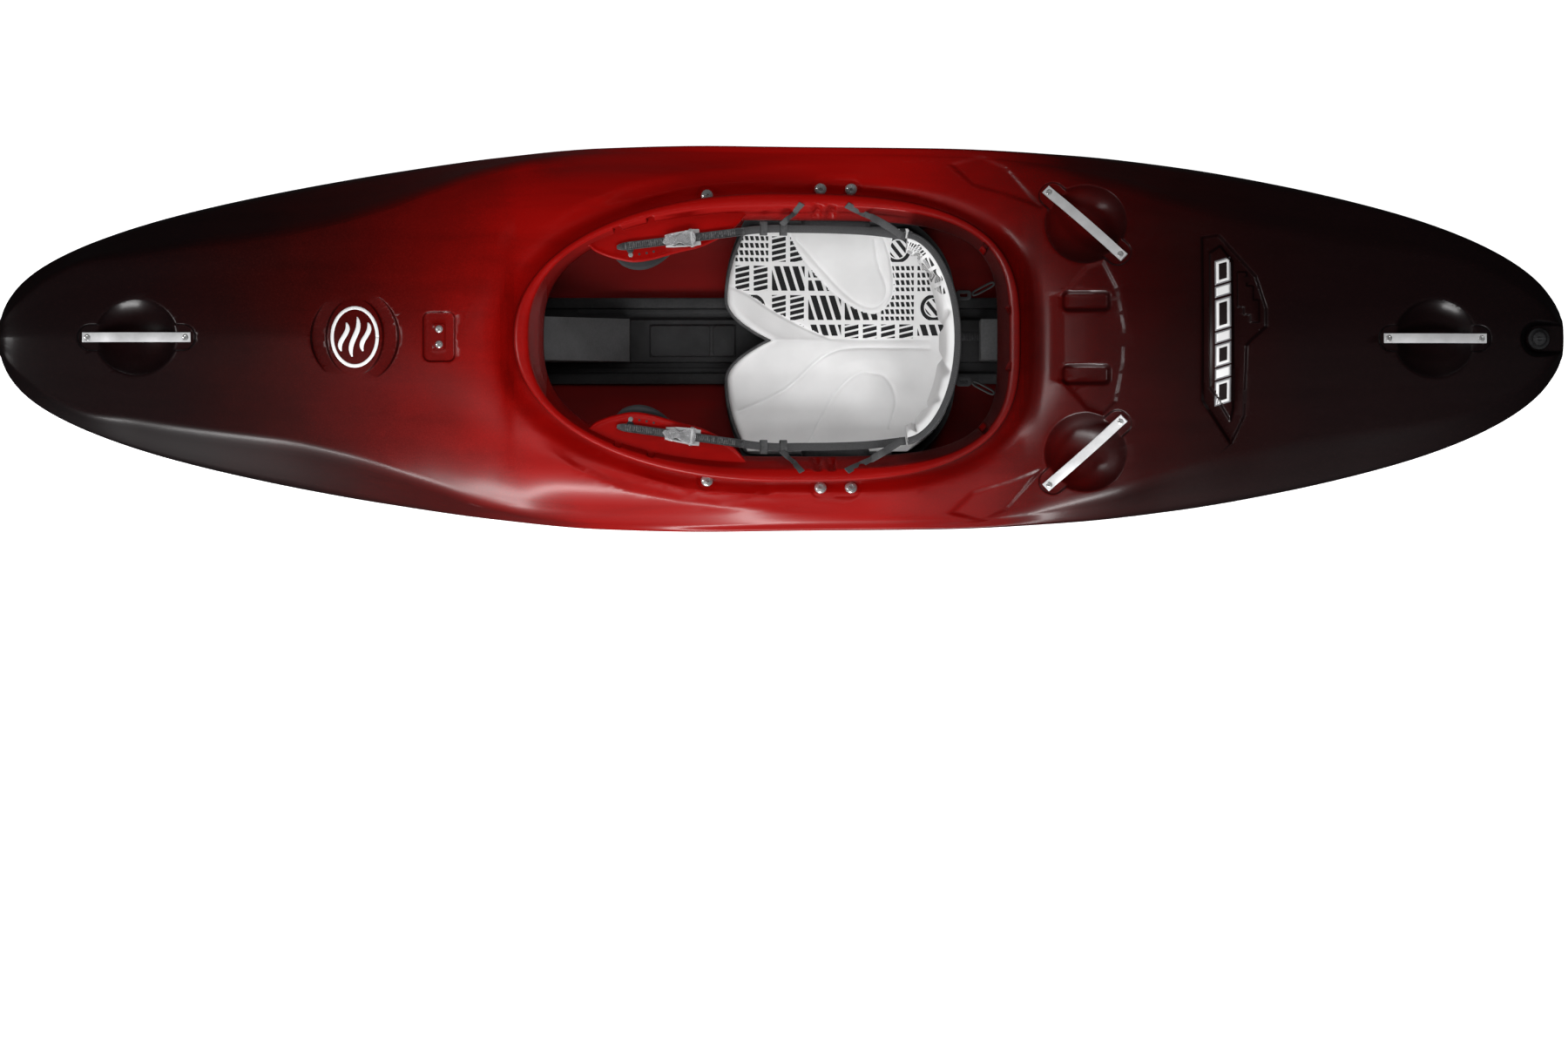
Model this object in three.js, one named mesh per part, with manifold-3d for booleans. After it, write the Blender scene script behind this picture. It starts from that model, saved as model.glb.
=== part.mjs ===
// Whitewater kayak: a rotomoulded hull with grab handles, a drain plug and cockpit outfitting.
// Millimetres. +X runs from bow to stern, +Y to starboard, +Z up. The origin is under the middle of the hull.
import * as THREE from "three";
import { mergeVertices } from "three/addons/utils/BufferGeometryUtils.js";
import Module from "manifold-3d";

const wasm = await Module();
wasm.setup();

// Driving sizes of the hull
const hullLength = 2463;
const hullBeam = 610;
const hullHeight = 375; // floor to the front of the coaming
const wall = 6; // moulded plastic
const fitGap = 0.3; // between pieces that touch
const cabinGap = 0.5; // between the hull's inside and what is shaped to fit it
const overrun = 60; // how far a cutter passes what it cuts

// Lines of the hull. Each row is a share of the length from the bow, and a share of half the beam.
const halfBeamShares = [
  [0, 0], [0.005, 0.174], [0.0185, 0.308], [0.05, 0.459], [0.083, 0.561], [0.116, 0.639],
  [0.183, 0.761], [0.25, 0.859], [0.317, 0.938], [0.383, 0.987], [0.45, 1], [0.5, 0.995],
  [0.6, 0.987], [0.6835, 0.951], [0.75, 0.889], [0.817, 0.795], [0.884, 0.669], [0.917, 0.587],
  [0.951, 0.472], [0.984, 0.292], [0.9917, 0.216], [0.9984, 0.108], [1, 0],
];
// Heights along the length, as shares of the hull's height.
const keelShares = [
  [0, 0.773], [0.0056, 0.704], [0.019, 0.635], [0.05, 0.525], [0.083, 0.427], [0.15, 0.264],
  [0.217, 0.141], [0.284, 0.0587], [0.35, 0.022], [0.43, 0], [0.66, 0], [0.7, 0.0107],
  [0.7675, 0.0587], [0.834, 0.136], [0.9, 0.253], [0.9675, 0.403], [0.9955, 0.496], [1, 0.528],
];
const gunwaleShares = [
  [0, 0.773], [0.013, 0.755], [0.0395, 0.73], [0.088, 0.661], [0.132, 0.613], [0.177, 0.571],
  [0.221, 0.541], [0.345, 0.52], [0.5, 0.523], [0.6, 0.512], [0.767, 0.491], [0.8365, 0.483],
  [0.894, 0.496], [0.964, 0.525], [1, 0.528],
];
const shoulderShares = [
  [0, 0.773], [0.0133, 0.8], [0.044, 0.797], [0.132, 0.789], [0.188, 0.784], [0.243, 0.765],
  [0.2875, 0.728], [0.3225, 0.701], [0.368, 0.632], [0.414, 0.595], [0.459, 0.573], [0.573, 0.557],
  [0.619, 0.541], [0.656, 0.565], [0.686, 0.611], [0.7325, 0.659], [0.767, 0.659], [0.813, 0.632],
  [0.8715, 0.603], [0.929, 0.592], [0.987, 0.576], [1, 0.528],
];
const deckShares = [
  [0, 0.773], [0.0056, 0.811], [0.032, 0.84], [0.083, 0.853], [0.1335, 0.867], [0.2, 0.915],
  [0.25, 0.947], [0.284, 0.971], [0.306, 0.969], [0.319, 0.955], [0.331, 0.917], [0.367, 0.88],
  [0.4, 0.838], [0.434, 0.787], [0.467, 0.732], [0.5, 0.677], [0.534, 0.635], [0.567, 0.603],
  [0.6, 0.584], [0.63, 0.59], [0.652, 0.635], [0.667, 0.705], [0.684, 0.76], [0.7, 0.797],
  [0.717, 0.815], [0.7785, 0.771], [0.834, 0.716], [0.9, 0.664], [0.9675, 0.613], [0.992, 0.592],
  [1, 0.528],
];
// Breadth of the deck's shoulder, as a share of the breadth at the gunwale.
const shoulderBreadthShares = [
  [0, 0.6], [0.0156, 0.7], [0.031, 0.79], [0.053, 0.82], [0.088, 0.75], [0.177, 0.716],
  [0.221, 0.755], [0.265, 0.835], [0.309, 0.92], [0.345, 0.952], [0.5, 0.94], [0.62, 0.93],
  [0.709, 0.863], [0.7436, 0.8], [0.802, 0.73], [0.848, 0.712], [0.941, 0.758], [0.969, 0.706],
  [1, 0.55],
];
// How square the crown of the deck is, from a plain ridge at the ends to a flat top at the cockpit.
const crownPowers = [
  [0, 1.3], [0.2, 1.5], [0.28, 2.2], [0.35, 3.4], [0.5, 5], [0.6, 4.5], [0.68, 2.6], [0.75, 2], [1, 1.6],
];
// The planing bottom, as shares of the breadth at the gunwale and of the height from keel to gunwale.
const flatEdgeShares = { breadthMid: 0.62, breadthEnd: 0.3, riseMid: 0, riseEnd: 0.12 };
const bilgeShares = { breadthMid: 0.83, breadthEnd: 0.55, riseMid: 0.165, riseEnd: 0.3 };
const chineShares = { breadthMid: 0.955, breadthEnd: 0.82, riseMid: 0.46, riseEnd: 0.6 };
// How much of each side a corner of the section rounds away.
const cornerRoundShares = { flatEdge: 0.5, bilge: 0.45, chine: 0.3, gunwale: 0.2, shoulder: 0.3 };
const cornerSteps = { flatEdge: 1, bilge: 1, chine: 1, gunwale: 2, shoulder: 2 };
const crownStepShares = [0.8, 0.5, 0];
const stationShares = [
  0.0015, 0.006, 0.016, 0.032, 0.055, 0.085, 0.12, 0.155, 0.19, 0.22, 0.25, 0.275, 0.297, 0.313,
  0.323, 0.333, 0.355, 0.39, 0.43, 0.47, 0.51, 0.55, 0.59, 0.615, 0.635, 0.652, 0.667, 0.682,
  0.698, 0.717, 0.745, 0.78, 0.82, 0.86, 0.9, 0.935, 0.96, 0.98, 0.992, 0.998,
];
// Stations of the inside, which is plainer. The moulding is solid in its last few centimetres.
const cavityStationShares = [
  0.032, 0.085, 0.155, 0.22, 0.275, 0.313, 0.333, 0.39, 0.47, 0.55, 0.615, 0.652, 0.682, 0.717,
  0.78, 0.86, 0.935, 0.966,
];
const tipRingShare = 0.35; // how much of the last station is left at the very end

// The coaming round the cockpit
const rim = {
  centreX: 0,
  outerFront: 422,
  outerRear: 373,
  outerHalf: 227,
  innerFront: 375,
  innerRear: 337,
  innerHalf: 186,
  lipThickness: 12,
  stemThickness: 9,
  stemDepth: 47,
  edgeDrop: 3,
  outerFrontPower: 2.1,
  outerRearPower: 3,
  innerFrontPower: 2.7,
  innerRearPower: 4,
  steps: 40,
};
const rimTopShares = [
  [0.315, 0.997], [0.329, 0.998], [0.35, 1], [0.367, 0.984], [0.4, 0.941], [0.434, 0.888],
  [0.467, 0.829], [0.5, 0.773], [0.534, 0.723], [0.567, 0.68], [0.6045, 0.643], [0.62, 0.65],
  [0.636, 0.677], [0.654, 0.712], [0.67, 0.72],
];

// Grab handles: flat aluminium bars over finger bowls
const handle = { width: 15, thickness: 4, arch: 6, endLength: 16, archSteps: 8, archPower: 0.6 };
const handleSlot = { width: 39, depth: 6, endMargin: 14 };
const bowl = { radius: 62, depth: 30, rounds: 16, rows: 14 };
const bowlBack = { rounds: 8, rows: 8 };
const handleScrew = { headRadius: 5.2, headDepth: 2.6, shankRadius: 2.6, length: 22, sides: 8 };
const endHandles = {
  bow: { side: -1, fromEnd: 218.5, span: 154 },
  stern: { side: 1, fromEnd: 205.5, span: 148 },
};
// The slanted pair behind the cockpit
const slantedHandle = { frontGap: 45, rearGap: 155, frontBreadthShare: 0.7574, rearBreadthShare: 0.4328 };

// Moulded recesses and bosses of the deck and sides
const badgeBoss = {
  placeShare: 0.22773,
  ringHalfX: 67,
  ringHalfY: 74,
  discHalfX: 46,
  discHalfY: 60,
  depth: 9,
  sides: 20,
};
const screwRecess = { placeShare: 0.28169, length: 47, width: 75, corner: 9, depth: 6, screwPitch: 24 };
const plinth = {
  placeShare: 0.7825,
  halfWidth: 32,
  slant: 26,
  frontY: 155,
  rearY: 168,
  noseShare: 1 / 3,
  depth: 9,
  rise: 8,
  border: 9,
};
const footPocket = { placeShare: 0.26858, heightShare: 0.43467, length: 73, width: 36, corner: 8, depth: 7 };
const drainNotch = { halfWidth: 20, floorShare: 0.55 };
const holeSides = 8;

// Fasteners
const domeBolt = { headRadius: 10, headHeight: 5, shankRadius: 4, sides: 10 };
const screw = { headRadius: 6, headHeight: 3, shankRadius: 3, sides: 10 };
const boltSpot = { width: 30, depth: 2 };
const nutPlate = { thickness: 4, margin: 9 };
const hangerBolts = { frontX: 58, rearX: 106, fromRim: 9 };
const braceBolt = { x: -121, fromRim: -3, grip: 30 };

// Drain plug
const drain = {
  fromEnd: 39.5,
  flangeRadius: 17,
  flangeHeight: 3,
  sleeveRadius: 12,
  sleeveDepth: 16,
  boreRadius: 9,
  gasketHeight: 2,
  knobRadius: 13,
  knobHeight: 12,
  knobRecess: 2.5,
  knobRimShare: 0.5,
  knobHubShare: 1 / 3,
  stemRadius: 8.2,
  stemLength: 13,
  sides: 18,
};

// Centre rail and foam pillars
const rail = {
  frontX: -400,
  rearX: 352,
  width: 138,
  top: 38,
  grooveInner: 34,
  grooveOuter: 52,
  grooveDepth: 14,
};
const railPanel = { frontX: -213, rearX: -77, width: 50, height: 5 };
const pillar = { width: 68, lowTop: 96, fromEnd: 326.5, aftEndX: -245, deckEndX: -400, top: 420 };
const rearPillar = { width: 66, foreEndX: 312, deckStartX: 386, fromEnd: 326.5, foreTop: 150 };

// Seat
const seat = {
  halfWidth: 190,
  rearX: 275,
  notchX: -22,
  lobeX: -94,
  cornerX: -62,
  padThickness: 17,
  panThickness: 5,
  frontRise: 40,
  sideRise: 58,
  rearRise: 20,
  channel: 5,
  humpLift: 14,
  flatFrontShare: 0.5,
  flatRearShare: 0.78,
  notchShare: 0.36,
  edgeShare: 0.35,
  edgePower: 8,
  channelShare: 0.09,
  drawShare: 0.02,
  rearCornerShare: 0.22,
  rearCornerPower: 4,
  sidePower: 6,
  sideFrontShare: 0.75,
};
const hip = {
  plateThickness: 4,
  seatGap: 5,
  bottomLift: 54,
  kneeDrop: 19,
  padThickness: 24,
  padSeatGap: 31.7,
  padKneeGap: 0.6,
  padBevel: 7,
  padRoundShare: 0.8,
};

// Backband
const band = {
  frontX: 188,
  bulge: 89,
  halfWidth: 168,
  topMid: 280,
  topEnd: 262,
  bottomMid: 150,
  bottomEnd: 214,
  lean: 2,
  shellThickness: 5,
  padThickness: 18,
  turnShare: 0.94,
  topPower: 0.5,
  edgeShare: 0.4,
  edgePower: 0.5,
  steps: 20,
  rows: 5,
};

// Straps of the backband
const ladder = {
  tipX: -262,
  tipY: 140,
  endX: -62,
  endY: 167,
  width: 19,
  thickness: 2.6,
  tooth: 1.4,
  teeth: 44,
};
const buckle = {
  x: -159,
  length: 56,
  width: 27,
  floor: 2,
  rise: 3,
  strapGap: 0.6,
  cheek: 2,
  cheekHeight: 17,
  cheekShare: 0.6,
  footRadius: 5,
  pinRadius: 2.2,
  pinShare: 0.2,
  play: 0.6,
};
const lever = { length: 50, width: 19, thickness: 5, lift: 3.6, eyeRadius: 5.5 };
const tail = { endX: 182, width: 18, thickness: 2.4, y: 171.2, drop: 13, endZ: 232, endInset: 5, joint: 3.4 };
const keeper = { frontX: -40, rearX: 18, wallThickness: 2.4, play: 2.6 };
const hanger = { x: 40, width: 16, thickness: 2 };
const hipStrap = { rimX: 99, bandX: 190, width: 18, thickness: 2, bandY: 160 };
const hook = { y: 68, length: 24, width: 15, thickness: 5, z: 236, standOff: 0.8 };
const bungee = { diameter: 4, rimY: 88, sides: 8, steps: 4 };

// Thigh braces
const shelf = {
  frontX: -292,
  rearX: -100,
  width: 44,
  endWidth: 16,
  drop: 24,
  thickness: 5,
  legDepth: 57,
  foot: 40,
  steps: 9,
};
const thighHook = {
  frontX: -262,
  rearX: -168,
  width: 34,
  tipShare: 0.25,
  crescentPower: 0.7,
  thickness: 16,
  reach: 16,
  sag: 4.5,
  boltX: -240,
  boltInset: 26,
  steps: 10,
};

// Foot braces
const footRail = { length: 210, height: 26, thickness: 9 };
const footRest = {
  aheadOfBolt: 42,
  thickness: 7,
  pad: 18,
  padInset: 10,
  bottomZ: 84,
  topZ: 268,
  foreTravel: 50,
  clearance: 9,
  pillarGap: 10,
  runGap: 0.5,
};

// A closed list of points and triangles as a solid, turned right side out.
function solidFrom(points, triangles) {
  const shape = new THREE.BufferGeometry();
  shape.setAttribute("position", new THREE.Float32BufferAttribute(points.flat(), 3));
  shape.setIndex(triangles.flat());
  return solidOf(shape);
}

// A three.js geometry as a solid, moved by a matrix where one is given.
function solidOf(geometry, matrix) {
  const bare = new THREE.BufferGeometry();
  bare.setAttribute("position", geometry.getAttribute("position").clone());
  if (geometry.index) bare.setIndex(geometry.index.clone());
  if (matrix) bare.applyMatrix4(matrix);
  const merged = mergeVertices(bare, 1e-4);
  const vertProperties = merged.attributes.position.array;
  const triVerts = new Uint32Array(merged.index.array);
  const solid = new wasm.Manifold(new wasm.Mesh({ numProp: 3, vertProperties, triVerts }));
  if (solid.volume() > 0) return solid;
  return new wasm.Manifold(new wasm.Mesh({ numProp: 3, vertProperties, triVerts: triVerts.reverse() }));
}

function geometryOf(solid) {
  const { vertProperties, triVerts, numProp } = solid.getMesh();
  const positions = [];
  for (const vertex of triVerts) {
    positions.push(...vertProperties.slice(vertex * numProp, vertex * numProp + 3));
  }
  const geometry = new THREE.BufferGeometry();
  geometry.setAttribute("position", new THREE.Float32BufferAttribute(positions, 3));
  geometry.computeVertexNormals();
  return geometry;
}

// A skin over rings of points, closed by a fan at each end, or joined end to end where it loops.
function skin(rings, loops = false) {
  const count = rings[0].length;
  const points = rings.flat();
  const triangles = [];
  const spans = loops ? rings.length : rings.length - 1;
  for (let i = 0; i < spans; i += 1) {
    const here = i * count;
    const next = ((i + 1) % rings.length) * count;
    for (let j = 0; j < count; j += 1) {
      const k = (j + 1) % count;
      triangles.push([here + j, next + j, next + k], [here + j, next + k, here + k]);
    }
  }
  if (!loops) {
    for (const [ring, forward] of [[0, true], [rings.length - 1, false]]) {
      const centre = [0, 1, 2].map((axis) => rings[ring].reduce((sum, p) => sum + p[axis], 0) / count);
      points.push(centre);
      const pole = points.length - 1;
      for (let j = 0; j < count; j += 1) {
        const a = ring * count + j;
        const b = ring * count + ((j + 1) % count);
        triangles.push(forward ? [pole, a, b] : [pole, b, a]);
      }
    }
  }
  return solidFrom(points, triangles);
}

// A smooth curve through the rows of a table, which never overshoots them.
function curveThrough(rows) {
  const at = rows.map(([share]) => Math.acos(1 - 2 * share));
  const value = rows.map((row) => row[1]);
  const steep = at.slice(1).map((u, i) => (value[i + 1] - value[i]) / (u - at[i]));
  const slope = value.map((_, i) => {
    if (i === 0) return steep[0];
    if (i === value.length - 1) return steep[i - 1];
    const product = steep[i - 1] * steep[i];
    return product > 0 ? (2 * product) / (steep[i - 1] + steep[i]) : 0;
  });
  return (share) => {
    const clipped = Math.min(Math.max(share, rows[0][0]), rows[rows.length - 1][0]);
    const u = Math.acos(1 - 2 * clipped);
    let i = 0;
    while (i < at.length - 2 && u > at[i + 1]) i += 1;
    const span = at[i + 1] - at[i];
    const t = (u - at[i]) / span;
    const rise = t * t * (3 - 2 * t);
    const enter = t * (1 - t) * (1 - t);
    const leave = t * t * (t - 1);
    return value[i] * (1 - rise) + value[i + 1] * rise + span * (slope[i] * enter + slope[i + 1] * leave);
  };
}

const halfBeamAt = curveThrough(halfBeamShares);
const keelAt = curveThrough(keelShares);
const gunwaleAt = curveThrough(gunwaleShares);
const shoulderAt = curveThrough(shoulderShares);
const deckAt = curveThrough(deckShares);
const shoulderBreadthAt = curveThrough(shoulderBreadthShares);
const crownPowerAt = curveThrough(crownPowers);
const rimTopAt = curveThrough(rimTopShares);

const xAt = (share) => (share - 0.5) * hullLength;
const shareAt = (x) => x / hullLength + 0.5;
const sternX = hullLength / 2;
const mix = (from, to, share) => from + (to - from) * share;
const rimTop = (x) => rimTopAt(shareAt(x)) * hullHeight;

// Corner points of half a cross-section, as [y, z].
function sectionCorners(share) {
  const endness = (2 * share - 1) ** 4;
  const half = (halfBeamAt(share) * hullBeam) / 2;
  const keel = keelAt(share) * hullHeight;
  const gunwale = gunwaleAt(share) * hullHeight;
  const corner = ({ breadthMid, breadthEnd, riseMid, riseEnd }) => [
    half * mix(breadthMid, breadthEnd, endness),
    mix(keel, gunwale, mix(riseMid, riseEnd, endness)),
  ];
  return {
    keel: [0, keel],
    flatEdge: corner(flatEdgeShares),
    bilge: corner(bilgeShares),
    chine: corner(chineShares),
    gunwale: [half, gunwale],
    shoulder: [half * shoulderBreadthAt(share), shoulderAt(share) * hullHeight],
    deck: deckAt(share) * hullHeight,
    power: crownPowerAt(share),
  };
}

const crownHeight = ({ shoulder, deck, power }, breadthShare) =>
  shoulder[1] + (deck - shoulder[1]) * (1 - breadthShare ** power);

// Height of the deck's surface over a place.
function deckHeight(x, y) {
  const corners = sectionCorners(shareAt(x));
  const { shoulder, gunwale } = corners;
  const out = Math.abs(y);
  if (out < shoulder[0]) return crownHeight(corners, out / shoulder[0]);
  return mix(shoulder[1], gunwale[1], (out - shoulder[0]) / (gunwale[0] - shoulder[0]));
}

// Points round one corner of a section. Above the bilge the arc passes through the corner's own place.
function rounded(name, before, corner, after, roundShare, steps) {
  const lower = name === "flatEdge" || name === "bilge";
  const pull = roundShare / 4;
  const through = corner.map((c, i) => (c - pull * (before[i] + after[i])) / (1 - 2 * pull));
  const pulled = lower ? corner : through;
  const start = pulled.map((p, i) => mix(p, before[i], roundShare));
  const end = pulled.map((p, i) => mix(p, after[i], roundShare));
  const points = [];
  for (let i = 0; i <= steps; i += 1) {
    const t = i / steps;
    points.push(pulled.map((p, k) => mix(mix(start[k], p, t), mix(p, end[k], t), t)));
  }
  return points;
}

// One ring of the hull, from the keel up the starboard side, over the deck and down the port side.
function hullRing(share, inset) {
  const c = sectionCorners(share);
  const crown = crownStepShares.map((out) => [c.shoulder[0] * out, crownHeight(c, out)]);
  const chain = [c.keel, c.flatEdge, c.bilge, c.chine, c.gunwale, c.shoulder, crown[0]];
  const half = [c.keel];
  Object.keys(cornerRoundShares).forEach((name, i) => {
    const [before, corner, after] = chain.slice(i, i + 3);
    half.push(...rounded(name, before, corner, after, cornerRoundShares[name], cornerSteps[name]));
  });
  half.push(...crown);
  const port = half.slice(1, -1).map(([y, z]) => [-y, z]).reverse();
  const ring = [...half, ...port];
  return ring.map(([y, z], i) => {
    const ahead = ring[(i + 1) % ring.length];
    const behind = ring[(i + ring.length - 1) % ring.length];
    const along = new THREE.Vector2(ahead[0] - behind[0], ahead[1] - behind[1]).normalize();
    return [xAt(share), y - along.y * inset, z + along.x * inset];
  });
}

// The hull's outside with its blunt stem and stern, or its inside where an inset is given.
function hullBody(inset) {
  const stations = inset > 0 ? cavityStationShares : stationShares;
  const rings = stations.map((share) => hullRing(share, inset));
  if (inset === 0) {
    rings.unshift(tipRing(rings[0], 0));
    rings.push(tipRing(rings[rings.length - 1], 1));
  }
  return skin(rings);
}

// The small ring that blunts an end, shrunk from the last station's ring.
function tipRing(ring, share) {
  const z = keelAt(share) * hullHeight;
  return ring.map(([, y, height]) => [xAt(share), y * tipRingShare, mix(z, height, tipRingShare)]);
}

// A flat seat on the deck under two points, sunk below the surface, with its own x, y and z axes.
function deckFrame(ax, ay, bx, by, sink) {
  const a = new THREE.Vector3(ax, ay, deckHeight(ax, ay));
  const b = new THREE.Vector3(bx, by, deckHeight(bx, by));
  const along = b.clone().sub(a).normalize();
  const middle = a.clone().add(b).multiplyScalar(0.5);
  const across = new THREE.Vector3(-along.y, along.x, 0).normalize().multiplyScalar(handle.width);
  const left = deckHeight(middle.x + across.x, middle.y + across.y);
  const right = deckHeight(middle.x - across.x, middle.y - across.y);
  const side = new THREE.Vector3(2 * across.x, 2 * across.y, left - right);
  return frameFrom(middle, along, side, sink);
}

function frameFrom(middle, along, side, sink) {
  const up = new THREE.Vector3().crossVectors(along, side).normalize();
  const across = new THREE.Vector3().crossVectors(up, along);
  return new THREE.Matrix4().makeBasis(along, across, up).setPosition(middle.addScaledVector(up, -sink));
}

// A flat seat on the side of the hull between chine and gunwale, facing outwards.
function sideFrame(x, z, sign, sink) {
  const outAt = (px, pz) => {
    const { chine, gunwale } = sectionCorners(shareAt(px));
    return sign * mix(chine[0], gunwale[0], (pz - chine[1]) / (gunwale[1] - chine[1]));
  };
  const step = footPocket.width / 2;
  const along = new THREE.Vector3(2 * step, outAt(x + step, z) - outAt(x - step, z), 0).normalize();
  const side = new THREE.Vector3(0, outAt(x, z + step) - outAt(x, z - step), 2 * step).multiplyScalar(-sign);
  return frameFrom(new THREE.Vector3(x, outAt(x, z), z), along, side, sink);
}

const moved = (x, y, z) => new THREE.Matrix4().makeTranslation(x, y, z);
const along = (frame, distance) => frame.clone().multiply(moved(distance, 0, 0));

function roundedBox(length, width, corner, height) {
  const halfX = length / 2 - corner;
  const halfY = width / 2 - corner;
  const shape = new THREE.Shape();
  shape.absarc(halfX, halfY, corner, 0, Math.PI / 2);
  shape.absarc(-halfX, halfY, corner, Math.PI / 2, Math.PI);
  shape.absarc(-halfX, -halfY, corner, Math.PI, Math.PI * 1.5);
  shape.absarc(halfX, -halfY, corner, Math.PI * 1.5, Math.PI * 2);
  return new THREE.ExtrudeGeometry(shape, { depth: height, bevelEnabled: false, curveSegments: 2 });
}

// A block cut from a flat outline of [x, y] points.
function prism(outline, height) {
  const shape = new THREE.Shape(outline.map(([x, y]) => new THREE.Vector2(x, y)));
  return new THREE.ExtrudeGeometry(shape, { depth: height, bevelEnabled: false });
}

function ellipseBlock(halfX, halfY, height, sides) {
  const outline = [];
  for (let i = 0; i < sides; i += 1) {
    const turn = (i / sides) * Math.PI * 2;
    outline.push([halfX * Math.cos(turn), halfY * Math.sin(turn)]);
  }
  return prism(outline, height);
}

// A turned piece from [radius, height] points, standing on its frame's z axis.
function turned(profile, sides, matrix) {
  const lathe = new THREE.LatheGeometry(profile.map(([r, h]) => new THREE.Vector2(r, h)), sides);
  lathe.rotateX(Math.PI / 2);
  return solidOf(lathe, matrix);
}

const rod = (radius, low, high, sides, matrix) =>
  turned([[0, low], [radius, low], [radius, high], [0, high]], sides, matrix);

// A recess in the deck: what it takes from the outside, and a larger copy that keeps the wall behind it.
function slabRecess(frame, length, width, corner) {
  return (grow) => {
    const drop = frame.clone().multiply(moved(0, 0, -grow));
    if (grow === 0) return solidOf(roundedBox(length, width, corner, overrun), drop);
    const back = new THREE.BoxGeometry(length + 2 * grow, width + 2 * grow, overrun);
    return solidOf(back, drop.multiply(moved(0, 0, overrun / 2)));
  };
}

function bowlRecess(frame) {
  const radius = (bowl.radius ** 2 + bowl.depth ** 2) / (2 * bowl.depth);
  return (grow) => {
    const { rounds, rows } = grow > 0 ? bowlBack : bowl;
    const outward = Math.cos(grow > 0 ? Math.PI / rounds / 2 : 0); // the back's facets stay clear of the wall
    const ball = new THREE.SphereGeometry((radius + grow) / outward, rounds, rows);
    ball.rotateX(Math.PI / 2);
    return solidOf(ball, frame.clone().multiply(moved(0, 0, radius - bowl.depth)));
  };
}

const sides = [["left", -1], ["right", 1]];

// Places of the four grab handles, each with its own seat on the deck.
function handlePlaces() {
  const places = Object.entries(endHandles).map(([name, { side, fromEnd, span }]) => {
    const centreX = side * (sternX - fromEnd);
    return { name, span, frame: deckFrame(centreX - span / 2, 0, centreX + span / 2, 0, handleSlot.depth) };
  });
  const { frontGap, rearGap, frontBreadthShare, rearBreadthShare } = slantedHandle;
  const frontX = rim.outerRear + frontGap;
  const rearX = rim.outerRear + rearGap;
  const frontY = (frontBreadthShare * hullBeam) / 2;
  const rearY = (rearBreadthShare * hullBeam) / 2;
  const climb = deckHeight(rearX, rearY) - deckHeight(frontX, frontY);
  const span = Math.hypot(rearX - frontX, rearY - frontY, climb);
  for (const [name, sign] of sides) {
    const frame = deckFrame(frontX, sign * frontY, rearX, sign * rearY, handleSlot.depth);
    places.push({ name, span, frame });
  }
  return places;
}

const screwReach = (place, end) => end * (place.span / 2);
const handles = handlePlaces();
const hangerFrames = {};
const braceFrames = {};
const footFrames = {};
for (const [name, sign] of sides) {
  const { frontX, rearX, fromRim } = hangerBolts;
  const y = rim.outerHalf + fromRim;
  hangerFrames[name] = deckFrame(frontX, sign * y, rearX, sign * y, boltSpot.depth);
  const braceReach = boltSpot.width / 2;
  const braceY = sign * (rim.outerHalf + braceBolt.fromRim);
  const braceX = braceBolt.x;
  braceFrames[name] = deckFrame(braceX - braceReach, braceY, braceX + braceReach, braceY, boltSpot.depth);
  const pocketZ = footPocket.heightShare * hullHeight;
  footFrames[name] = sideFrame(xAt(footPocket.placeShare), pocketZ, sign, footPocket.depth);
}
const deckPlate = (x, depth, reach) => deckFrame(x - reach, 0, x + reach, 0, depth);
const badgeFrame = deckPlate(xAt(badgeBoss.placeShare), badgeBoss.depth, badgeBoss.ringHalfX);
const screwFrame = deckPlate(xAt(screwRecess.placeShare), screwRecess.depth, screwRecess.length / 2);
const plinthFrame = deckPlate(xAt(plinth.placeShare), plinth.depth, plinth.halfWidth);

function badgeRecess(grow) {
  const { ringHalfX, ringHalfY, discHalfX, discHalfY, depth, sides: count } = badgeBoss;
  const outer = ellipseBlock(ringHalfX + grow, ringHalfY + grow, overrun + grow, count);
  const disc = ellipseBlock(discHalfX - grow, discHalfY - grow, depth + overrun, count);
  const drop = badgeFrame.clone().multiply(moved(0, 0, -grow));
  const discDrop = drop.clone().multiply(moved(0, 0, -overrun));
  return solidOf(outer, drop).subtract(solidOf(disc, discDrop));
}

function plinthOutline(border) {
  const { halfWidth, slant, frontY, rearY, noseShare } = plinth;
  const side = halfWidth - border;
  const lean = slant / 2;
  const nose = frontY * noseShare;
  return [
    [-side - lean, border - rearY], [lean, border - rearY - slant], [side + lean, -nose],
    [side + lean, nose], [side - lean, frontY - border], [-side - lean, frontY - border],
  ];
}

function plinthRecess(grow) {
  const drop = plinthFrame.clone().multiply(moved(0, 0, -grow));
  return solidOf(prism(plinthOutline(-grow), overrun + grow), drop);
}

const plinthRise = () => solidOf(prism(plinthOutline(plinth.border), plinth.rise), plinthFrame);

const drainX = sternX - drain.fromEnd;
const drainShare = shareAt(drainX);
const notchFloor = mix(keelAt(drainShare), deckAt(drainShare), drainNotch.floorShare) * hullHeight;
function drainRecess(grow) {
  const { halfWidth } = drainNotch;
  const startX = drainX - halfWidth;
  const length = sternX + overrun - startX + grow;
  const block = roundedBox(length, 2 * (halfWidth + grow), halfWidth + grow, overrun + grow);
  return solidOf(block, moved(startX + length / 2 - grow, 0, notchFloor - grow));
}

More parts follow.
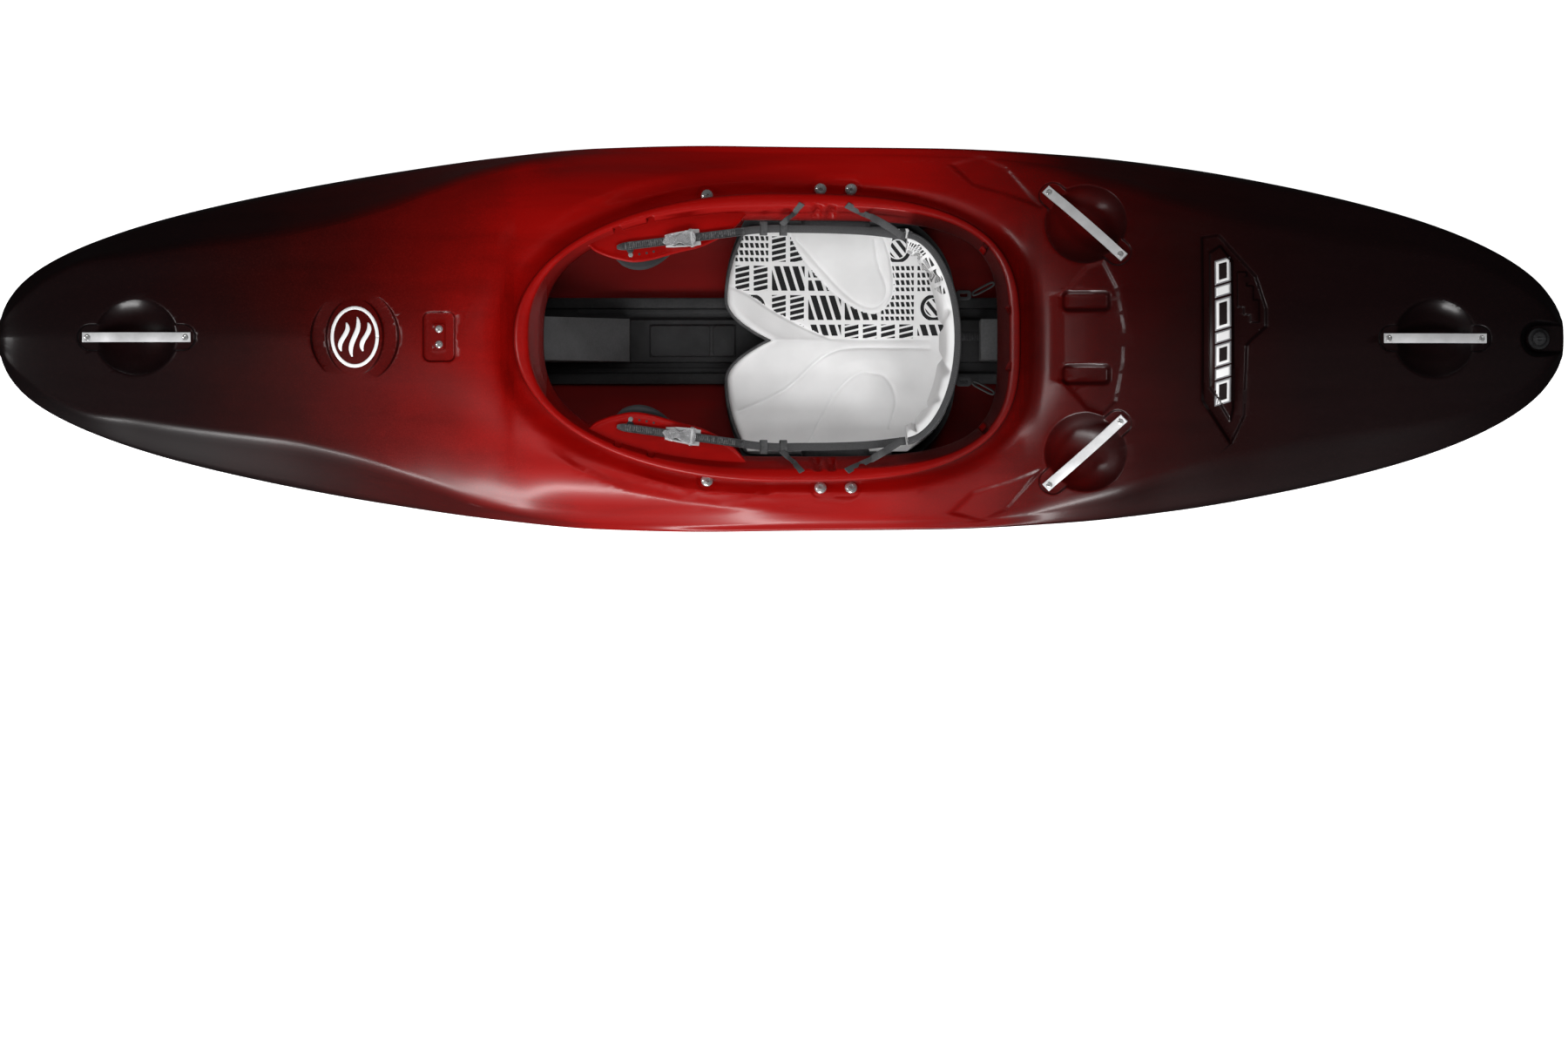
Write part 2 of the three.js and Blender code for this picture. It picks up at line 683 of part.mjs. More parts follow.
// All recesses of the moulding
function recesses() {
  const list = [badgeRecess, plinthRecess, drainRecess];
  list.push(slabRecess(screwFrame, screwRecess.length, screwRecess.width, screwRecess.corner));
  for (const place of handles) {
    const length = place.span + 2 * handleSlot.endMargin;
    list.push(slabRecess(place.frame, length, handleSlot.width, handleSlot.width / 2));
    list.push(bowlRecess(place.frame));
  }
  for (const [name] of sides) {
    list.push(slabRecess(footFrames[name], footPocket.length, footPocket.width, footPocket.corner));
    const hangerLength = hangerBolts.rearX - hangerBolts.frontX + boltSpot.width;
    list.push(slabRecess(hangerFrames[name], hangerLength, boltSpot.width, boltSpot.width / 2));
    list.push(slabRecess(braceFrames[name], boltSpot.width, boltSpot.width, boltSpot.width / 2));
  }
  return list;
}

// A point of the cockpit's outline: a rounded oval that is squarer at its rear.
function ovalPoint(turn, front, rear, half, frontPower, rearPower) {
  const ahead = Math.cos(turn) < 0;
  const power = 2 / (ahead ? frontPower : rearPower);
  const x = (ahead ? -front : rear) * Math.abs(Math.cos(turn)) ** power;
  const y = Math.sign(Math.sin(turn)) * half * Math.abs(Math.sin(turn)) ** power;
  return [rim.centreX + x, y];
}
const innerPoint = (turn) =>
  ovalPoint(turn, rim.innerFront, rim.innerRear, rim.innerHalf, rim.innerFrontPower, rim.innerRearPower);
const outerPoint = (turn) =>
  ovalPoint(turn, rim.outerFront, rim.outerRear, rim.outerHalf, rim.outerFrontPower, rim.outerRearPower);

const openingOutline = [];
for (let i = 0; i < rim.steps; i += 1) openingOutline.push(innerPoint(((i + 0.5) / rim.steps) * Math.PI * 2));

// Half-breadth of the cockpit opening at a place along it.
function openingHalf(x) {
  const starboard = openingOutline.filter(([, y]) => y > 0).sort((a, b) => a[0] - b[0]);
  let i = 1;
  while (i < starboard.length - 1 && starboard[i][0] < x) i += 1;
  const [a, b] = [starboard[i - 1], starboard[i]];
  return mix(a[1], b[1], (x - a[0]) / (b[0] - a[0]));
}

// How far back the opening's rear wall stands at a distance from the centre line.
function openingRear(y) {
  const rear = openingOutline.filter((p) => p[0] > 0 && p[1] > 0).sort((a, b) => a[1] - b[1]);
  let i = 1;
  while (i < rear.length - 1 && rear[i][1] < y) i += 1;
  const [a, b] = [rear[i - 1], rear[i]];
  return mix(a[0], b[0], Math.max(0, (y - a[1]) / (b[1] - a[1])));
}

// The coaming: an upright stem round the opening and a lip that leans out over the deck.
function coaming() {
  const rings = [];
  for (let i = 0; i < rim.steps; i += 1) {
    const turn = ((i + 0.5) / rim.steps) * Math.PI * 2;
    const inner = innerPoint(turn);
    const outer = outerPoint(turn);
    const reach = Math.hypot(outer[0] - inner[0], outer[1] - inner[1]);
    const top = rimTop(inner[0]);
    const outTop = rimTop(outer[0]) - rim.edgeDrop;
    const place = (out, z) => [mix(inner[0], outer[0], out / reach), mix(inner[1], outer[1], out / reach), z];
    rings.push([
      place(0, top - rim.stemDepth), place(0, top - rim.edgeDrop), place(rim.stemThickness, top),
      place(reach - rim.edgeDrop, outTop + rim.edgeDrop), place(reach, outTop),
      place(reach, outTop - rim.lipThickness + rim.edgeDrop),
      place(rim.stemThickness, top - rim.lipThickness), place(rim.stemThickness, top - rim.stemDepth),
    ]);
  }
  return skin(rings, true);
}

function cockpitHole() {
  const floor = hullHeight / 2 - overrun;
  return solidOf(prism(openingOutline, hullHeight), moved(0, 0, floor));
}

const hole = (radius, matrix) =>
  rod((radius + fitGap) / Math.cos(Math.PI / holeSides), -overrun, overrun, holeSides, matrix);

// Every hole that a fastener or the drain passes through
function hullHoles() {
  const list = [hole(drain.sleeveRadius, moved(drainX, 0, notchFloor))];
  for (const place of handles) {
    for (const end of [-1, 1]) {
      list.push(hole(handleScrew.shankRadius, along(place.frame, screwReach(place, end))));
    }
  }
  for (const side of [-1, 1]) {
    const y = (side * screwRecess.screwPitch) / 2;
    list.push(hole(screw.shankRadius, screwFrame.clone().multiply(moved(0, y, 0))));
  }
  const halfPitch = hangerPitch / 2;
  for (const [name] of sides) {
    for (const end of [-1, 1]) {
      list.push(hole(domeBolt.shankRadius, along(hangerFrames[name], end * halfPitch)));
    }
    list.push(hole(domeBolt.shankRadius, braceFrames[name]));
    list.push(hole(domeBolt.shankRadius, footFrames[name]));
  }
  return list;
}
const hangerPitch = hangerBolts.rearX - hangerBolts.frontX;

// The hull: one moulding with its deck, coaming, recesses and bosses
function hullShell() {
  const cuts = recesses();
  let outside = hullBody(0);
  for (const cut of cuts) outside = outside.subtract(cut(0));
  outside = outside.add(plinthRise());
  let inside = hullBody(wall);
  for (const cut of cuts) inside = inside.subtract(cut(wall));
  let shell = outside.subtract(inside).add(coaming()).subtract(cockpitHole());
  for (const cut of hullHoles()) shell = shell.subtract(cut);
  return shell.decompose().reduce((largest, piece) => (piece.volume() > largest.volume() ? piece : largest));
}

// What fits inside the hull: its inside, with the recesses' bulges taken out, and a fit gap to both.
function cabin() {
  let space = hullBody(wall + cabinGap);
  for (const cut of recesses()) space = space.subtract(cut(wall + cabinGap));
  return space;
}

// A flat bar bent into a low arch, with a countersunk hole at each end.
function handleBar(place) {
  const half = place.span / 2 + handle.endLength / 2;
  const straight = half - handle.endLength;
  const line = [[-half, 0], [-straight, 0]];
  for (let i = 1; i < handle.archSteps; i += 1) {
    const t = i / handle.archSteps;
    line.push([mix(-straight, straight, t), handle.arch * Math.sin(Math.PI * t) ** handle.archPower]);
  }
  line.push([straight, 0], [half, 0]);
  const over = line.map(([x, z]) => [x, z + handle.thickness]).reverse();
  const bar = prism([...line, ...over], handle.width);
  bar.rotateX(Math.PI / 2);
  bar.translate(0, handle.width / 2, fitGap);
  let solid = solidOf(bar, place.frame);
  for (const end of [-1, 1]) solid = solid.subtract(countersunk(place, end, fitGap));
  return solid;
}

// A countersunk screw in a handle's end, or the larger hole for it.
function countersunk(place, end, grow) {
  const { headRadius, headDepth, shankRadius, length, sides: count } = handleScrew;
  const top = handle.thickness + fitGap + (grow > 0 ? overrun : 0);
  const seatZ = handle.thickness + fitGap - headDepth;
  const profile = [
    [0, top], [headRadius + grow, top], [headRadius + grow, handle.thickness + fitGap],
    [shankRadius + grow, seatZ - grow], [shankRadius + grow, seatZ - length], [0, seatZ - length],
  ];
  if (grow === 0) profile.splice(1, 1);
  return turned(profile, count, place.frame.clone().multiply(moved(screwReach(place, end), 0, 0)));
}

// A bolt with a domed head on its frame's plane and a shank below it.
function domed(bolt, depth, matrix) {
  const { headRadius, headHeight, shankRadius, sides: count } = bolt;
  const profile = [[0, -depth], [shankRadius, -depth], [shankRadius, fitGap], [headRadius, fitGap]];
  const domeSteps = 3;
  for (let i = 1; i <= domeSteps; i += 1) {
    const turn = (i / domeSteps) * (Math.PI / 2);
    profile.push([headRadius * Math.cos(turn), fitGap + headHeight * Math.sin(turn)]);
  }
  profile[profile.length - 1][0] = 0;
  return turned(profile, count, matrix);
}

// Bolts through the deck that share one nut plate below it
function boltRow(bolt, frame, places, plateDrop) {
  const depth = plateDrop + nutPlate.thickness / 2;
  const xs = places.map(([x]) => x);
  const ys = places.map(([, y]) => y);
  const spread = (list) => Math.max(...list) - Math.min(...list) + 2 * nutPlate.margin;
  const plate = new THREE.BoxGeometry(spread(xs), spread(ys), nutPlate.thickness);
  const plateZ = -plateDrop - nutPlate.thickness / 2;
  let solid = solidOf(plate, frame.clone().multiply(moved(0, 0, plateZ)));
  for (const [x, y] of places) solid = solid.add(domed(bolt, depth, frame.clone().multiply(moved(x, y, 0))));
  return solid;
}

// The drain: a threaded sleeve in the stern, a soft gasket and a plug with a knob
const drainFrame = moved(drainX, 0, notchFloor + fitGap);
function drainFitting() {
  const { flangeRadius, flangeHeight, sleeveRadius, sleeveDepth, boreRadius, sides: count } = drain;
  const profile = [
    [boreRadius, -sleeveDepth], [sleeveRadius, -sleeveDepth], [sleeveRadius, 0],
    [flangeRadius, 0], [flangeRadius, flangeHeight], [boreRadius, flangeHeight], [boreRadius, -sleeveDepth],
  ];
  return turned(profile, count, drainFrame);
}

function drainGasket() {
  const { flangeHeight, gasketHeight, stemRadius, knobRadius, sides: count } = drain;
  const low = flangeHeight + fitGap;
  const inner = stemRadius + fitGap;
  const outer = knobRadius - fitGap;
  const profile = [
    [inner, low], [outer, low], [outer, low + gasketHeight], [inner, low + gasketHeight], [inner, low],
  ];
  return turned(profile, count, drainFrame);
}

function drainPlug() {
  const { flangeHeight, gasketHeight, stemRadius, stemLength, knobRadius, knobHeight, knobRecess } = drain;
  const { knobRimShare, knobHubShare } = drain;
  const low = flangeHeight + gasketHeight + 2 * fitGap;
  const high = low + knobHeight;
  const edge = knobRecess / 2;
  const profile = [
    [0, low - stemLength], [stemRadius, low - stemLength], [stemRadius, low], [knobRadius, low],
    [knobRadius, high - edge], [knobRadius - edge, high], [knobRadius * knobRimShare, high],
    [knobRadius * knobHubShare, high - knobRecess], [0, high - knobRecess],
  ];
  return turned(profile, drain.sides, drainFrame);
}

// A block from an outline in x and z, as wide as given
function sideProfile(outline, width) {
  const block = prism(outline, width);
  block.rotateX(Math.PI / 2);
  block.translate(0, width / 2, 0);
  return solidOf(block);
}

// The moulded tray on the hull's floor that carries the seat and the pillars
function centreRail() {
  const half = rail.width / 2;
  const outline = [
    [rail.frontX, -overrun], [rail.rearX, -overrun], [rail.rearX, rail.top], [rail.frontX, rail.top],
  ];
  let solid = sideProfile(outline, rail.width);
  const grooveWidth = rail.grooveOuter - rail.grooveInner;
  const grooveMiddle = (rail.grooveOuter + rail.grooveInner) / 2;
  const length = rail.rearX - rail.frontX + 2 * overrun;
  const middleX = (rail.rearX + rail.frontX) / 2;
  for (const [, sign] of sides) {
    const groove = new THREE.BoxGeometry(length, grooveWidth, 2 * rail.grooveDepth);
    solid = solid.subtract(solidOf(groove, moved(middleX, sign * grooveMiddle, rail.top)));
  }
  const panelLength = railPanel.rearX - railPanel.frontX;
  const panel = new THREE.BoxGeometry(panelLength, railPanel.width, 2 * railPanel.height);
  solid = solid.add(solidOf(panel, moved((railPanel.rearX + railPanel.frontX) / 2, 0, rail.top)));
  const trim = new THREE.BoxGeometry(length, 2 * half, hullHeight);
  return solid.intersect(space).intersect(solidOf(trim, moved(middleX, 0, 0)));
}

// A slab that keeps the pillars off the rail, with a fit gap
function railGuard() {
  const length = rail.rearX - rail.frontX + 2 * fitGap;
  const guard = new THREE.BoxGeometry(length, rail.width, 2 * (rail.top + fitGap));
  return solidOf(guard, moved((rail.rearX + rail.frontX) / 2, 0, 0));
}

function frontPillar() {
  const { width, lowTop, fromEnd, aftEndX, deckEndX, top } = pillar;
  const frontEndX = fromEnd - sternX;
  const underDeck = deckHeight(deckEndX, 0) - rim.stemDepth - wall;
  const outline = [
    [frontEndX, 0], [aftEndX, 0], [aftEndX, lowTop], [deckEndX, underDeck],
    [deckEndX - overrun, top], [frontEndX, top],
  ];
  return sideProfile(outline, width).intersect(space).subtract(railGuard());
}

function aftPillar() {
  const { width, foreEndX, deckStartX, fromEnd, foreTop } = rearPillar;
  const endX = sternX - fromEnd;
  const outline = [
    [foreEndX, 0], [endX, 0], [endX, pillar.top], [deckStartX, pillar.top],
    [deckStartX, foreTop], [foreEndX, foreTop],
  ];
  return sideProfile(outline, width).intersect(space).subtract(railGuard());
}

// A curved slab between two heights over a grid, as wide and long as its outline functions say
function gridSlab(columns, rows, place) {
  const points = [];
  for (const layer of [0, 1]) {
    for (let i = 0; i <= rows; i += 1) {
      for (let j = 0; j <= columns; j += 1) points.push(place(i / rows, (2 * j) / columns - 1, layer));
    }
  }
  const wide = columns + 1;
  const size = wide * (rows + 1);
  const triangles = [];
  for (let i = 0; i < rows; i += 1) {
    for (let j = 0; j < columns; j += 1) {
      const a = i * wide + j;
      const b = a + 1;
      const c = a + wide;
      const d = c + 1;
      triangles.push([a, c, b], [b, c, d], [size + a, size + b, size + c], [size + b, size + d, size + c]);
    }
  }
  const edge = [];
  for (let j = 0; j < columns; j += 1) edge.push(j);
  for (let i = 0; i < rows; i += 1) edge.push(i * wide + columns);
  for (let j = columns; j > 0; j -= 1) edge.push(rows * wide + j);
  for (let i = rows; i > 0; i -= 1) edge.push(i * wide);
  edge.forEach((a, i) => {
    const b = edge[(i + 1) % edge.length];
    triangles.push([a, b, size + a], [b, size + b, size + a]);
  });
  return solidFrom(points, triangles);
}

// The seat's plan: a notched front edge, straight sides and rounded rear corners
function seatPlan(u, v, inset) {
  const out = Math.abs(v);
  const { rearX, notchX, lobeX, cornerX, notchShare, rearCornerShare, rearCornerPower } = seat;
  const lobe = Math.min(out / notchShare, 1);
  const front = out < notchShare
    ? mix(notchX, lobeX, Math.sin((lobe * Math.PI) / 2))
    : mix(lobeX, cornerX, ((out - notchShare) / (1 - notchShare)) ** 2);
  const rear = rearX - (rearX - cornerX) * rearCornerShare * out ** rearCornerPower;
  return [mix(front + inset, rear - inset, u), v * (seat.halfWidth - inset)];
}

// Height of the seat's top over its lowest, flat part
function seatRise(u, v) {
  const { flatFrontShare, flatRearShare, frontRise, rearRise, sideRise, sidePower, sideFrontShare } = seat;
  const fore = Math.max(0, 1 - u / flatFrontShare) ** 2;
  const aft = Math.max(0, (u - flatRearShare) / (1 - flatRearShare)) ** 2;
  const side = Math.abs(v) ** sidePower * mix(sideFrontShare, 1, u);
  return frontRise * fore + rearRise * aft + sideRise * side;
}

const panFloor = rail.top + fitGap;
const panSteps = { columns: 10, rows: 6 };
const padSteps = { columns: 20, rows: 12 };

const panPoint = (u, v, layer) => {
  const [x, y] = seatPlan(u, v, 0);
  return [x, y, panFloor + seatRise(u, v) + layer * seat.panThickness];
};
const seatPan = () => gridSlab(panSteps.columns, panSteps.rows, panPoint);

// A point on the flat facets of the pan's top, so that the pad lies on them.
function panFacet(u, v) {
  const { columns, rows } = panSteps;
  const row = Math.min(Math.floor(u * rows), rows - 1);
  const column = Math.min(Math.floor(((v + 1) / 2) * columns), columns - 1);
  const s = u * rows - row;
  const t = ((v + 1) / 2) * columns - column;
  const corner = (i, j) => panPoint((row + i) / rows, (2 * (column + j)) / columns - 1, 1);
  const near = s + t <= 1;
  const base = near ? corner(0, 0) : corner(1, 1);
  const right = near ? corner(0, 1) : corner(1, 0);
  const down = near ? corner(1, 0) : corner(0, 1);
  return base.map((b, i) => b + (right[i] - b) * (near ? t : 1 - t) + (down[i] - b) * (near ? s : 1 - s));
}

// The pad: crowned over the pan, drawn in at its edges, with a centre channel and thigh humps
function seatPad() {
  const { columns, rows } = padSteps;
  return gridSlab(columns, rows, (u, v, layer) => {
    const edge = Math.max(Math.abs(v), Math.abs(2 * u - 1)) ** seat.edgePower;
    const swell = mix(seat.edgeShare, 1, Math.sqrt(Math.max(0, 1 - edge)));
    const channel = seat.channel * Math.exp(-((v / seat.channelShare) ** 2)) * Math.sin(Math.PI * u);
    const fore = Math.max(0, 1 - 2 * u) ** 2;
    const hump = seat.humpLift * Math.sin(Math.PI * Math.abs(v)) ** 2 * fore * (1 - edge);
    const lift = layer * (seat.padThickness * swell - channel + hump);
    const [x, y, z] = panFacet(u, v);
    const drawIn = 1 - layer * seat.drawShare * edge;
    const middle = (seat.rearX + seat.cornerX) / 2;
    return [middle + (x - middle) * drawIn, y * drawIn, z + fitGap + lift];
  });
}

// The hip plate's inner face, just outside the seat
const hipInner = seat.halfWidth + hip.seatGap;
// Height of the bend where the plate's slanted arm meets its web
const hipKnee = () => new THREE.Vector3().setFromMatrixPosition(hangerFrames.left).z - hip.kneeDrop;

// Hip plates hang from the side deck's bolts: a flange, a slanted arm and an upright web for the hip pad.
function hipPlate(sign) {
  const frame = hangerFrames[sign > 0 ? "right" : "left"];
  const toLocal = frame.clone().invert();
  const bolt = new THREE.Vector3().setFromMatrixPosition(frame);
  const local = (y, z) => {
    const p = new THREE.Vector3(bolt.x, sign * y, z).applyMatrix4(toLocal);
    return new THREE.Vector2(p.y, p.z);
  };
  const { bottomLift, plateThickness } = hip;
  const flangeZ = -wall - cabinGap - plateThickness / 2;
  const flangeHalf = (sign * boltSpot.width) / 2;
  const webY = hipInner + plateThickness / 2;
  const line = [
    new THREE.Vector2(flangeHalf, flangeZ), new THREE.Vector2(-flangeHalf, flangeZ),
    local(webY, hipKnee()), local(webY, rail.top + bottomLift),
  ];
  const length = hangerPitch + boltSpot.width;
  let solid = solidOf(plateAlong(line[0], line[1], length), frame);
  for (const i of [1, 2]) solid = solid.add(solidOf(plateAlong(line[i], line[i + 1], length), frame));
  for (const end of [-1, 1]) {
    solid = solid.subtract(hole(domeBolt.shankRadius, along(frame, (end * hangerPitch) / 2)));
  }
  return solid;
}

// One flat leg of a bent plate, between two points of its section
function plateAlong(from, to, length) {
  const run = to.clone().sub(from).normalize();
  const out = new THREE.Vector2(-run.y, run.x).multiplyScalar(hip.plateThickness / 2);
  const outline = [from.clone().add(out), to.clone().add(out), to.clone().sub(out), from.clone().sub(out)];
  const block = prism(outline.map(({ x, y }) => [x, y]), length);
  block.rotateX(Math.PI / 2);
  block.rotateZ(Math.PI / 2);
  block.translate(-length / 2, 0, 0);
  return block;
}

function hipPad(sign) {
  const length = hangerPitch + 2 * boltSpot.width;
  const { padThickness, padSeatGap, padKneeGap, padBevel } = hip;
  const middleX = (hangerBolts.frontX + hangerBolts.rearX) / 2;
  const padBottom = panFloor + seat.sideRise + padSeatGap;
  const padTop = hipKnee() - padKneeGap;
  const height = padTop - padBottom;
  const shape = new THREE.Shape();
  const halfX = length / 2 - padBevel;
  const halfZ = height / 2 - padBevel;
  const round = Math.min(2 * padBevel, hip.padRoundShare * halfZ);
  shape.absarc(halfX - round, halfZ - round, round, 0, Math.PI / 2);
  shape.absarc(round - halfX, halfZ - round, round, Math.PI / 2, Math.PI);
  shape.absarc(round - halfX, round - halfZ, round, Math.PI, Math.PI * 1.5);
  shape.absarc(halfX - round, round - halfZ, round, Math.PI * 1.5, Math.PI * 2);
  const pad = new THREE.ExtrudeGeometry(shape, {
    depth: padThickness - padBevel * 2,
    bevelThickness: padBevel,
    bevelSize: padBevel,
    bevelSegments: 2,
    curveSegments: 2,
  });
  pad.rotateX((-sign * Math.PI) / 2);
  const y = sign * (hipInner - fitGap * 2 - padBevel) - sign * (padThickness - padBevel * 2);
  return solidOf(pad, moved(middleX, y, (padTop + padBottom) / 2));
}

// The backband's curve in plan and the heights of its edges
function bandRing(step, offset, thickness, edgeShare) {
  const turn = (step / band.steps - 0.5) * Math.PI * band.turnShare;
  const across = Math.sin(turn);
  const along = Math.cos(turn);
  const top = mix(band.topEnd, band.topMid, along ** band.topPower);
  const bottom = mix(band.bottomEnd, band.bottomMid, along);
  const normal = new THREE.Vector2(along / band.bulge, across / band.halfWidth).normalize();
  const column = (out) => {
    const points = [];
    for (let i = 0; i <= band.rows; i += 1) {
      const t = i / band.rows;
      const thin = mix(edgeShare, 1, Math.sin(Math.PI * t) ** band.edgePower);
      const reach = offset + out * thin;
      const leanX = band.lean * t * along;
      const x = band.frontX + band.bulge * along + leanX + normal.x * -reach;
      const y = band.halfWidth * across + normal.y * -reach;
      points.push([x, y, mix(bottom, top, t)]);
    }
    return points;
  };
  return [...column(0), ...column(thickness).reverse()];
}

function bandStrip(offset, thickness, edgeShare) {
  const rings = [];
  for (let step = 0; step <= band.steps; step += 1) rings.push(bandRing(step, offset, thickness, edgeShare));
  return skin(rings);
}

// A flat strap along points, each with the direction that its face looks in.
function strap(points, width, thickness, up) {
  const line = points.map((p) => new THREE.Vector3(...p));
  const rings = line.map((p, i) => {
    const ahead = line[Math.min(i + 1, line.length - 1)];
    const behind = line[Math.max(i - 1, 0)];
    const along = ahead.clone().sub(behind).normalize();
    const across = new THREE.Vector3().crossVectors(up, along).normalize().multiplyScalar(width / 2);
    const face = new THREE.Vector3().crossVectors(along, across).normalize();
    const tall = typeof thickness === "function" ? thickness(i) : thickness;
    const low = p.clone().sub(across);
    const high = p.clone().add(across);
    const raise = face.multiplyScalar(tall);
    return [low, high, high.clone().add(raise), low.clone().add(raise)].map((q) => q.toArray());
  });
  return skin(rings);
}

// Each side's thigh brace, ratchet and ladder strap share one sloping plane just over the brace's shelf.
const shelfTop = (x) => rimTop(x) - shelf.drop;
function bucklePlane(sign) {
  const { tipX, tipY, endX, endY } = ladder;
  const half = buckle.length / 2;
  const slope = (shelfTop(buckle.x + half) - shelfTop(buckle.x - half)) / buckle.length;
  const run = new THREE.Vector3(endX - tipX, sign * (endY - tipY), slope * (endX - tipX)).normalize();
  const y = mix(tipY, endY, (buckle.x - tipX) / (endX - tipX));
  const middle = new THREE.Vector3(buckle.x, sign * y, shelfTop(buckle.x));
  const side = new THREE.Vector3(0, 1, 0);
  return frameFrom(middle, run, side, -buckle.rise);
}

// The shelf of the thigh brace: an inner ledge, a leg down the coaming's stem and a foot under the deck.
function thighShelf(sign) {
  const rings = [];
  for (let i = 0; i <= shelf.steps; i += 1) {
    const t = i / shelf.steps;
    const x = mix(shelf.frontX, shelf.rearX, t);
    const edge = openingHalf(x) - fitGap;
    const top = shelfTop(x);
    const reach = mix(shelf.endWidth, shelf.width, Math.sin(Math.PI * t));
    const low = top - shelf.legDepth + shelf.drop;
    const foot = edge + shelf.foot;
    const at = (y, z) => [x, sign * y, z];
    rings.push([
      at(edge - reach, top), at(edge, top), at(edge, low), at(foot, low), at(foot, low - shelf.thickness),
      at(edge - shelf.thickness, low - shelf.thickness), at(edge - shelf.thickness, top - shelf.thickness),
      at(edge - reach, top - shelf.thickness),
    ]);
  }
  let solid = skin(rings);
  solid = solid.intersect(space.add(cockpitHole()));
  solid = solid.subtract(hole(domeBolt.shankRadius, braceFrames[sign > 0 ? "right" : "left"]));
  solid = solid.subtract(hole(screw.shankRadius, thighBoltFrame(sign)));
  return solid.decompose().reduce((largest, piece) => (piece.volume() > largest.volume() ? piece : largest));
}

function thighBoltFrame(sign) {
  const { boltX, boltInset } = thighHook;
  const reach = screw.headRadius;
  const climb = shelfTop(boltX + reach) - shelfTop(boltX - reach);
  const run = new THREE.Vector3(2 * reach, 0, climb).normalize();
  const middle = new THREE.Vector3(boltX, sign * (openingHalf(boltX) - boltInset), shelfTop(boltX));
  return frameFrom(middle, run, new THREE.Vector3(0, 1, 0), 0);
}

// The dark padded hook under the shelf, held by a screw in one of a row of holes.
function thighPad(sign) {
  const { frontX, rearX, width, thickness, tipShare, crescentPower, steps } = thighHook;
  const rings = [];
  for (let i = 0; i <= steps; i += 1) {
    const t = i / steps;
    const x = mix(frontX, rearX, t);
    const outer = thighLine(x) + shelf.thickness;
    const inner = outer - width * mix(tipShare, 1, Math.sin(Math.PI * t) ** crescentPower);
    const top = thighPlane(x) - shelf.thickness - fitGap;
    const low = top - thickness;
    const bevel = thickness / 4;
    const at = (y, z) => [x, sign * y, z];
    rings.push([
      at(inner + bevel, top), at(outer, top), at(outer, low + bevel), at(outer - bevel, low),
      at(inner + bevel, low), at(inner, low + bevel), at(inner, top - bevel),
    ]);
  }
  return skin(rings).add(thighBolt(sign));
}
// The hook's straight line in plan and in height, which sags below the shelf's curve
const thighLine = (x) => {
  const { frontX, rearX, reach } = thighHook;
  const share = (x - frontX) / (rearX - frontX);
  return mix(openingHalf(frontX), openingHalf(rearX), share) - shelf.width - shelf.thickness / 2 + reach;
};
const thighPlane = (x) => {
  const { frontX, rearX, sag } = thighHook;
  const share = (x - frontX) / (rearX - frontX);
  return mix(shelfTop(frontX), shelfTop(rearX), share) - sag;
};

function thighBolt(sign) {
  const depth = shelf.thickness + thighHook.sag + thighHook.thickness / 2;
  return domed(screw, depth, thighBoltFrame(sign));
}

function ratchetBase(sign) {
  const frame = bucklePlane(sign);
  const { length, width, floor, cheek, cheekHeight, cheekShare, footRadius, rise, pinRadius } = buckle;
  const plate = new THREE.BoxGeometry(length, width, floor);
  let solid = solidOf(plate, frame.clone().multiply(moved(0, 0, floor / 2)));
  for (const side of [-1, 1]) {
    const y = side * (width / 2 - cheek / 2);
    const wallBox = new THREE.BoxGeometry(length * cheekShare, cheek, cheekHeight);
    solid = solid.add(solidOf(wallBox, frame.clone().multiply(moved(0, y, cheekHeight / 2))));
  }
  const foot = new THREE.CylinderGeometry(footRadius, footRadius, rise + floor - fitGap, holeSides);
  foot.rotateX(Math.PI / 2);
  const footZ = (fitGap - rise + floor) / 2;
  solid = solid.add(solidOf(foot, frame.clone().multiply(moved(-length / 4, 0, footZ))));
  const pin = new THREE.CylinderGeometry(pinRadius, pinRadius, width, holeSides);
  return solid.add(solidOf(pin, leverFrame(frame)));
}
function leverFrame(frame) {
  const { length, pinShare, cheekHeight } = buckle;
  return frame.clone().multiply(moved(length * pinShare, 0, cheekHeight - lever.lift));
}

// The lever turns on the buckle's pin and lies along the strap.
function ratchetLever(sign) {
  const pivot = leverFrame(bucklePlane(sign));
  const { length, width, thickness, eyeRadius } = lever;
  const eye = new THREE.CylinderGeometry(eyeRadius, eyeRadius, width, holeSides);
  const bar = new THREE.BoxGeometry(length, width, thickness);
  const boreRadius = (buckle.pinRadius + buckle.play) / Math.cos(Math.PI / holeSides);
  const bore = new THREE.CylinderGeometry(boreRadius, boreRadius, 2 * width, holeSides);
  const raise = eyeRadius - thickness / 2;
  const barSolid = solidOf(bar, pivot.clone().multiply(moved(-length / 2 + eyeRadius / 2, 0, raise)));
  return solidOf(eye, pivot).add(barSolid).subtract(solidOf(bore, pivot));
}

const strapLift = buckle.floor + buckle.strapGap; // the ladder strap slides over the buckle's floor
function ladderStrap(sign) {
  const frame = bucklePlane(sign);
  const start = (ladder.tipX - buckle.x) * ladderSlant;
  const end = (ladder.endX - buckle.x) * ladderSlant;
  const points = [];
  for (let i = 0; i <= ladder.teeth; i += 1) {
    const p = new THREE.Vector3(mix(start, end, i / ladder.teeth), 0, strapLift).applyMatrix4(frame);
    points.push(p.toArray());
  }
  const up = new THREE.Vector3().setFromMatrixColumn(frame, 2);
  return strap(points, ladder.width, (i) => ladder.thickness + (i % 2) * ladder.tooth, up);
}
const ladderRun = ladder.endX - ladder.tipX;
const ladderSlant = Math.hypot(ladderRun, ladder.endY - ladder.tipY) / ladderRun;

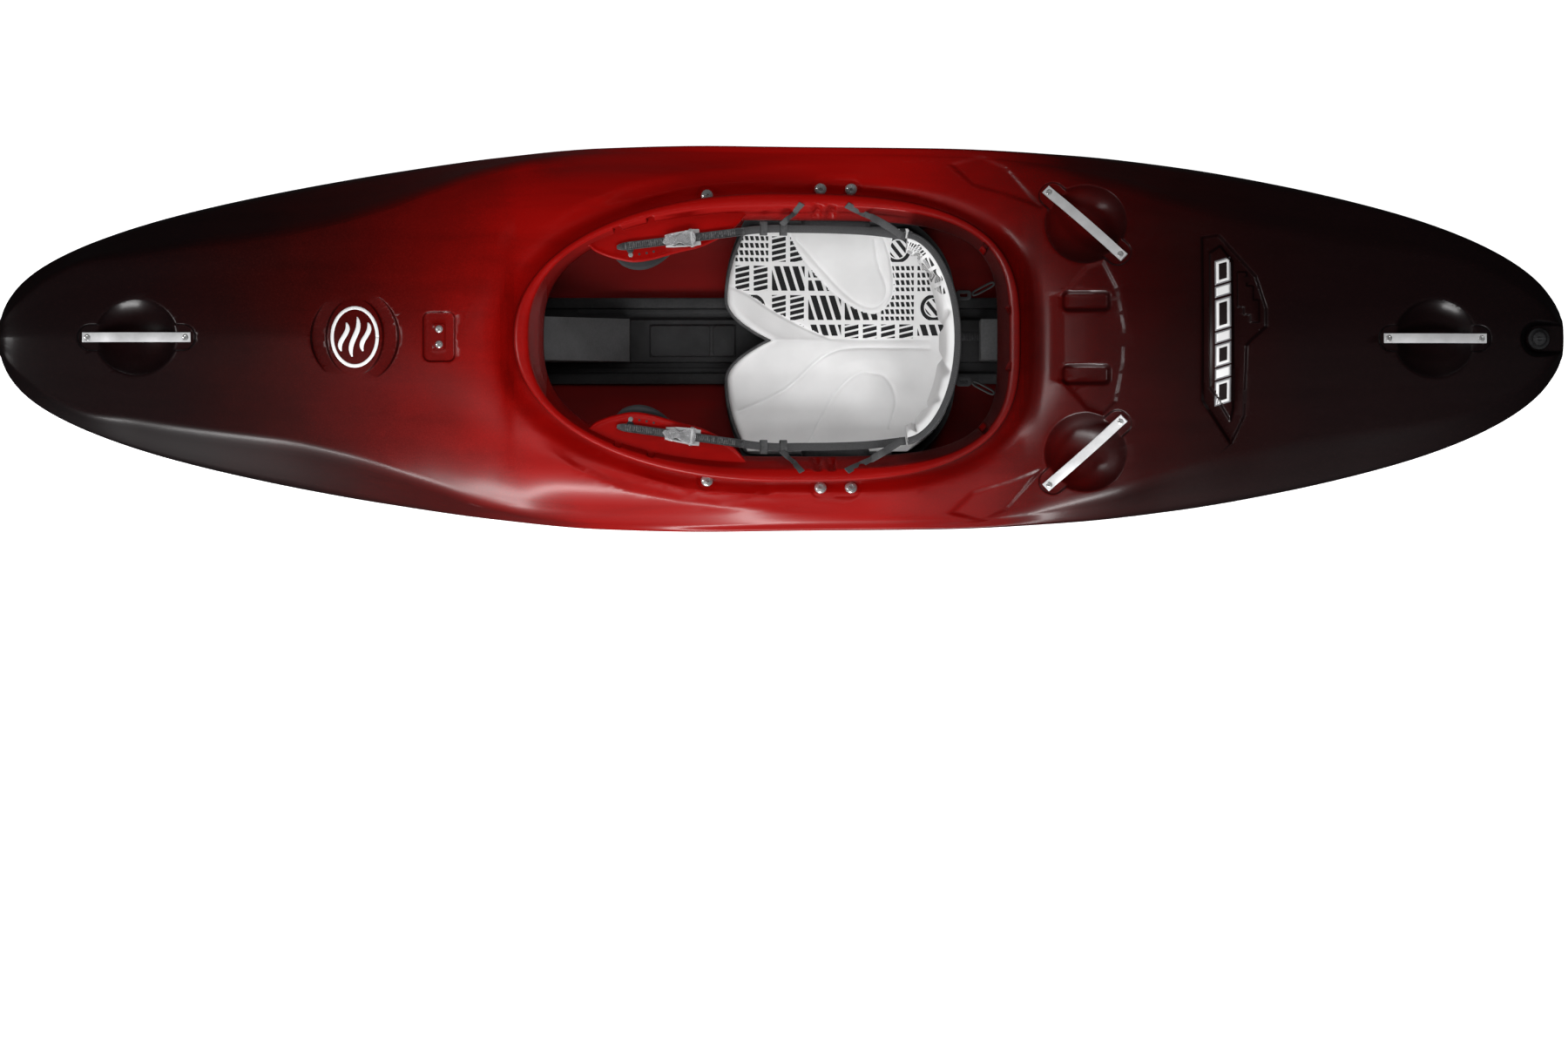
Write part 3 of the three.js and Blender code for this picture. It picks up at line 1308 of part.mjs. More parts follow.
// Where the ladder strap ends and the webbing tail takes over
function ladderEnd(sign) {
  const reach = (ladder.endX - buckle.x) * ladderSlant;
  return new THREE.Vector3(reach, 0, strapLift).applyMatrix4(bucklePlane(sign));
}

const upward = new THREE.Vector3(0, 0, 1);
function tailPoints(sign) {
  const start = ladderEnd(sign);
  const joint = start.x + tail.joint;
  return [
    [joint, sign * ladder.endY, start.z],
    [keeper.frontX, sign * tail.y, start.z - tail.drop],
    [keeper.rearX, sign * tail.y, start.z - 2 * tail.drop],
    [tail.endX, sign * (band.halfWidth - tail.endInset), tail.endZ],
  ];
}
const tailWebbing = (sign) => strap(tailPoints(sign), tail.width, tail.thickness, upward);

// A sewn keeper round the tail, hung from the coaming by a short webbing
function strapKeeper(sign) {
  const [, front, rear] = tailPoints(sign);
  const { wallThickness, play } = keeper;
  const lower = play + wallThickness;
  const shift = (p, dz) => [p[0], p[1], p[2] + dz];
  const wide = tail.width + 2 * (play + wallThickness);
  const outer = strap([shift(front, -lower), shift(rear, -lower)], wide, tail.thickness + 2 * lower, upward);
  return outer.subtract(keeperPassage(front, rear)).add(keeperHanger(sign));
}

// The passage through the keeper, drawn out past both of its ends
function keeperPassage(front, rear) {
  const { play } = keeper;
  const step = [0, 1, 2].map((axis) => (rear[axis] - front[axis]) / 2);
  const points = [front.map((c, axis) => c - step[axis]), rear.map((c, axis) => c + step[axis])];
  const lowered = points.map(([x, y, z]) => [x, y, z - play]);
  return strap(lowered, tail.width + 2 * play, tail.thickness + 2 * play, upward);
}

function keeperHanger(sign) {
  const [, , rear] = tailPoints(sign);
  const edge = openingHalf(hanger.x) - fitGap - hanger.thickness;
  const top = rimTop(hanger.x) - 2 * hanger.thickness;
  const inner = tail.y + tail.width / 2 - hanger.width / 2;
  const z = rear[2] + tail.thickness + keeper.play + keeper.wallThickness / 2;
  const points = [
    [keeper.rearX - hanger.width, sign * inner, z], [keeper.rearX, sign * inner, z + hanger.thickness],
    [hanger.x, sign * (edge - hanger.width / 2), top],
  ];
  return strap(points, hanger.width, hanger.thickness, upward);
}

function sideWebbing(sign) {
  const edge = openingHalf(hipStrap.rimX) - fitGap - hipStrap.width / 2;
  const points = [
    [hipStrap.rimX, sign * edge, rimTop(hipStrap.rimX) - 2 * hipStrap.thickness],
    [hipStrap.bandX - band.shellThickness, sign * hipStrap.bandY, band.topEnd + 2 * hipStrap.thickness],
  ];
  return strap(points, hipStrap.width, hipStrap.thickness, upward);
}

// Rear hooks on the backband and the shock cords that hold them to the coaming
function rearHook(sign) {
  const { y, length, width, thickness, z } = hook;
  const plate = roundedBox(length, width, width / 3, thickness);
  const slot = roundedBox(length / 2, width / 3, width / 9, 3 * thickness);
  const place = moved(hookCentre(), sign * y, z);
  return solidOf(plate, place).subtract(solidOf(slot, place.clone().multiply(moved(0, 0, -thickness))));
}

// The hook stands just behind the back of the band.
function hookCentre() {
  const along = Math.sqrt(1 - (hook.y / band.halfWidth) ** 2);
  const bottom = mix(band.bottomEnd, band.bottomMid, along);
  const top = mix(band.topEnd, band.topMid, Math.sqrt(along));
  const lean = band.lean * along * ((hook.z + hook.thickness - bottom) / (top - bottom));
  return band.frontX + band.bulge * along + lean + hook.standOff + hook.length / 2;
}

function rearCord(sign) {
  const start = hookCentre() + hook.length / 2 + bungee.diameter / 2;
  const z = hook.z + hook.thickness / 2;
  const end = openingRear(bungee.rimY) - bungee.diameter / 3;
  const hookEnd = new THREE.Vector3(start, sign * hook.y, z);
  const rimEnd = new THREE.Vector3(end, sign * bungee.rimY, z);
  const path = new THREE.LineCurve3(hookEnd, rimEnd);
  const section = new THREE.Shape();
  section.absarc(0, 0, bungee.diameter / 2, 0, Math.PI * 2);
  const tube = new THREE.ExtrudeGeometry(section, {
    steps: bungee.steps,
    curveSegments: bungee.sides / 2,
    extrudePath: path,
    bevelEnabled: false,
  });
  return solidOf(tube);
}

// A foot rail inside each side of the hull, held by the bolt in the side's pocket
function footRailBar(name) {
  const frame = footFrames[name];
  const z = -wall - 2 * fitGap - footRail.thickness / 2;
  const bar = new THREE.BoxGeometry(footRail.length, footRail.height, footRail.thickness);
  return solidOf(bar, frame.clone().multiply(moved(0, 0, z))).subtract(hole(domeBolt.shankRadius, frame));
}

// What the rail and the pocket of its bolt take of the cabin, all along the rest's run.
function railRoom(name, gap) {
  const inner = -wall - 2 * fitGap - footRail.thickness - gap;
  const room = new THREE.BoxGeometry(hullLength, footPocket.width + 2 * (wall + gap), overrun);
  return solidOf(room, footFrames[name].clone().multiply(moved(0, 0, inner + overrun / 2)));
}

// A slab across one side of the hull, small enough to pass at the front of its travel.
function footPlate(sign, name, x, thickness, inset) {
  const inner = pillar.width / 2 + footRest.pillarGap + inset;
  const height = footRest.topZ - footRest.bottomZ - 2 * inset;
  const slab = new THREE.BoxGeometry(thickness, hullBeam, height);
  const middleZ = (footRest.topZ + footRest.bottomZ) / 2;
  const room = hullBody(wall + footRest.clearance + inset);
  const plate = solidOf(slab, moved(x + thickness / 2, sign * (inner + hullBeam / 2), middleZ));
  const back = new THREE.Vector3().setFromMatrixColumn(footFrames[name], 0);
  back.multiplyScalar(footRest.foreTravel);
  const passing = room.intersect(room.translate(back.x, back.y, back.z));
  return plate.intersect(passing).subtract(railRoom(name, footRest.runGap + inset));
}

const footRestX = xAt(footPocket.placeShare) - footRest.aheadOfBolt;
const footRestPlate = (sign, name) => footPlate(sign, name, footRestX, footRest.thickness, 0);

const footRestPad = (sign, name) =>
  footPlate(sign, name, footRestX + footRest.thickness + fitGap, footRest.pad, footRest.padInset);

// Finishes
const finishes = {
  hull: { color: 0xa81509, roughness: 0.38, metalness: 0 },
  aluminium: { color: 0xd9dadc, roughness: 0.3, metalness: 0.9 },
  stainless: { color: 0xc9cbcd, roughness: 0.25, metalness: 1 },
  blackPlastic: { color: 0x1b1c1e, roughness: 0.55, metalness: 0 },
  rubber: { color: 0x161616, roughness: 0.8, metalness: 0 },
  greyFoam: { color: 0x4b4c4e, roughness: 0.95, metalness: 0 },
  darkFoam: { color: 0x333436, roughness: 0.95, metalness: 0 },
  whitePad: { color: 0xe6e6e6, roughness: 0.6, metalness: 0 },
  webbing: { color: 0x3a3b3d, roughness: 0.9, metalness: 0 },
  clearPlastic: { color: 0xc4c8ca, roughness: 0.2, metalness: 0 },
};

const kayak = new THREE.Group();
function addPiece(name, solid, finish) {
  const mesh = new THREE.Mesh(geometryOf(solid), new THREE.MeshStandardMaterial(finishes[finish]));
  mesh.name = name;
  kayak.add(mesh);
}

const space = cabin();
function addHullAndFittings() {
  addPiece("hull_shell", hullShell(), "hull");
  for (const place of handles) {
    addPiece(`${place.name}_grab_handle`, handleBar(place), "aluminium");
    addPiece(`${place.name}_handle_screw_front`, countersunk(place, -1, 0), "stainless");
    addPiece(`${place.name}_handle_screw_rear`, countersunk(place, 1, 0), "stainless");
  }
  addPiece("drain_fitting", drainFitting(), "blackPlastic");
  addPiece("drain_gasket", drainGasket(), "rubber");
  addPiece("drain_plug", drainPlug(), "blackPlastic");
  const half = screwRecess.screwPitch / 2;
  addPiece("pillar_screws", boltRow(screw, screwFrame, [[0, -half], [0, half]], wall + fitGap), "stainless");
}

function addInside() {
  addPiece("centre_rail", centreRail(), "blackPlastic");
  addPiece("front_pillar", frontPillar().subtract(pillarScrewPocket()), "greyFoam");
  addPiece("rear_pillar", aftPillar(), "greyFoam");
  addPiece("seat_pan", seatPan(), "blackPlastic");
  addPiece("seat_pad", seatPad(), "whitePad");
  addPiece("backband_shell", bandStrip(0, band.shellThickness, 1), "blackPlastic");
  const padOffset = band.shellThickness + fitGap;
  addPiece("backband_pad", bandStrip(padOffset, band.padThickness, band.edgeShare), "whitePad");
  for (const [name, sign] of sides) {
    addPiece(`thigh_plate_${name}`, thighShelf(sign), "hull");
    addPiece(`thigh_hook_${name}`, thighPad(sign), "darkFoam");
    addPiece(`foot_rail_${name}`, footRailBar(name).intersect(space), "blackPlastic");
  }
}

// Room in the pillar for the nut plate under the deck
function pillarScrewPocket() {
  const { thickness, margin } = nutPlate;
  const play = 2 * fitGap;
  const box = new THREE.BoxGeometry(
    2 * (margin + play),
    screwRecess.screwPitch + 2 * (margin + play),
    2 * (thickness + wall + play + fitGap),
  );
  return solidOf(box, screwFrame);
}

function addSideFittings() {
  const pair = [[-hangerPitch / 2, 0], [hangerPitch / 2, 0]];
  const hangerDrop = wall + cabinGap + hip.plateThickness + fitGap;
  const footGrip = wall + footRail.thickness; // the bolt's thread ends inside the rail
  for (const [name, sign] of sides) {
    addPiece(`hanger_bolts_${name}`, boltRow(domeBolt, hangerFrames[name], pair, hangerDrop), "stainless");
    addPiece(`brace_bolt_${name}`, domed(domeBolt, braceBolt.grip, braceFrames[name]), "stainless");
    addPiece(`foot_rail_bolt_${name}`, domed(domeBolt, footGrip, footFrames[name]), "stainless");
    addPiece(`foot_rest_${name}`, footRestPlate(sign, name), "blackPlastic");
    addPiece(`foot_pad_${name}`, footRestPad(sign, name), "darkFoam");
    addPiece(`hip_plate_${name}`, hipPlate(sign).intersect(space), "blackPlastic");
    addPiece(`hip_pad_${name}`, hipPad(sign), "darkFoam");
    addPiece(`ratchet_base_${name}`, ratchetBase(sign), "aluminium");
    addPiece(`ratchet_lever_${name}`, ratchetLever(sign), "clearPlastic");
    addPiece(`ladder_strap_${name}`, ladderStrap(sign), "webbing");
    addPiece(`tail_webbing_${name}`, tailWebbing(sign), "webbing");
    addPiece(`strap_keeper_${name}`, strapKeeper(sign), "webbing");
    addPiece(`side_webbing_${name}`, sideWebbing(sign), "webbing");
    addPiece(`rear_hook_${name}`, rearHook(sign), "blackPlastic");
    addPiece(`rear_cord_${name}`, rearCord(sign), "rubber");
  }
}

addHullAndFittings();
addInside();
addSideFittings();

export default kayak;
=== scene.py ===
import math
import bmesh
import bpy
import numpy as np
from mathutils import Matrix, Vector
from mathutils.bvhtree import BVHTree


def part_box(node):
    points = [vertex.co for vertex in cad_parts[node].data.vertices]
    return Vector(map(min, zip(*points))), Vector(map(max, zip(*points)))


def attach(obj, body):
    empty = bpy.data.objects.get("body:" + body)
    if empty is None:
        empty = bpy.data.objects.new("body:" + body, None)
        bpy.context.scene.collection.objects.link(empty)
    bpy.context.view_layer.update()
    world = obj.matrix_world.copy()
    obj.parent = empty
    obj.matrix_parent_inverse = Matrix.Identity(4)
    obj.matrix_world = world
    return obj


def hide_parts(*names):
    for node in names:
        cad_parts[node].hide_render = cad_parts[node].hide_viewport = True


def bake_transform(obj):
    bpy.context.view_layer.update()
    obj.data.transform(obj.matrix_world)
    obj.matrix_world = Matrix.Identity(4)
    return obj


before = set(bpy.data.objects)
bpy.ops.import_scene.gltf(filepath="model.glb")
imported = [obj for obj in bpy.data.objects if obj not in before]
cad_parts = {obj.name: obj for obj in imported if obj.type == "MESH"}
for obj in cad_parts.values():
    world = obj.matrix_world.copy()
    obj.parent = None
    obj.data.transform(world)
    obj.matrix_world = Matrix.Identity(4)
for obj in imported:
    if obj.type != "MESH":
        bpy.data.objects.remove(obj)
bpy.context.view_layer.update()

# Metres, +X from bow to stern, +Y to starboard, +Z up. Shares run along the hull from the bow.
hull = {
    "length": 2.463,
    "beam": 0.610,
    "height": 0.375,
    "wall": 0.006,
    "halfBeam": [
        (0, 0), (0.005, 0.174), (0.0185, 0.308), (0.05, 0.459), (0.083, 0.561), (0.116, 0.639),
        (0.183, 0.761), (0.25, 0.859), (0.317, 0.938), (0.383, 0.987), (0.45, 1), (0.5, 0.995),
        (0.6, 0.987), (0.6835, 0.951), (0.75, 0.889), (0.817, 0.795), (0.884, 0.669), (0.917, 0.587),
        (0.951, 0.472), (0.984, 0.292), (0.9917, 0.216), (0.9984, 0.108), (1, 0)],
    "keel": [
        (0, 0.773), (0.0056, 0.704), (0.019, 0.635), (0.05, 0.525), (0.083, 0.427), (0.15, 0.264),
        (0.217, 0.141), (0.284, 0.0587), (0.35, 0.022), (0.43, 0), (0.66, 0), (0.7, 0.0107),
        (0.7675, 0.0587), (0.834, 0.136), (0.9, 0.253), (0.9675, 0.403), (0.9955, 0.496), (1, 0.528)],
    "gunwale": [
        (0, 0.773), (0.013, 0.755), (0.0395, 0.73), (0.088, 0.661), (0.132, 0.613), (0.177, 0.571),
        (0.221, 0.541), (0.345, 0.52), (0.5, 0.523), (0.6, 0.512), (0.767, 0.491), (0.8365, 0.483),
        (0.894, 0.496), (0.964, 0.525), (1, 0.528)],
    "shoulder": [
        (0, 0.773), (0.0133, 0.8), (0.044, 0.797), (0.132, 0.789), (0.188, 0.784), (0.243, 0.765),
        (0.2875, 0.728), (0.3225, 0.701), (0.368, 0.632), (0.414, 0.595), (0.459, 0.573), (0.573, 0.557),
        (0.619, 0.541), (0.656, 0.565), (0.686, 0.611), (0.7325, 0.659), (0.767, 0.659), (0.813, 0.632),
        (0.8715, 0.603), (0.929, 0.592), (0.987, 0.576), (1, 0.528)],
    "deck": [
        (0, 0.773), (0.0056, 0.811), (0.032, 0.84), (0.083, 0.853), (0.1335, 0.867), (0.2, 0.915),
        (0.25, 0.947), (0.284, 0.971), (0.306, 0.969), (0.319, 0.955), (0.331, 0.917), (0.367, 0.88),
        (0.4, 0.838), (0.434, 0.787), (0.467, 0.732), (0.5, 0.677), (0.534, 0.635), (0.567, 0.603),
        (0.6, 0.584), (0.63, 0.59), (0.652, 0.635), (0.667, 0.705), (0.684, 0.76), (0.7, 0.797),
        (0.717, 0.815), (0.7785, 0.771), (0.834, 0.716), (0.9, 0.664), (0.9675, 0.613), (0.992, 0.592),
        (1, 0.528)],
    "shoulderBreadth": [
        (0, 0.6), (0.0156, 0.7), (0.031, 0.79), (0.053, 0.82), (0.088, 0.75), (0.177, 0.716),
        (0.221, 0.755), (0.265, 0.835), (0.309, 0.92), (0.345, 0.952), (0.5, 0.94), (0.62, 0.93),
        (0.709, 0.863), (0.7436, 0.8), (0.802, 0.73), (0.848, 0.712), (0.941, 0.758), (0.969, 0.706),
        (1, 0.55)],
    "crownPower": [
        (0, 1.3), (0.2, 1.5), (0.28, 2.2), (0.33, 3.4), (0.37, 7), (0.42, 9), (0.5, 9), (0.6, 7), (0.67, 3),
        (0.75, 2), (1, 1.6)],
    "rimTop": [
        (0.315, 0.997), (0.329, 0.998), (0.35, 1), (0.367, 0.984), (0.4, 0.941), (0.434, 0.888),
        (0.467, 0.829), (0.5, 0.773), (0.534, 0.723), (0.567, 0.68), (0.6045, 0.643), (0.62, 0.65),
        (0.636, 0.677), (0.654, 0.712), (0.67, 0.72)],
    # breadth amidships and at the ends as shares of the gunwale's, then the rise from keel to gunwale
    "flatEdge": (0.62, 0.3, 0, 0.12),
    "bilge": (0.83, 0.55, 0.165, 0.3),
    "chine": (0.955, 0.82, 0.46, 0.6),
    "cornerRound": (0.5, 0.45, 0.3, 0.2, 0.3),
    "bluntShare": 0.0015,
    "lineCells": (4, 2, 3, 3, 3),
    "cornerCells": (3, 4, 4, 6, 5),
    "crownCells": 16,
    "crownFoot": 0.8,        # share of the shoulder's breadth that the shoulder is rounded towards
    "crownJoin": 0.35,
    "lengthCells": 112,
    "bunching": 0.65,
    "depthOfSplit": 4,
    "splitAt": 0.00045,
    "inside": {"from": 0.012, "to": 0.988, "stations": 150, "clear": 0.004},
}


# A curve through rows of (share, value) that never swings past them; its slopes are eased towards the ends
def lineCurve(rows):
    at = np.arccos(1 - 2 * np.array([r[0] for r in rows], float))
    value = np.array([r[1] for r in rows], float)
    steep = np.diff(value) / np.diff(at)
    slope = np.zeros(len(rows))
    slope[0], slope[-1] = steep[0], steep[-1]
    product = steep[:-1] * steep[1:]
    total = steep[:-1] + steep[1:]
    safe = np.where(product > 0, total, 1)
    slope[1:-1] = np.where(product > 0, 2 * product / safe, 0)

    def curve(share):
        u = np.arccos(1 - 2 * np.clip(share, rows[0][0], rows[-1][0]))
        i = np.clip(np.searchsorted(at, u, side="right") - 1, 0, len(at) - 2)
        span = at[i + 1] - at[i]
        t = (u - at[i]) / span
        rise = t * t * (3 - 2 * t)
        enter = t * (1 - t) ** 2
        leave = t * t * (t - 1)
        return value[i] * (1 - rise) + value[i + 1] * rise + span * (slope[i] * enter + slope[i + 1] * leave)
    return curve


curves = {key: lineCurve(hull[key]) for key in (
    "halfBeam", "keel", "gunwale", "shoulder", "deck", "shoulderBreadth", "crownPower", "rimTop")}


def mix(low, high, t):
    return low + (high - low) * t


def smooth(low, high, value):
    t = np.clip((value - low) / (high - low), 0, 1)
    return t * t * (3 - 2 * t)


def xAt(share):
    return (share - 0.5) * hull["length"]


def shareAt(x):
    return x / hull["length"] + 0.5


# Corners of half a section from keel to shoulder, then the deck's height and the crown's power
def sectionCorners(share):
    endness = (2 * share - 1) ** 4
    half = curves["halfBeam"](share) * hull["beam"] / 2
    keel = curves["keel"](share) * hull["height"]
    gunwale = curves["gunwale"](share) * hull["height"]
    zero = np.zeros_like(half)
    corners = [np.stack([zero, keel])]
    for name in ("flatEdge", "bilge", "chine"):
        breadthMid, breadthEnd, riseMid, riseEnd = hull[name]
        rise = mix(riseMid, riseEnd, endness)
        corners.append(np.stack([half * mix(breadthMid, breadthEnd, endness), mix(keel, gunwale, rise)]))
    corners.append(np.stack([half, gunwale]))
    corners.append(np.stack([half * curves["shoulderBreadth"](share),
                             curves["shoulder"](share) * hull["height"]]))
    return corners, curves["deck"](share) * hull["height"], curves["crownPower"](share)


def crownHeight(shoulder, deck, power, out):
    return shoulder[1] + (deck - shoulder[1]) * (1 - np.clip(out, 0, 1) ** power)


def deckHeight(x, y):
    corners, deck, power = sectionCorners(shareAt(np.asarray(x, float)))
    shoulder, gunwale = corners[5], corners[4]
    out = np.abs(y)
    over = crownHeight(shoulder, deck, power, out / shoulder[0])
    beyond = mix(shoulder[1], gunwale[1], (out - shoulder[0]) / (gunwale[0] - shoulder[0]))
    return np.where(out < shoulder[0], over, beyond)


# Rows of the girth, from keel to middle of the deck, as whole numbers where each stretch begins
girthStarts = [0]
for lineCount, cornerCount in zip(hull["lineCells"], hull["cornerCells"]):
    girthStarts += [girthStarts[-1] + lineCount, girthStarts[-1] + lineCount + cornerCount]
girthEnd = girthStarts[-1] + hull["crownCells"]
chineRow, gunwaleRow = girthStarts[4], girthStarts[7]


# y and z of the hull's side at a share of the length and a row of the girth
def halfSection(share, row):
    corners, deck, power = sectionCorners(share)
    shoulder = corners[5]
    foot = hull["crownFoot"]
    crownFoot = np.stack([shoulder[0] * foot, crownHeight(shoulder, deck, power, foot)])
    chain = corners + [crownFoot]
    y = np.zeros_like(row, dtype=float)
    z = np.zeros_like(row, dtype=float)
    previousEnd = chain[0]
    for k, roundShare in enumerate(hull["cornerRound"]):
        before, corner, after = chain[k], chain[k + 1], chain[k + 2]
        if k < 2:
            pulled = corner
        else:
            pulled = (corner - (roundShare / 4) * (before + after)) / (1 - roundShare / 2)
        start = mix(pulled, before, roundShare)
        end = mix(pulled, after, roundShare)
        lineStart, cornerStart, cornerEnd = girthStarts[2 * k], girthStarts[2 * k + 1], girthStarts[2 * k + 2]
        t = (row - lineStart) / (cornerStart - lineStart)
        line = mix(previousEnd, start, t)
        inLine = (row >= lineStart) & (row < cornerStart)
        t = (row - cornerStart) / (cornerEnd - cornerStart)
        arc = mix(mix(start, pulled, t), mix(pulled, end, t), t)
        inArc = (row >= cornerStart) & (row < cornerEnd)
        y = np.where(inLine, line[0], np.where(inArc, arc[0], y))
        z = np.where(inLine, line[1], np.where(inArc, arc[1], z))
        previousEnd = end
    t = np.clip((row - girthStarts[-1]) / hull["crownCells"], 0, 1)
    outStart = previousEnd[0] / shoulder[0]
    out = outStart * (1 - t)
    onCurve = crownHeight(shoulder, deck, power, out)
    miss = previousEnd[1] - crownHeight(shoulder, deck, power, outStart)
    onCurve = onCurve + miss * (1 - smooth(0, hull["crownJoin"], t))
    inCrown = row >= girthStarts[-1]
    return np.where(inCrown, shoulder[0] * out, y), np.where(inCrown, onCurve, z)


# Moulded features of the deck. Places are in metres; a mirrored feature is written once, for starboard.
deckForms = {
    "slope": 2.6,
    "blend": 0.0022,
    "handleSlot": {"width": 0.039, "depth": 0.006, "margin": 0.014},
    "bowl": {"radius": 0.062, "depth": 0.030},
    "endHandles": {"bow": (-1.013, 0.154), "stern": (1.026, 0.148)},
    "sideHandle": (0.418, 0.231, 0.528, 0.132),
    "badge": {"x": -0.6706, "ring": (0.067, 0.074), "disc": (0.046, 0.060), "depth": 0.009, "dome": 0.0035},
    "screwRecess": {"x": -0.5377, "half": (0.0235, 0.0375), "corner": 0.009, "depth": 0.006},
    "screwPad": {"half": (0.0095, 0.021), "corner": 0.004, "rise": 0.0022},
    "plinth": {
        "depth": 0.0085,
        "trench": [(0.657, 0.158), (0.684, 0.162), (0.742, 0.097), (0.758, 0.047), (0.758, 0.017),
                   (0.735, -0.003), (0.727, -0.012), (0.724, -0.123), (0.7035, -0.167), (0.657, -0.098)],
        "boss": [(0.669, 0.134), (0.686, 0.145), (0.705, 0.121), (0.7065, -0.112), (0.702, -0.131),
                 (0.669, -0.078)],
        "steps": [(0.712, 0.728, 0.048, 0.104), (0.722, 0.738, 0.036, 0.082), (0.732, 0.747, 0.024, 0.060)],
        "stepShare": 0.6,
    },
    "drain": {"x": 1.192, "half": 0.020, "floorShare": 0.55, "length": 0.2},
    "boltSpot": {"half": 0.015, "depth": 0.002},
    "hangerBolts": (0.058, 0.106, 0.236),
    "braceBolt": (-0.121, 0.224),
    "sideSlot": {"x": -0.570, "z": 0.163, "half": (0.0365, 0.018), "corner": 0.008, "depth": 0.007},
    "rearSlot": {"x": (0.438, 0.512), "y": (0.042, 0.073), "corner": 0.009, "depth": 0.009},
    "rearPanel": {
        "outline": [(0.431, 0.066), (0.440, 0.070), (0.476, 0.112), (0.501, 0.121), (0.523, 0.077),
                    (0.534, 0.014), (0.532, -0.040), (0.521, -0.100), (0.500, -0.121), (0.476, -0.112),
                    (0.440, -0.070), (0.431, -0.066)],
        "depth": 0.005},
    "trough": {"depth": 0.009, "end": 0.040, "side": 0.020},
    "shelf": {"line": [(-0.37, 0.17), (-0.325, 0.201), (-0.242, 0.235), (-0.152, 0.254), (-0.074, 0.2625),
                       (0.021, 0.268), (0.08, 0.27)],
              "drop": 0.005, "width": 0.008, "fade": (0.0, 0.09)},
    "ledge": {"line": [(-0.24, 0.208), (-0.202, 0.2206), (-0.152, 0.235), (-0.102, 0.2405), (-0.02, 0.2445)],
              "drop": 0.004, "width": 0.0045, "fade": (-0.026, -0.010)},
    "wing": {"outline": [(0.265, 0.275), (0.312, 0.287), (0.350, 0.270), (0.404, 0.2075), (0.357, 0.226),
                         (0.299, 0.243)],
             "drop": 0.004},
    "rim": {"outer": (0.422, 0.373, 0.227, 2.1, 3.0), "inner": (0.375, 0.337, 0.186, 2.7, 4.0), "stem": 0.009,
            "inHole": (-0.06, -0.04)},
}


# Rough distance outside a superellipse, good near its edge
def ovalDistance(x, y, oval):
    front, rear, half, frontPower, rearPower = oval
    reach = np.where(x < 0, front, rear)
    p = np.where(x < 0, frontPower, rearPower)
    ax, ay = np.abs(x) / reach + 1e-9, np.abs(y) / half + 1e-9
    level = (ax ** p + ay ** p) ** (1 / p)
    gx = ax ** (p - 1) / reach * level ** (1 - p)
    gy = ay ** (p - 1) / half * level ** (1 - p)
    return (level - 1) / np.hypot(gx, gy)


# Signed distance to a box with rounded corners, negative inside
def boxDistance(x, y, halfX, halfY, corner):
    qx, qy = np.abs(x) - halfX + corner, np.abs(y) - halfY + corner
    return np.hypot(np.maximum(qx, 0), np.maximum(qy, 0)) + np.minimum(np.maximum(qx, qy), 0) - corner


# Signed distance to a closed outline, negative inside
def outlineDistance(x, y, outline):
    best = np.full(x.shape, 1e9)
    inside = np.zeros(x.shape, bool)
    for (ax, ay), (bx, by) in zip(outline, outline[1:] + outline[:1]):
        dx, dy = bx - ax, by - ay
        t = np.clip(((x - ax) * dx + (y - ay) * dy) / (dx * dx + dy * dy), 0, 1)
        best = np.minimum(best, np.hypot(x - ax - t * dx, y - ay - t * dy))
        crosses = ((ay > y) != (by > y)) & (x < dx * (y - ay) / (dy if dy else 1e-12) + ax)
        inside ^= crosses
    return np.where(inside, -best, best)


# A flat seat under two points of the deck, as origin and axes, sunk below it
def seatFrame(ax, ay, bx, by, sink):
    a = Vector((ax, ay, float(deckHeight(ax, ay))))
    b = Vector((bx, by, float(deckHeight(bx, by))))
    along = (b - a).normalized()
    middle = (a + b) / 2
    across = Vector((-along.y, along.x, 0)).normalized() * 0.015
    left = float(deckHeight(middle.x + across.x, middle.y + across.y))
    right = float(deckHeight(middle.x - across.x, middle.y - across.y))
    side = Vector((2 * across.x, 2 * across.y, left - right))
    up = along.cross(side).normalized()
    return middle - up * sink, along, up.cross(along), up


# Origin, axes and length of the flat seat under each handle
def handleSeats():
    seats = {}
    sink = deckForms["handleSlot"]["depth"]
    for name, (x, span) in deckForms["endHandles"].items():
        seats[name] = (seatFrame(x - span / 2, 0, x + span / 2, 0, sink), span)
    fx, fy, rx, ry = deckForms["sideHandle"]
    rise = float(deckHeight(rx, ry) - deckHeight(fx, fy))
    span = math.sqrt((rx - fx) ** 2 + (ry - fy) ** 2 + rise ** 2)
    for name, side in (("left", -1), ("right", 1)):
        seats[name] = (seatFrame(fx, side * fy, rx, side * ry, sink), span)
    return seats


handles = handleSeats()


# x and y along a seat's axes, and the height of its plane, over places of the deck
def localPlace(x, y, seat):
    origin, along, across, up = seat
    z = origin.z - (up.x * (x - origin.x) + up.y * (y - origin.y)) / up.z
    dx, dy, dz = x - origin.x, y - origin.y, z - origin.z
    return dx * along.x + dy * along.y + dz * along.z, dx * across.x + dy * across.y + dz * across.z, z


# The lower of two heights, blended over a width
def softLower(a, b, k):
    h = np.clip(0.5 + 0.5 * (a - b) / k, 0, 1)
    return mix(a, b, h) - k * h * (1 - h)


def flatSeat(form, reach):
    return seatFrame(form["x"] - reach, 0, form["x"] + reach, 0, form["depth"])


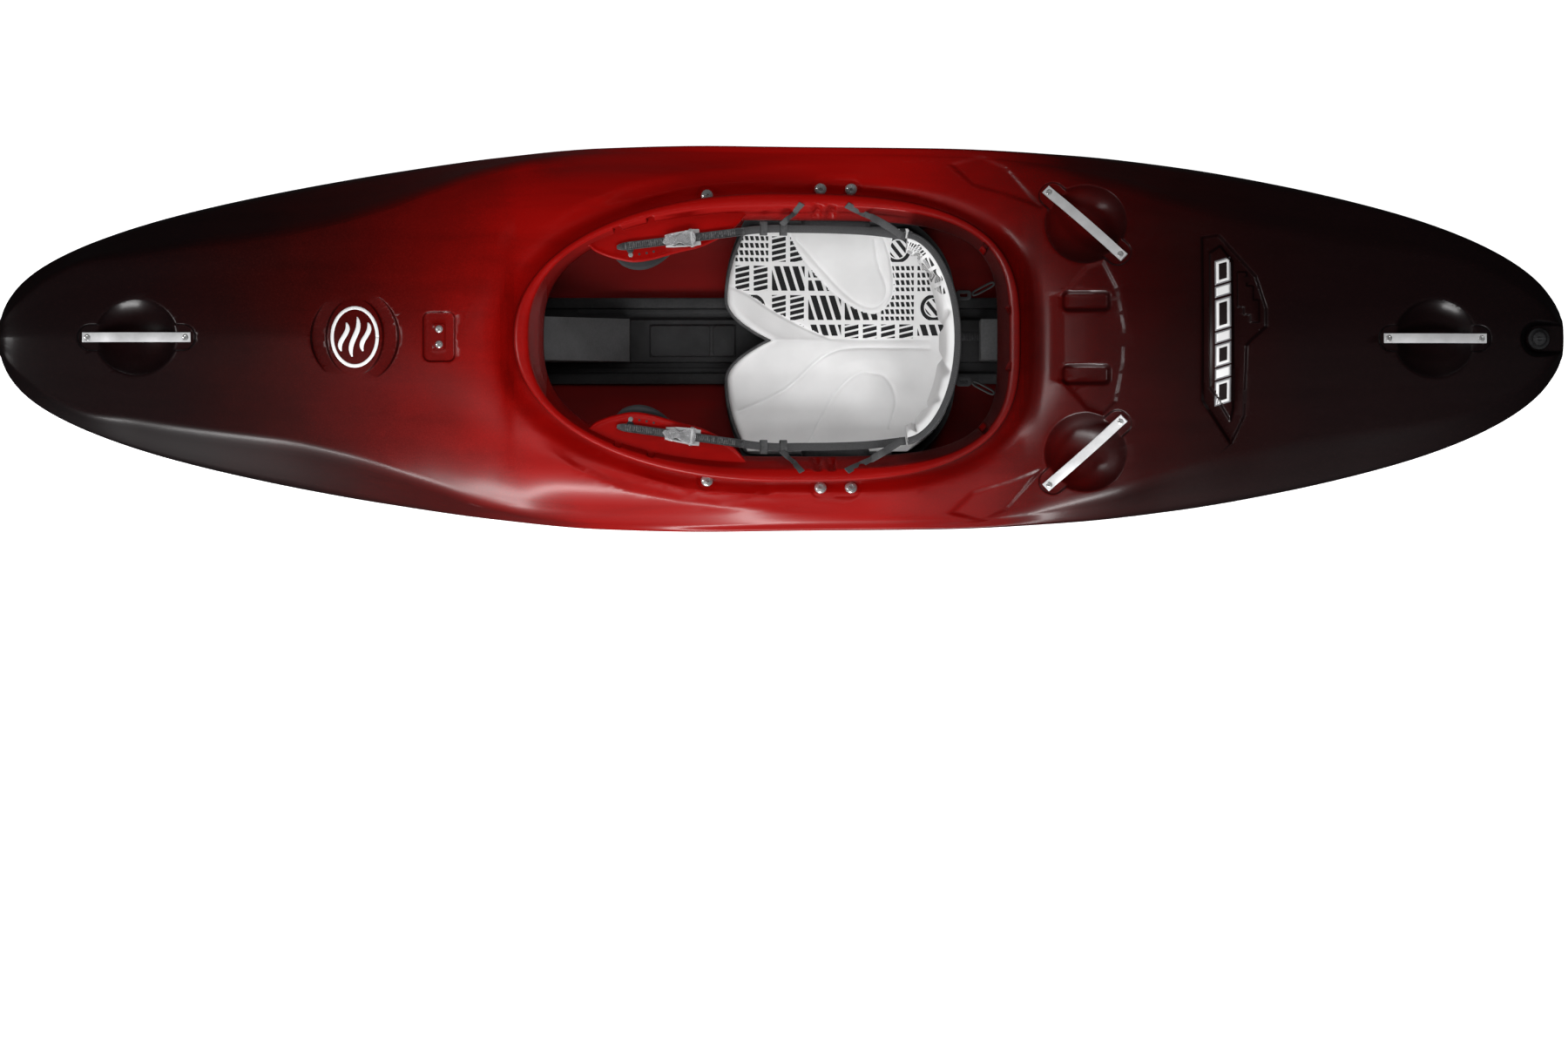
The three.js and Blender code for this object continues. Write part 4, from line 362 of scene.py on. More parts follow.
badgeSeat = flatSeat(deckForms["badge"], deckForms["badge"]["ring"][0])
screwSeat = flatSeat(deckForms["screwRecess"], deckForms["screwRecess"]["half"][0])
drainShare = shareAt(deckForms["drain"]["x"])
drainFloor = float(mix(curves["keel"](drainShare), curves["deck"](drainShare),
                       deckForms["drain"]["floorShare"])) * hull["height"]


# How far a place lies inside a stepped line that runs along both sides, from 0 to 1
def lineStep(x, y, form):
    line = form["line"]
    at = np.interp(x, *zip(*line))
    inside = 1 - smooth(at - form["width"], at + form["width"], np.abs(y))
    start = smooth(line[0][0] - 0.03, line[0][0] + 0.05, x)
    return inside * start * (1 - smooth(*form["fade"], x))


# Heights of the deck with its moulded features
def shapedDeck(x, y, z):
    slope, blend = deckForms["slope"], deckForms["blend"]
    rim = deckForms["rim"]
    d = ovalDistance(x, y, rim["outer"])
    outside = smooth(*rim["inHole"], d)
    trough = deckForms["trough"]
    width = mix(trough["side"], trough["end"], np.clip((x / 0.4) ** 2, 0, 1))
    z = z - trough["depth"] * (1 - smooth(0.15, 1, (d + 0.002) / width)) * outside
    for key in ("shelf", "ledge"):
        z = z - deckForms[key]["drop"] * lineStep(x, y, deckForms[key]) * outside
    wing = deckForms["wing"]
    z = z - wing["drop"] * smooth(0.005, -0.004, outlineDistance(x, np.abs(y), wing["outline"]))
    panel = deckForms["rearPanel"]
    z = z - panel["depth"] * smooth(0.004, -0.005, outlineDistance(x, y, panel["outline"]))
    slot = deckForms["rearSlot"]
    (x0, x1), (y0, y1) = slot["x"], slot["y"]
    inSlot = boxDistance(x - (x0 + x1) / 2, np.abs(y) - (y0 + y1) / 2, (x1 - x0) / 2, (y1 - y0) / 2,
                         slot["corner"])
    z = z - slot["depth"] * smooth(0.003, -0.006, inSlot)
    form, bowl = deckForms["handleSlot"], deckForms["bowl"]
    ball = (bowl["radius"] ** 2 + bowl["depth"] ** 2) / (2 * bowl["depth"])
    for seat, span in handles.values():
        lx, ly, plane = localPlace(x, y, seat)
        out = boxDistance(lx, ly, span / 2 + form["margin"], form["width"] / 2, form["width"] / 2 - 0.001)
        z = softLower(z, plane + slope * np.maximum(out, 0), blend)
        reach2 = np.clip(ball ** 2 - lx ** 2 - ly ** 2, 0, None)
        out = np.hypot(lx, ly) - bowl["radius"] * 1.25
        dish = plane + ball - bowl["depth"] - np.sqrt(reach2) + slope * np.maximum(out, 0)
        z = softLower(z, dish, blend * 1.4)
    badge = deckForms["badge"]
    ring, disc, dome = badge["ring"], badge["disc"], badge["dome"]
    lx, ly, plane = localPlace(x, y, badgeSeat)
    out = ovalDistance(lx, ly, (ring[0], *ring, 2, 2))
    into = -ovalDistance(lx, ly, (disc[0], *disc, 2, 2))
    boss = np.minimum(slope * np.maximum(into, 0), badge["depth"] - dome + dome * smooth(0, 0.03, into))
    z = softLower(z, plane + slope * np.maximum(out, 0) + boss, blend)
    form, pad = deckForms["screwRecess"], deckForms["screwPad"]
    lx, ly, plane = localPlace(x, y, screwSeat)
    out = boxDistance(lx, ly, *form["half"], form["corner"])
    raised = pad["rise"] * smooth(0.001, -0.002, boxDistance(lx, ly, *pad["half"], pad["corner"]))
    z = softLower(z, plane + slope * np.maximum(out, 0) + raised, blend * 0.7)
    form = deckForms["plinth"]
    boss = smooth(0.002, -0.003, outlineDistance(x, y, form["boss"]))
    for x0, x1, y0, y1 in form["steps"]:
        inStep = boxDistance(x - (x0 + x1) / 2, y - (y0 + y1) / 2, (x1 - x0) / 2, (y1 - y0) / 2, 0.002)
        boss = np.maximum(boss, form["stepShare"] * smooth(0.001, -0.002, inStep))
    z = z - form["depth"] * smooth(0.003, -0.004, outlineDistance(x, y, form["trench"])) * (1 - boss)
    form = deckForms["drain"]
    half, length = form["half"], form["length"]
    out = boxDistance(x - form["x"] + half - length / 2, y, length / 2, half, half - 0.001)
    z = softLower(z, drainFloor + slope * np.maximum(out, 0), blend)
    spot = deckForms["boltSpot"]
    half = spot["half"]
    x0, x1, yb = deckForms["hangerBolts"]
    inSpot = boxDistance(x - (x0 + x1) / 2, np.abs(y) - yb, (x1 - x0) / 2 + half, half, half - 0.001)
    bx, by = deckForms["braceBolt"]
    inSpot = np.minimum(inSpot, np.hypot(x - bx, np.abs(y) - by) - half)
    return z - spot["depth"] * smooth(0.002, -0.002, inSpot)


# How far out the hull's side lies between chine and gunwale
def sidePlane(x, z):
    corners, _, _ = sectionCorners(shareAt(x))
    chine, gunwale = corners[3], corners[4]
    return mix(chine[0], gunwale[0], (z - chine[1]) / (gunwale[1] - chine[1]))


def shapedSide(x, y, z):
    form = deckForms["sideSlot"]
    out = boxDistance(x - form["x"], z - form["z"], *form["half"], form["corner"])
    floor = sidePlane(x, z) - form["depth"] + deckForms["slope"] * np.maximum(out, 0)
    return np.sign(y) * np.where(out < 0.02, softLower(np.abs(y), floor, deckForms["blend"]), np.abs(y))


# Places on the hull, or the wall's depth inside it, for shares of the length and signed rows of the girth
def hullPoint(along, girth, inset=0.0):
    blunt = hull["bluntShare"]
    share = np.clip(along, blunt, 1 - blunt)
    row = np.abs(girth)
    side = np.where(girth < 0, -1.0, 1.0)
    x = xAt(share)
    baseY, baseZ = halfSection(share, row)
    onTop = row >= gunwaleRow + 2
    onSide = (row > chineRow) & ~onTop
    z = np.where(onTop, shapedDeck(x, baseY * side, baseZ), baseZ)
    y = np.where(onSide, shapedSide(x, baseY, baseZ), baseY)
    if inset:
        step = 0.05
        ahead, aheadZ = halfSection(share, np.clip(row + step, 0, girthEnd))
        behind, behindZ = halfSection(share, np.clip(row - step, 0, girthEnd))
        length = np.hypot(ahead - behind, aheadZ - behindZ) + 1e-12
        y = y - inset * (aheadZ - behindZ) / length
        z = z + inset * (ahead - behind) / length
    past = np.clip(np.maximum(blunt - along, along - 1 + blunt) / blunt, 0, 1)
    middle = np.where(along < 0.5, curves["keel"](0.0), curves["keel"](1.0)) * hull["height"]
    scale = np.sqrt(np.clip(1 - past ** 2, 0, 1))
    x = np.where(past > 0, xAt(along), x)
    return np.stack([x, y * side * scale, mix(middle, z, scale)], axis=-1)


# Share of the length at a station number, closer together at the ends
def lengthShare(step):
    t = step / (hull["lengthCells"] * 2 ** hull["depthOfSplit"])
    return mix(t, (1 - np.cos(np.pi * t)) / 2, hull["bunching"])


# Cells of the skin, split where the moulded features bend it
def leafCells(holeOval):
    unit = 2 ** hull["depthOfSplit"]
    iAll, jAll = np.meshgrid(np.arange(hull["lengthCells"]), np.arange(-girthEnd, girthEnd), indexing="ij")
    cells = np.stack([iAll.ravel() * unit, jAll.ravel() * unit], axis=-1)
    size = unit
    leaves = []
    while size >= 1:
        if size == 1:
            leaves.append((cells, size))
            break
        spots = [hullPoint(lengthShare(cells[:, 0] + u * size), (cells[:, 1] + v * size) / unit)
                 for u in (0, 0.5, 1) for v in (0, 0.5, 1)]
        p = np.stack(spots, axis=1)
        middles = [(1, 0, 2), (3, 0, 6), (5, 2, 8), (7, 6, 8), (4, 0, 8), (4, 2, 6)]
        bend = np.max([np.linalg.norm(p[:, m] - (p[:, a] + p[:, b]) / 2, axis=-1) for m, a, b in middles],
                      axis=0)
        split = bend > hull["splitAt"]
        far = np.abs(ovalDistance(p[:, 4, 0], p[:, 4, 1], holeOval))
        near = far < np.linalg.norm(p[:, 8] - p[:, 0], axis=-1)
        onTop = np.abs(cells[:, 1] + size / 2) > gunwaleRow * unit
        split |= near & onTop & (size > 2)
        leaves.append((cells[~split], size))
        parents = cells[split]
        size //= 2
        cells = np.concatenate([parents + np.array([du, dv]) * size for du in (0, 1) for dv in (0, 1)])
    return leaves


def meshFrom(name, points, faces, material=None, smoothly=True, sharp=None):
    data = bpy.data.meshes.new(name)
    data.from_pydata([tuple(p) for p in points], [], [tuple(f) for f in faces])
    data.update()
    if smoothly:
        data.shade_smooth()
    if material:
        data.materials.append(material)
    if sharp:
        data.set_sharp_from_angle(angle=math.radians(sharp))
    return linked(name, data)


def linked(name, data):
    piece = bpy.data.objects.new(name, data)
    bpy.context.scene.collection.objects.link(piece)
    return piece


# Lets a piece's mesh be worked on, then puts it back
def reworked(piece, work):
    shape = bmesh.new()
    shape.from_mesh(piece.data)
    work(shape)
    shape.to_mesh(piece.data)
    shape.free()
    return piece


def facedOut(piece):
    return reworked(piece, lambda shape: bmesh.ops.recalc_face_normals(shape, faces=shape.faces))


# Corners and faces of the split skin, as whole-number places, with the cockpit left open
def skinFaces(holeOval):
    unit = 2 ** hull["depthOfSplit"]
    leaves = leafCells(holeOval)
    cells = np.concatenate([np.concatenate([c, np.full((len(c), 1), size)], axis=1)
                            for c, size in leaves if len(c)])
    middle = hullPoint(lengthShare(cells[:, 0] + cells[:, 2] / 2), (cells[:, 1] + cells[:, 2] / 2) / unit)
    onTop = np.abs(cells[:, 1] + cells[:, 2] / 2) > gunwaleRow * unit
    cells = cells[~(onTop & (ovalDistance(middle[:, 0], middle[:, 1], holeOval) < 0))]
    wide = 2 * girthEnd * unit

    def key(i, j):
        return i * wide + (j + girthEnd * unit) % wide
    used = set()
    for i, j, size in cells.tolist():
        used.update((key(i, j), key(i + size, j), key(i, j + size), key(i + size, j + size)))
    faces = []
    for i, j, size in cells.tolist():
        walk = [(i + k, j) for k in range(size)] + [(i + size, j + k) for k in range(size)]
        walk += [(i + size - k, j + size) for k in range(size)] + [(i, j + size - k) for k in range(size)]
        loop = [key(a, b) for a, b in walk]
        faces.append([k for k in loop if k in used])
    order = {k: n for n, k in enumerate(sorted(used))}
    keys = np.array(sorted(used))
    steps, rows = keys // wide, keys % wide - girthEnd * unit
    points = hullPoint(lengthShare(steps), rows / unit)
    return points, [[order[k] for k in face] for face in faces]


# The inside of the wall, a plainer skin with the same opening
def coarseInside(holeOval):
    form = hull["inside"]
    stations = np.linspace(form["from"], form["to"], form["stations"])
    rows = np.arange(-girthEnd, girthEnd)
    count, last = len(rows), (len(stations) - 1) * len(rows)
    points = hullPoint(*np.meshgrid(stations, rows.astype(float), indexing="ij"), hull["wall"]).reshape(-1, 3)
    i, j = np.meshgrid(np.arange(len(stations) - 1) * count, np.arange(count), indexing="ij")
    a, b = (i + j).ravel(), (i + (j + 1) % count).ravel()
    faces = np.stack([a, b, b + count, a + count], axis=-1)
    middle = points[faces].mean(axis=1)
    top = np.abs(rows[faces[:, 0] % count] + 0.5) > gunwaleRow
    keep = ~(top & (ovalDistance(middle[:, 0], middle[:, 1], holeOval) < form["clear"]))
    ends = [tuple(range(count))[::-1], tuple(range(last, last + count))]
    return points, faces[keep].tolist() + ends


# Outer and inner skin, joined round the cockpit's opening
def makeHullSkin(material):
    rim = deckForms["rim"]
    hole = (*(reach + rim["stem"] / 2 for reach in rim["inner"][:3]), *rim["inner"][3:])
    points, faces = skinFaces(hole)
    inside, insideFaces = coarseInside(hole)
    print("hull skin", len(points), "points", len(faces), "faces; inside", len(insideFaces))
    base = len(points)
    faces += [[k + base for k in face] for face in insideFaces]
    piece = meshFrom("hullSkin", np.concatenate([points, inside]), faces, material)

    def fromHole(x, y):
        return float(ovalDistance(np.array(x), np.array(y), hole))

    def work(shape):
        bmesh.ops.remove_doubles(shape, verts=shape.verts, dist=0.00002)
        edges = [e for e in shape.edges if e.is_boundary]
        h = 1e-4
        for vert in {v for e in edges for v in e.verts}:
            x, y = vert.co.x, vert.co.y
            for _ in range(3):
                d = fromHole(x, y)
                gx, gy = (fromHole(x + h, y) - d) / h, (fromHole(x, y + h) - d) / h
                x, y = x - d * gx, y - d * gy
            vert.co.x, vert.co.y = x, y
        bmesh.ops.bridge_loops(shape, edges=edges)
        bmesh.ops.recalc_face_normals(shape, faces=shape.faces)
    reworked(piece, work)
    piece.data.shade_smooth()
    return piece


# The coaming: a slanted inner wall, a rounded lip that leans out over the deck, and pockets along the wall
coaming = {
    "steps": 1300,
    "stemFrom": -0.029,
    "profile": [             # share of the way from inner to outer edge, height over the lip's line
        (0.0, -0.047), (0.02, -0.043), (0.06, -0.0395), (0.10, -0.036), (0.145, -0.0325), (0.19, -0.029),
        (0.235, -0.0252), (0.28, -0.0215), (0.32, -0.018), (0.36, -0.0145), (0.395, -0.0113),
        (0.425, -0.0085),
        (0.45, -0.0062), (0.47, -0.0045), (0.51, -0.0018), (0.56, -0.0004), (0.63, 0.0004), (0.72, 0.0009),
        (0.81, 0.0008), (0.88, 0.0001), (0.935, -0.0014), (0.972, -0.0034), (0.995, -0.0062), (1.0, -0.0085),
        (0.99, -0.0108), (0.965, -0.0128), (0.92, -0.0138), (0.82, -0.0140), (0.70, -0.0142), (0.62, -0.0150),
        (0.58, -0.0175), (0.52, -0.024), (0.43, -0.032), (0.33, -0.040), (0.24, -0.047)],
    "footShare": 0.24,
    "footSink": 0.006,
    "wallRows": (3, 15),     # rows of the profile that the pockets dent
    "pockets": [             # middle of each pocket, for starboard
        (-0.2555, 0.1596), (-0.2048, 0.1733), (0.0527, 0.1952), (0.0747, 0.1952), (0.313, 0.1377),
        (0.357, 0.0459)],
    "pocketHalf": (0.0055, 0.0095),
    "pocketDepth": 0.0065,
    "pocketOut": 0.004,
    "pocketFall": 0.35,
}


def rimTop(x):
    return curves["rimTop"](shareAt(x)) * hull["height"]


# Sweeps closed rings of points into a skin; rings is rings by points by three.
def sweptFaces(rings, points, loops):
    faces = []
    for i in range(rings if loops else rings - 1):
        here, there = i * points, ((i + 1) % rings) * points
        for j in range(points):
            k = (j + 1) % points
            faces.append((here + j, here + k, there + k, there + j))
    if not loops:
        faces.append(tuple(range(points))[::-1])
        faces.append(tuple(range((rings - 1) * points, rings * points)))
    return faces


def bvhOf(piece):
    data = piece.data
    return BVHTree.FromPolygons([v.co.copy() for v in data.vertices],
                                [tuple(p.vertices) for p in data.polygons])


# Where and how a ray first meets a surface, or two times nothing
def struck(tree, start, way):
    return tree.ray_cast(Vector(start), Vector(way))[:2]


down = (0, 0, -1)


def makeCoaming(material, deck):
    rim = deckForms["rim"]
    turn = np.linspace(0, 2 * np.pi, coaming["steps"], endpoint=False)
    inX, inY = partPoint(rim["inner"], turn)
    outX, outY = partPoint(rim["outer"], turn)
    low, high = rimTop(inX), rimTop(outX)
    # the wall goes down to the deck: below stemFrom the profile is drawn out
    gap = rim["stem"] / 2 + 0.002
    edgeX, edgeY = partPoint((*(reach + gap for reach in rim["inner"][:3]), *rim["inner"][3:]), turn)
    hits = [struck(deck, (x, y, 0.6), down)[0] for x, y in zip(edgeX, edgeY)]
    foot = np.array([h.z - coaming["footSink"] if h is not None else 0.2 for h in hits])
    start, end = coaming["stemFrom"], coaming["profile"][0][1]
    drawn = np.clip((mix(low, high, coaming["footShare"]) + start - foot) / (start - end), 1, None)
    rings = []
    for share, rise in coaming["profile"]:
        z = mix(low, high, share) + max(rise, start) + min(rise - start, 0) * drawn
        rings.append(np.stack([mix(inX, outX, share), mix(inY, outY, share), z], axis=-1))
    grid = np.stack(rings, axis=1)
    wall = grid[:, slice(*coaming["wallRows"])]
    for px, py in coaming["pockets"]:
        for side in (1, -1):
            angle = math.atan2(side * py / rim["outer"][2] ** 2, px / rim["outer"][0] ** 2)
            outX, outY = math.cos(angle), math.sin(angle)
            cx, cy = px + outX * coaming["pocketOut"], side * py + outY * coaming["pocketOut"]
            dx, dy = wall[..., 0] - cx, wall[..., 1] - cy
            out, along = dx * outX + dy * outY, dy * outX - dx * outY
            inPocket = boxDistance(along, out, *coaming["pocketHalf"], 0.002)
            sunk = coaming["pocketDepth"] * smooth(0.0012, -0.0012, inPocket)
            wall += sunk[..., None] * np.array([outX, outY, -coaming["pocketFall"]])
    return meshFrom("coaming", grid.reshape(-1, 3), sweptFaces(len(turn), len(rings), True), material)


# A point of an oval at a turning parameter, as the moulding's tool is drawn
def partPoint(oval, turn):
    front, rear, half, frontPower, rearPower = oval
    c, s = np.cos(turn), np.sin(turn)
    power = 2 / np.where(c < 0, frontPower, rearPower)
    reach = np.where(c < 0, front, rear)
    return np.sign(c) * reach * np.abs(c) ** power, np.sign(s) * half * np.abs(s) ** power


# Inputs of shader nodes: a socket is joined, anything else is set
def feed(tree, socket, value):
    if isinstance(value, bpy.types.NodeSocket):
        tree.links.new(value, socket)
    elif isinstance(value, tuple) and len(value) == 3 and socket.type == "RGBA":
        socket.default_value = (*value, 1)
    else:
        socket.default_value = value


def maths(tree, work, a, b=0.5, c=0.0, clamp=False):
    node = tree.nodes.new("ShaderNodeMath")
    node.operation = work
    node.use_clamp = clamp
    for socket, value in zip(node.inputs, (a, b, c)):
        feed(tree, socket, value)
    return node.outputs[0]


def mathsKind(work):
    return lambda tree, a, b, **more: maths(tree, work, a, b, **more)


times, plus, minus = (mathsKind(work) for work in ("MULTIPLY", "ADD", "SUBTRACT"))
above, below = (mathsKind(work) for work in ("GREATER_THAN", "LESS_THAN"))


def vectorMaths(tree, work, a, b):
    node = tree.nodes.new("ShaderNodeVectorMath")
    node.operation = work
    feed(tree, node.inputs[0], a)
    feed(tree, node.inputs[1], b)
    return node.outputs["Vector"]


def spread(tree, value, low, high, toLow=0.0, toHigh=1.0):
    node = tree.nodes.new("ShaderNodeMapRange")
    keys = ("Value", "From Min", "From Max", "To Min", "To Max")
    for key, setting in zip(keys, (value, low, high, toLow, toHigh)):
        feed(tree, node.inputs[key], setting)
    return node.outputs["Result"]


# The sockets of a colour mix share their names with other kinds of mix, so they go by number
def colourMix(tree, factor, a, b):
    node = tree.nodes.new("ShaderNodeMix")
    node.data_type = "RGBA"
    feed(tree, node.inputs[0], factor)
    feed(tree, node.inputs[6], a)
    feed(tree, node.inputs[7], b)
    return node.outputs[2]


def noise(tree, place, scale, detail=3.0, rough=0.55):
    node = tree.nodes.new("ShaderNodeTexNoise")
    feed(tree, node.inputs["Vector"], place)
    feed(tree, node.inputs["Scale"], scale)
    feed(tree, node.inputs["Detail"], detail)
    feed(tree, node.inputs["Roughness"], rough)
    return node.outputs["Fac"]


def objectPlace(tree):
    return tree.nodes.new("ShaderNodeTexCoord").outputs["Object"]


def uvPlace(tree):
    return tree.nodes.new("ShaderNodeTexCoord").outputs["UV"]


def parts(tree, vector):
    node = tree.nodes.new("ShaderNodeSeparateXYZ")
    feed(tree, node.inputs[0], vector)
    return node.outputs[0], node.outputs[1], node.outputs[2]


def together(tree, x, y, z=0.0):
    node = tree.nodes.new("ShaderNodeCombineXYZ")
    for socket, value in zip(node.inputs, (x, y, z)):
        feed(tree, socket, value)
    return node.outputs[0]


def bump(tree, height, strength, distance):
    node = tree.nodes.new("ShaderNodeBump")
    feed(tree, node.inputs["Strength"], strength)
    feed(tree, node.inputs["Distance"], distance)
    feed(tree, node.inputs["Height"], height)
    return node.outputs["Normal"]


# A colour given as it looks on screen, 0 to 255, as the linear value that a shader takes
def screenColour(red255, green255, blue255):
    return tuple((c / 255 / 12.92) if c / 255 <= 0.04045 else ((c / 255 + 0.055) / 1.055) ** 2.4
                 for c in (red255, green255, blue255))


def newGroup(name, inputs, outputs):
    group = bpy.data.node_groups.new(name, "ShaderNodeTree")
    for label, kind, value in inputs:
        socket = group.interface.new_socket(label, in_out="INPUT", socket_type="NodeSocket" + kind)
        if value is not None:
            socket.default_value = value
    for label, kind in outputs:
        group.interface.new_socket(label, in_out="OUTPUT", socket_type="NodeSocket" + kind)
    return group, group.nodes.new("NodeGroupInput"), group.nodes.new("NodeGroupOutput")


def useGroup(tree, group, **values):
    node = tree.nodes.new("ShaderNodeGroup")
    node.node_tree = group
    for key, value in values.items():
        feed(tree, node.inputs[key], value)
    return node


# Fine grain and soft mottling: gives a shade from 0 to 1 and a height for bumps
def makeGrainGroup():
    group, given, out = newGroup("mouldedGrain", [
        ("Place", "Vector", None), ("Cloud scale", "Float", 9.0), ("Grain scale", "Float", 900.0)],
        [("Cloud", "Float"), ("Grain", "Float"), ("Height", "Float")])
    cloud = noise(group, given.outputs["Place"], given.outputs["Cloud scale"], 4.0, 0.6)
    grain = noise(group, given.outputs["Place"], given.outputs["Grain scale"], 2.0, 0.6)
    feed(group, out.inputs["Cloud"], cloud)
    feed(group, out.inputs["Grain"], grain)
    feed(group, out.inputs["Height"], maths(group, "MULTIPLY_ADD", cloud, 0.15, grain))
    return group


# Worn light edges, and painted shade in the hollows, from the curve of the surface
def makeWearGroup():
    group, given, out = newGroup("edgeWearAndHollowShade", [("Amount", "Float", 1.0), ("Place", "Vector", None)],
                                 [("Edge", "Float"), ("Hollow shade", "Float")])
    point = group.nodes.new("ShaderNodeNewGeometry").outputs["Pointiness"]
    speckle = noise(group, given.outputs["Place"], 260.0, 3.0, 0.6)
    edge = spread(group, point, 0.52, 0.62)
    broken = times(group, edge, spread(group, speckle, 0.35, 0.65))
    feed(group, out.inputs["Edge"], times(group, broken, given.outputs["Amount"], clamp=True))
    # the hollows get a painted shade: a mask that darkens where the surface curves in
    feed(group, out.inputs["Hollow shade"],
         times(group, spread(group, point, 0.48, 0.40), given.outputs["Amount"], clamp=True))
    return group


# Over-and-under threads on a pair of coordinates in metres
def makeWeaveGroup():
    group, given, out = newGroup("weave",
                                 [("U", "Float", 0.0), ("V", "Float", 0.0), ("Pitch", "Float", 0.001)],
                                 [("Height", "Float")])
    waves = []
    for key in ("U", "V"):
        turn = times(group, maths(group, "DIVIDE", given.outputs[key], given.outputs["Pitch"]), math.pi)
        waves.append(maths(group, "SINE", turn))
    a, b = (maths(group, "ABSOLUTE", wave) for wave in waves)
    up = above(group, times(group, *waves), 0.0)
    height = plus(group, times(group, a, up), times(group, b, minus(group, 1.0, up)))
    feed(group, out.inputs["Height"], height)
    return group


grainGroup = makeGrainGroup()
wearAndShadeGroup = makeWearGroup()
weaveGroup = makeWeaveGroup()


def newMaterial(name, roughness=0.5, metallic=0.0, coat=0.0, coatRoughness=0.1):
    material = bpy.data.materials.new(name)
    material.use_nodes = True
    shader = material.node_tree.nodes["Principled BSDF"]
    shader.inputs["Roughness"].default_value = roughness
    shader.inputs["Metallic"].default_value = metallic
    shader.inputs["Coat Weight"].default_value = coat
    shader.inputs["Coat Roughness"].default_value = coatRoughness
    return material, material.node_tree, shader


# A plain stuff with cloudy tone, fine grain, worn edges and painted shade in its hollows, for most of the
# fittings
def stuff(name, colour, roughness=0.5, metallic=0.0, shade=0.12, cloud=25.0, grain=1500.0,
          bumpy=0.15, wear=0.3, worn=(0.5, 0.5, 0.5)):
    material, tree, shader = newMaterial(name, roughness, metallic)
    place = objectPlace(tree)
    made = useGroup(tree, grainGroup, **{"Place": place, "Cloud scale": cloud, "Grain scale": grain})
    edges = useGroup(tree, wearAndShadeGroup, **{"Amount": wear, "Place": place})
    dark = tuple(c * (1 - shade * 2) for c in colour)
    light = tuple(min(1, c * (1 + shade)) for c in colour)
    tone = colourMix(tree, spread(tree, made.outputs["Cloud"], 0.3, 0.7), dark, light)
    tone = colourMix(tree, times(tree, made.outputs["Grain"], shade), tone, light)
    tone = colourMix(tree, edges.outputs["Edge"], tone, worn)
    # painted shade: the hollows are mixed towards 0.45 of the colour
    tone = colourMix(tree, times(tree, edges.outputs["Hollow shade"], 0.5), tone, tuple(c * 0.45 for c in colour))
    feed(tree, shader.inputs["Base Color"], tone)
    low, high = max(0.02, roughness - 0.08), min(1, roughness + 0.08)
    feed(tree, shader.inputs["Roughness"], spread(tree, made.outputs["Cloud"], 0.3, 0.7, low, high))
    feed(tree, shader.inputs["Normal"], bump(tree, made.outputs["Height"], bumpy, 0.0004))
    return material


# Polythene that fades from near black at the tips, through dark red, to bright red amidships; painted shade
# darkens its sides and the floor inside, and a painted sheen lies on its grain
hullFinish = {
    "bands": [                # place along the hull, colour on screen
        (-1.232, (12, 6, 7)), (-1.0, (19, 6, 7)), (-0.88, (30, 5, 5)), (-0.76, (47, 5, 4)),
        (-0.64, (72, 4, 3)),
        (-0.52, (102, 5, 3)), (-0.40, (138, 5, 3)), (0.14, (138, 5, 3)), (0.27, (110, 4, 3)),
        (0.40, (72, 4, 3)),
        (0.52, (45, 4, 4)), (0.66, (28, 6, 6)), (0.82, (19, 7, 8)), (1.232, (11, 6, 7))],
    "sideShade": (4, 3, 4),
    "sideShadeFrom": 0.46,         # painted shade: sides facing outward turn black between these distances from amidships
    "sideTo": 1.15,
    # colour of the painted shade on the floor inside the hull
    "floorShade": (40, 2, 2),
    # pale pink of a painted sheen on the grain
    "scuff": (200, 110, 95),
    "drift": 0.16,            # how far the cloud, the grain and the slope of the sides shift the bands; the shift with the slope darkens the sides, a painted shade
    "roughness": 0.40,
    "coat": 0.30,
    "coatRoughness": 0.24,
    "cockpit": (0.37, 0.214),
}


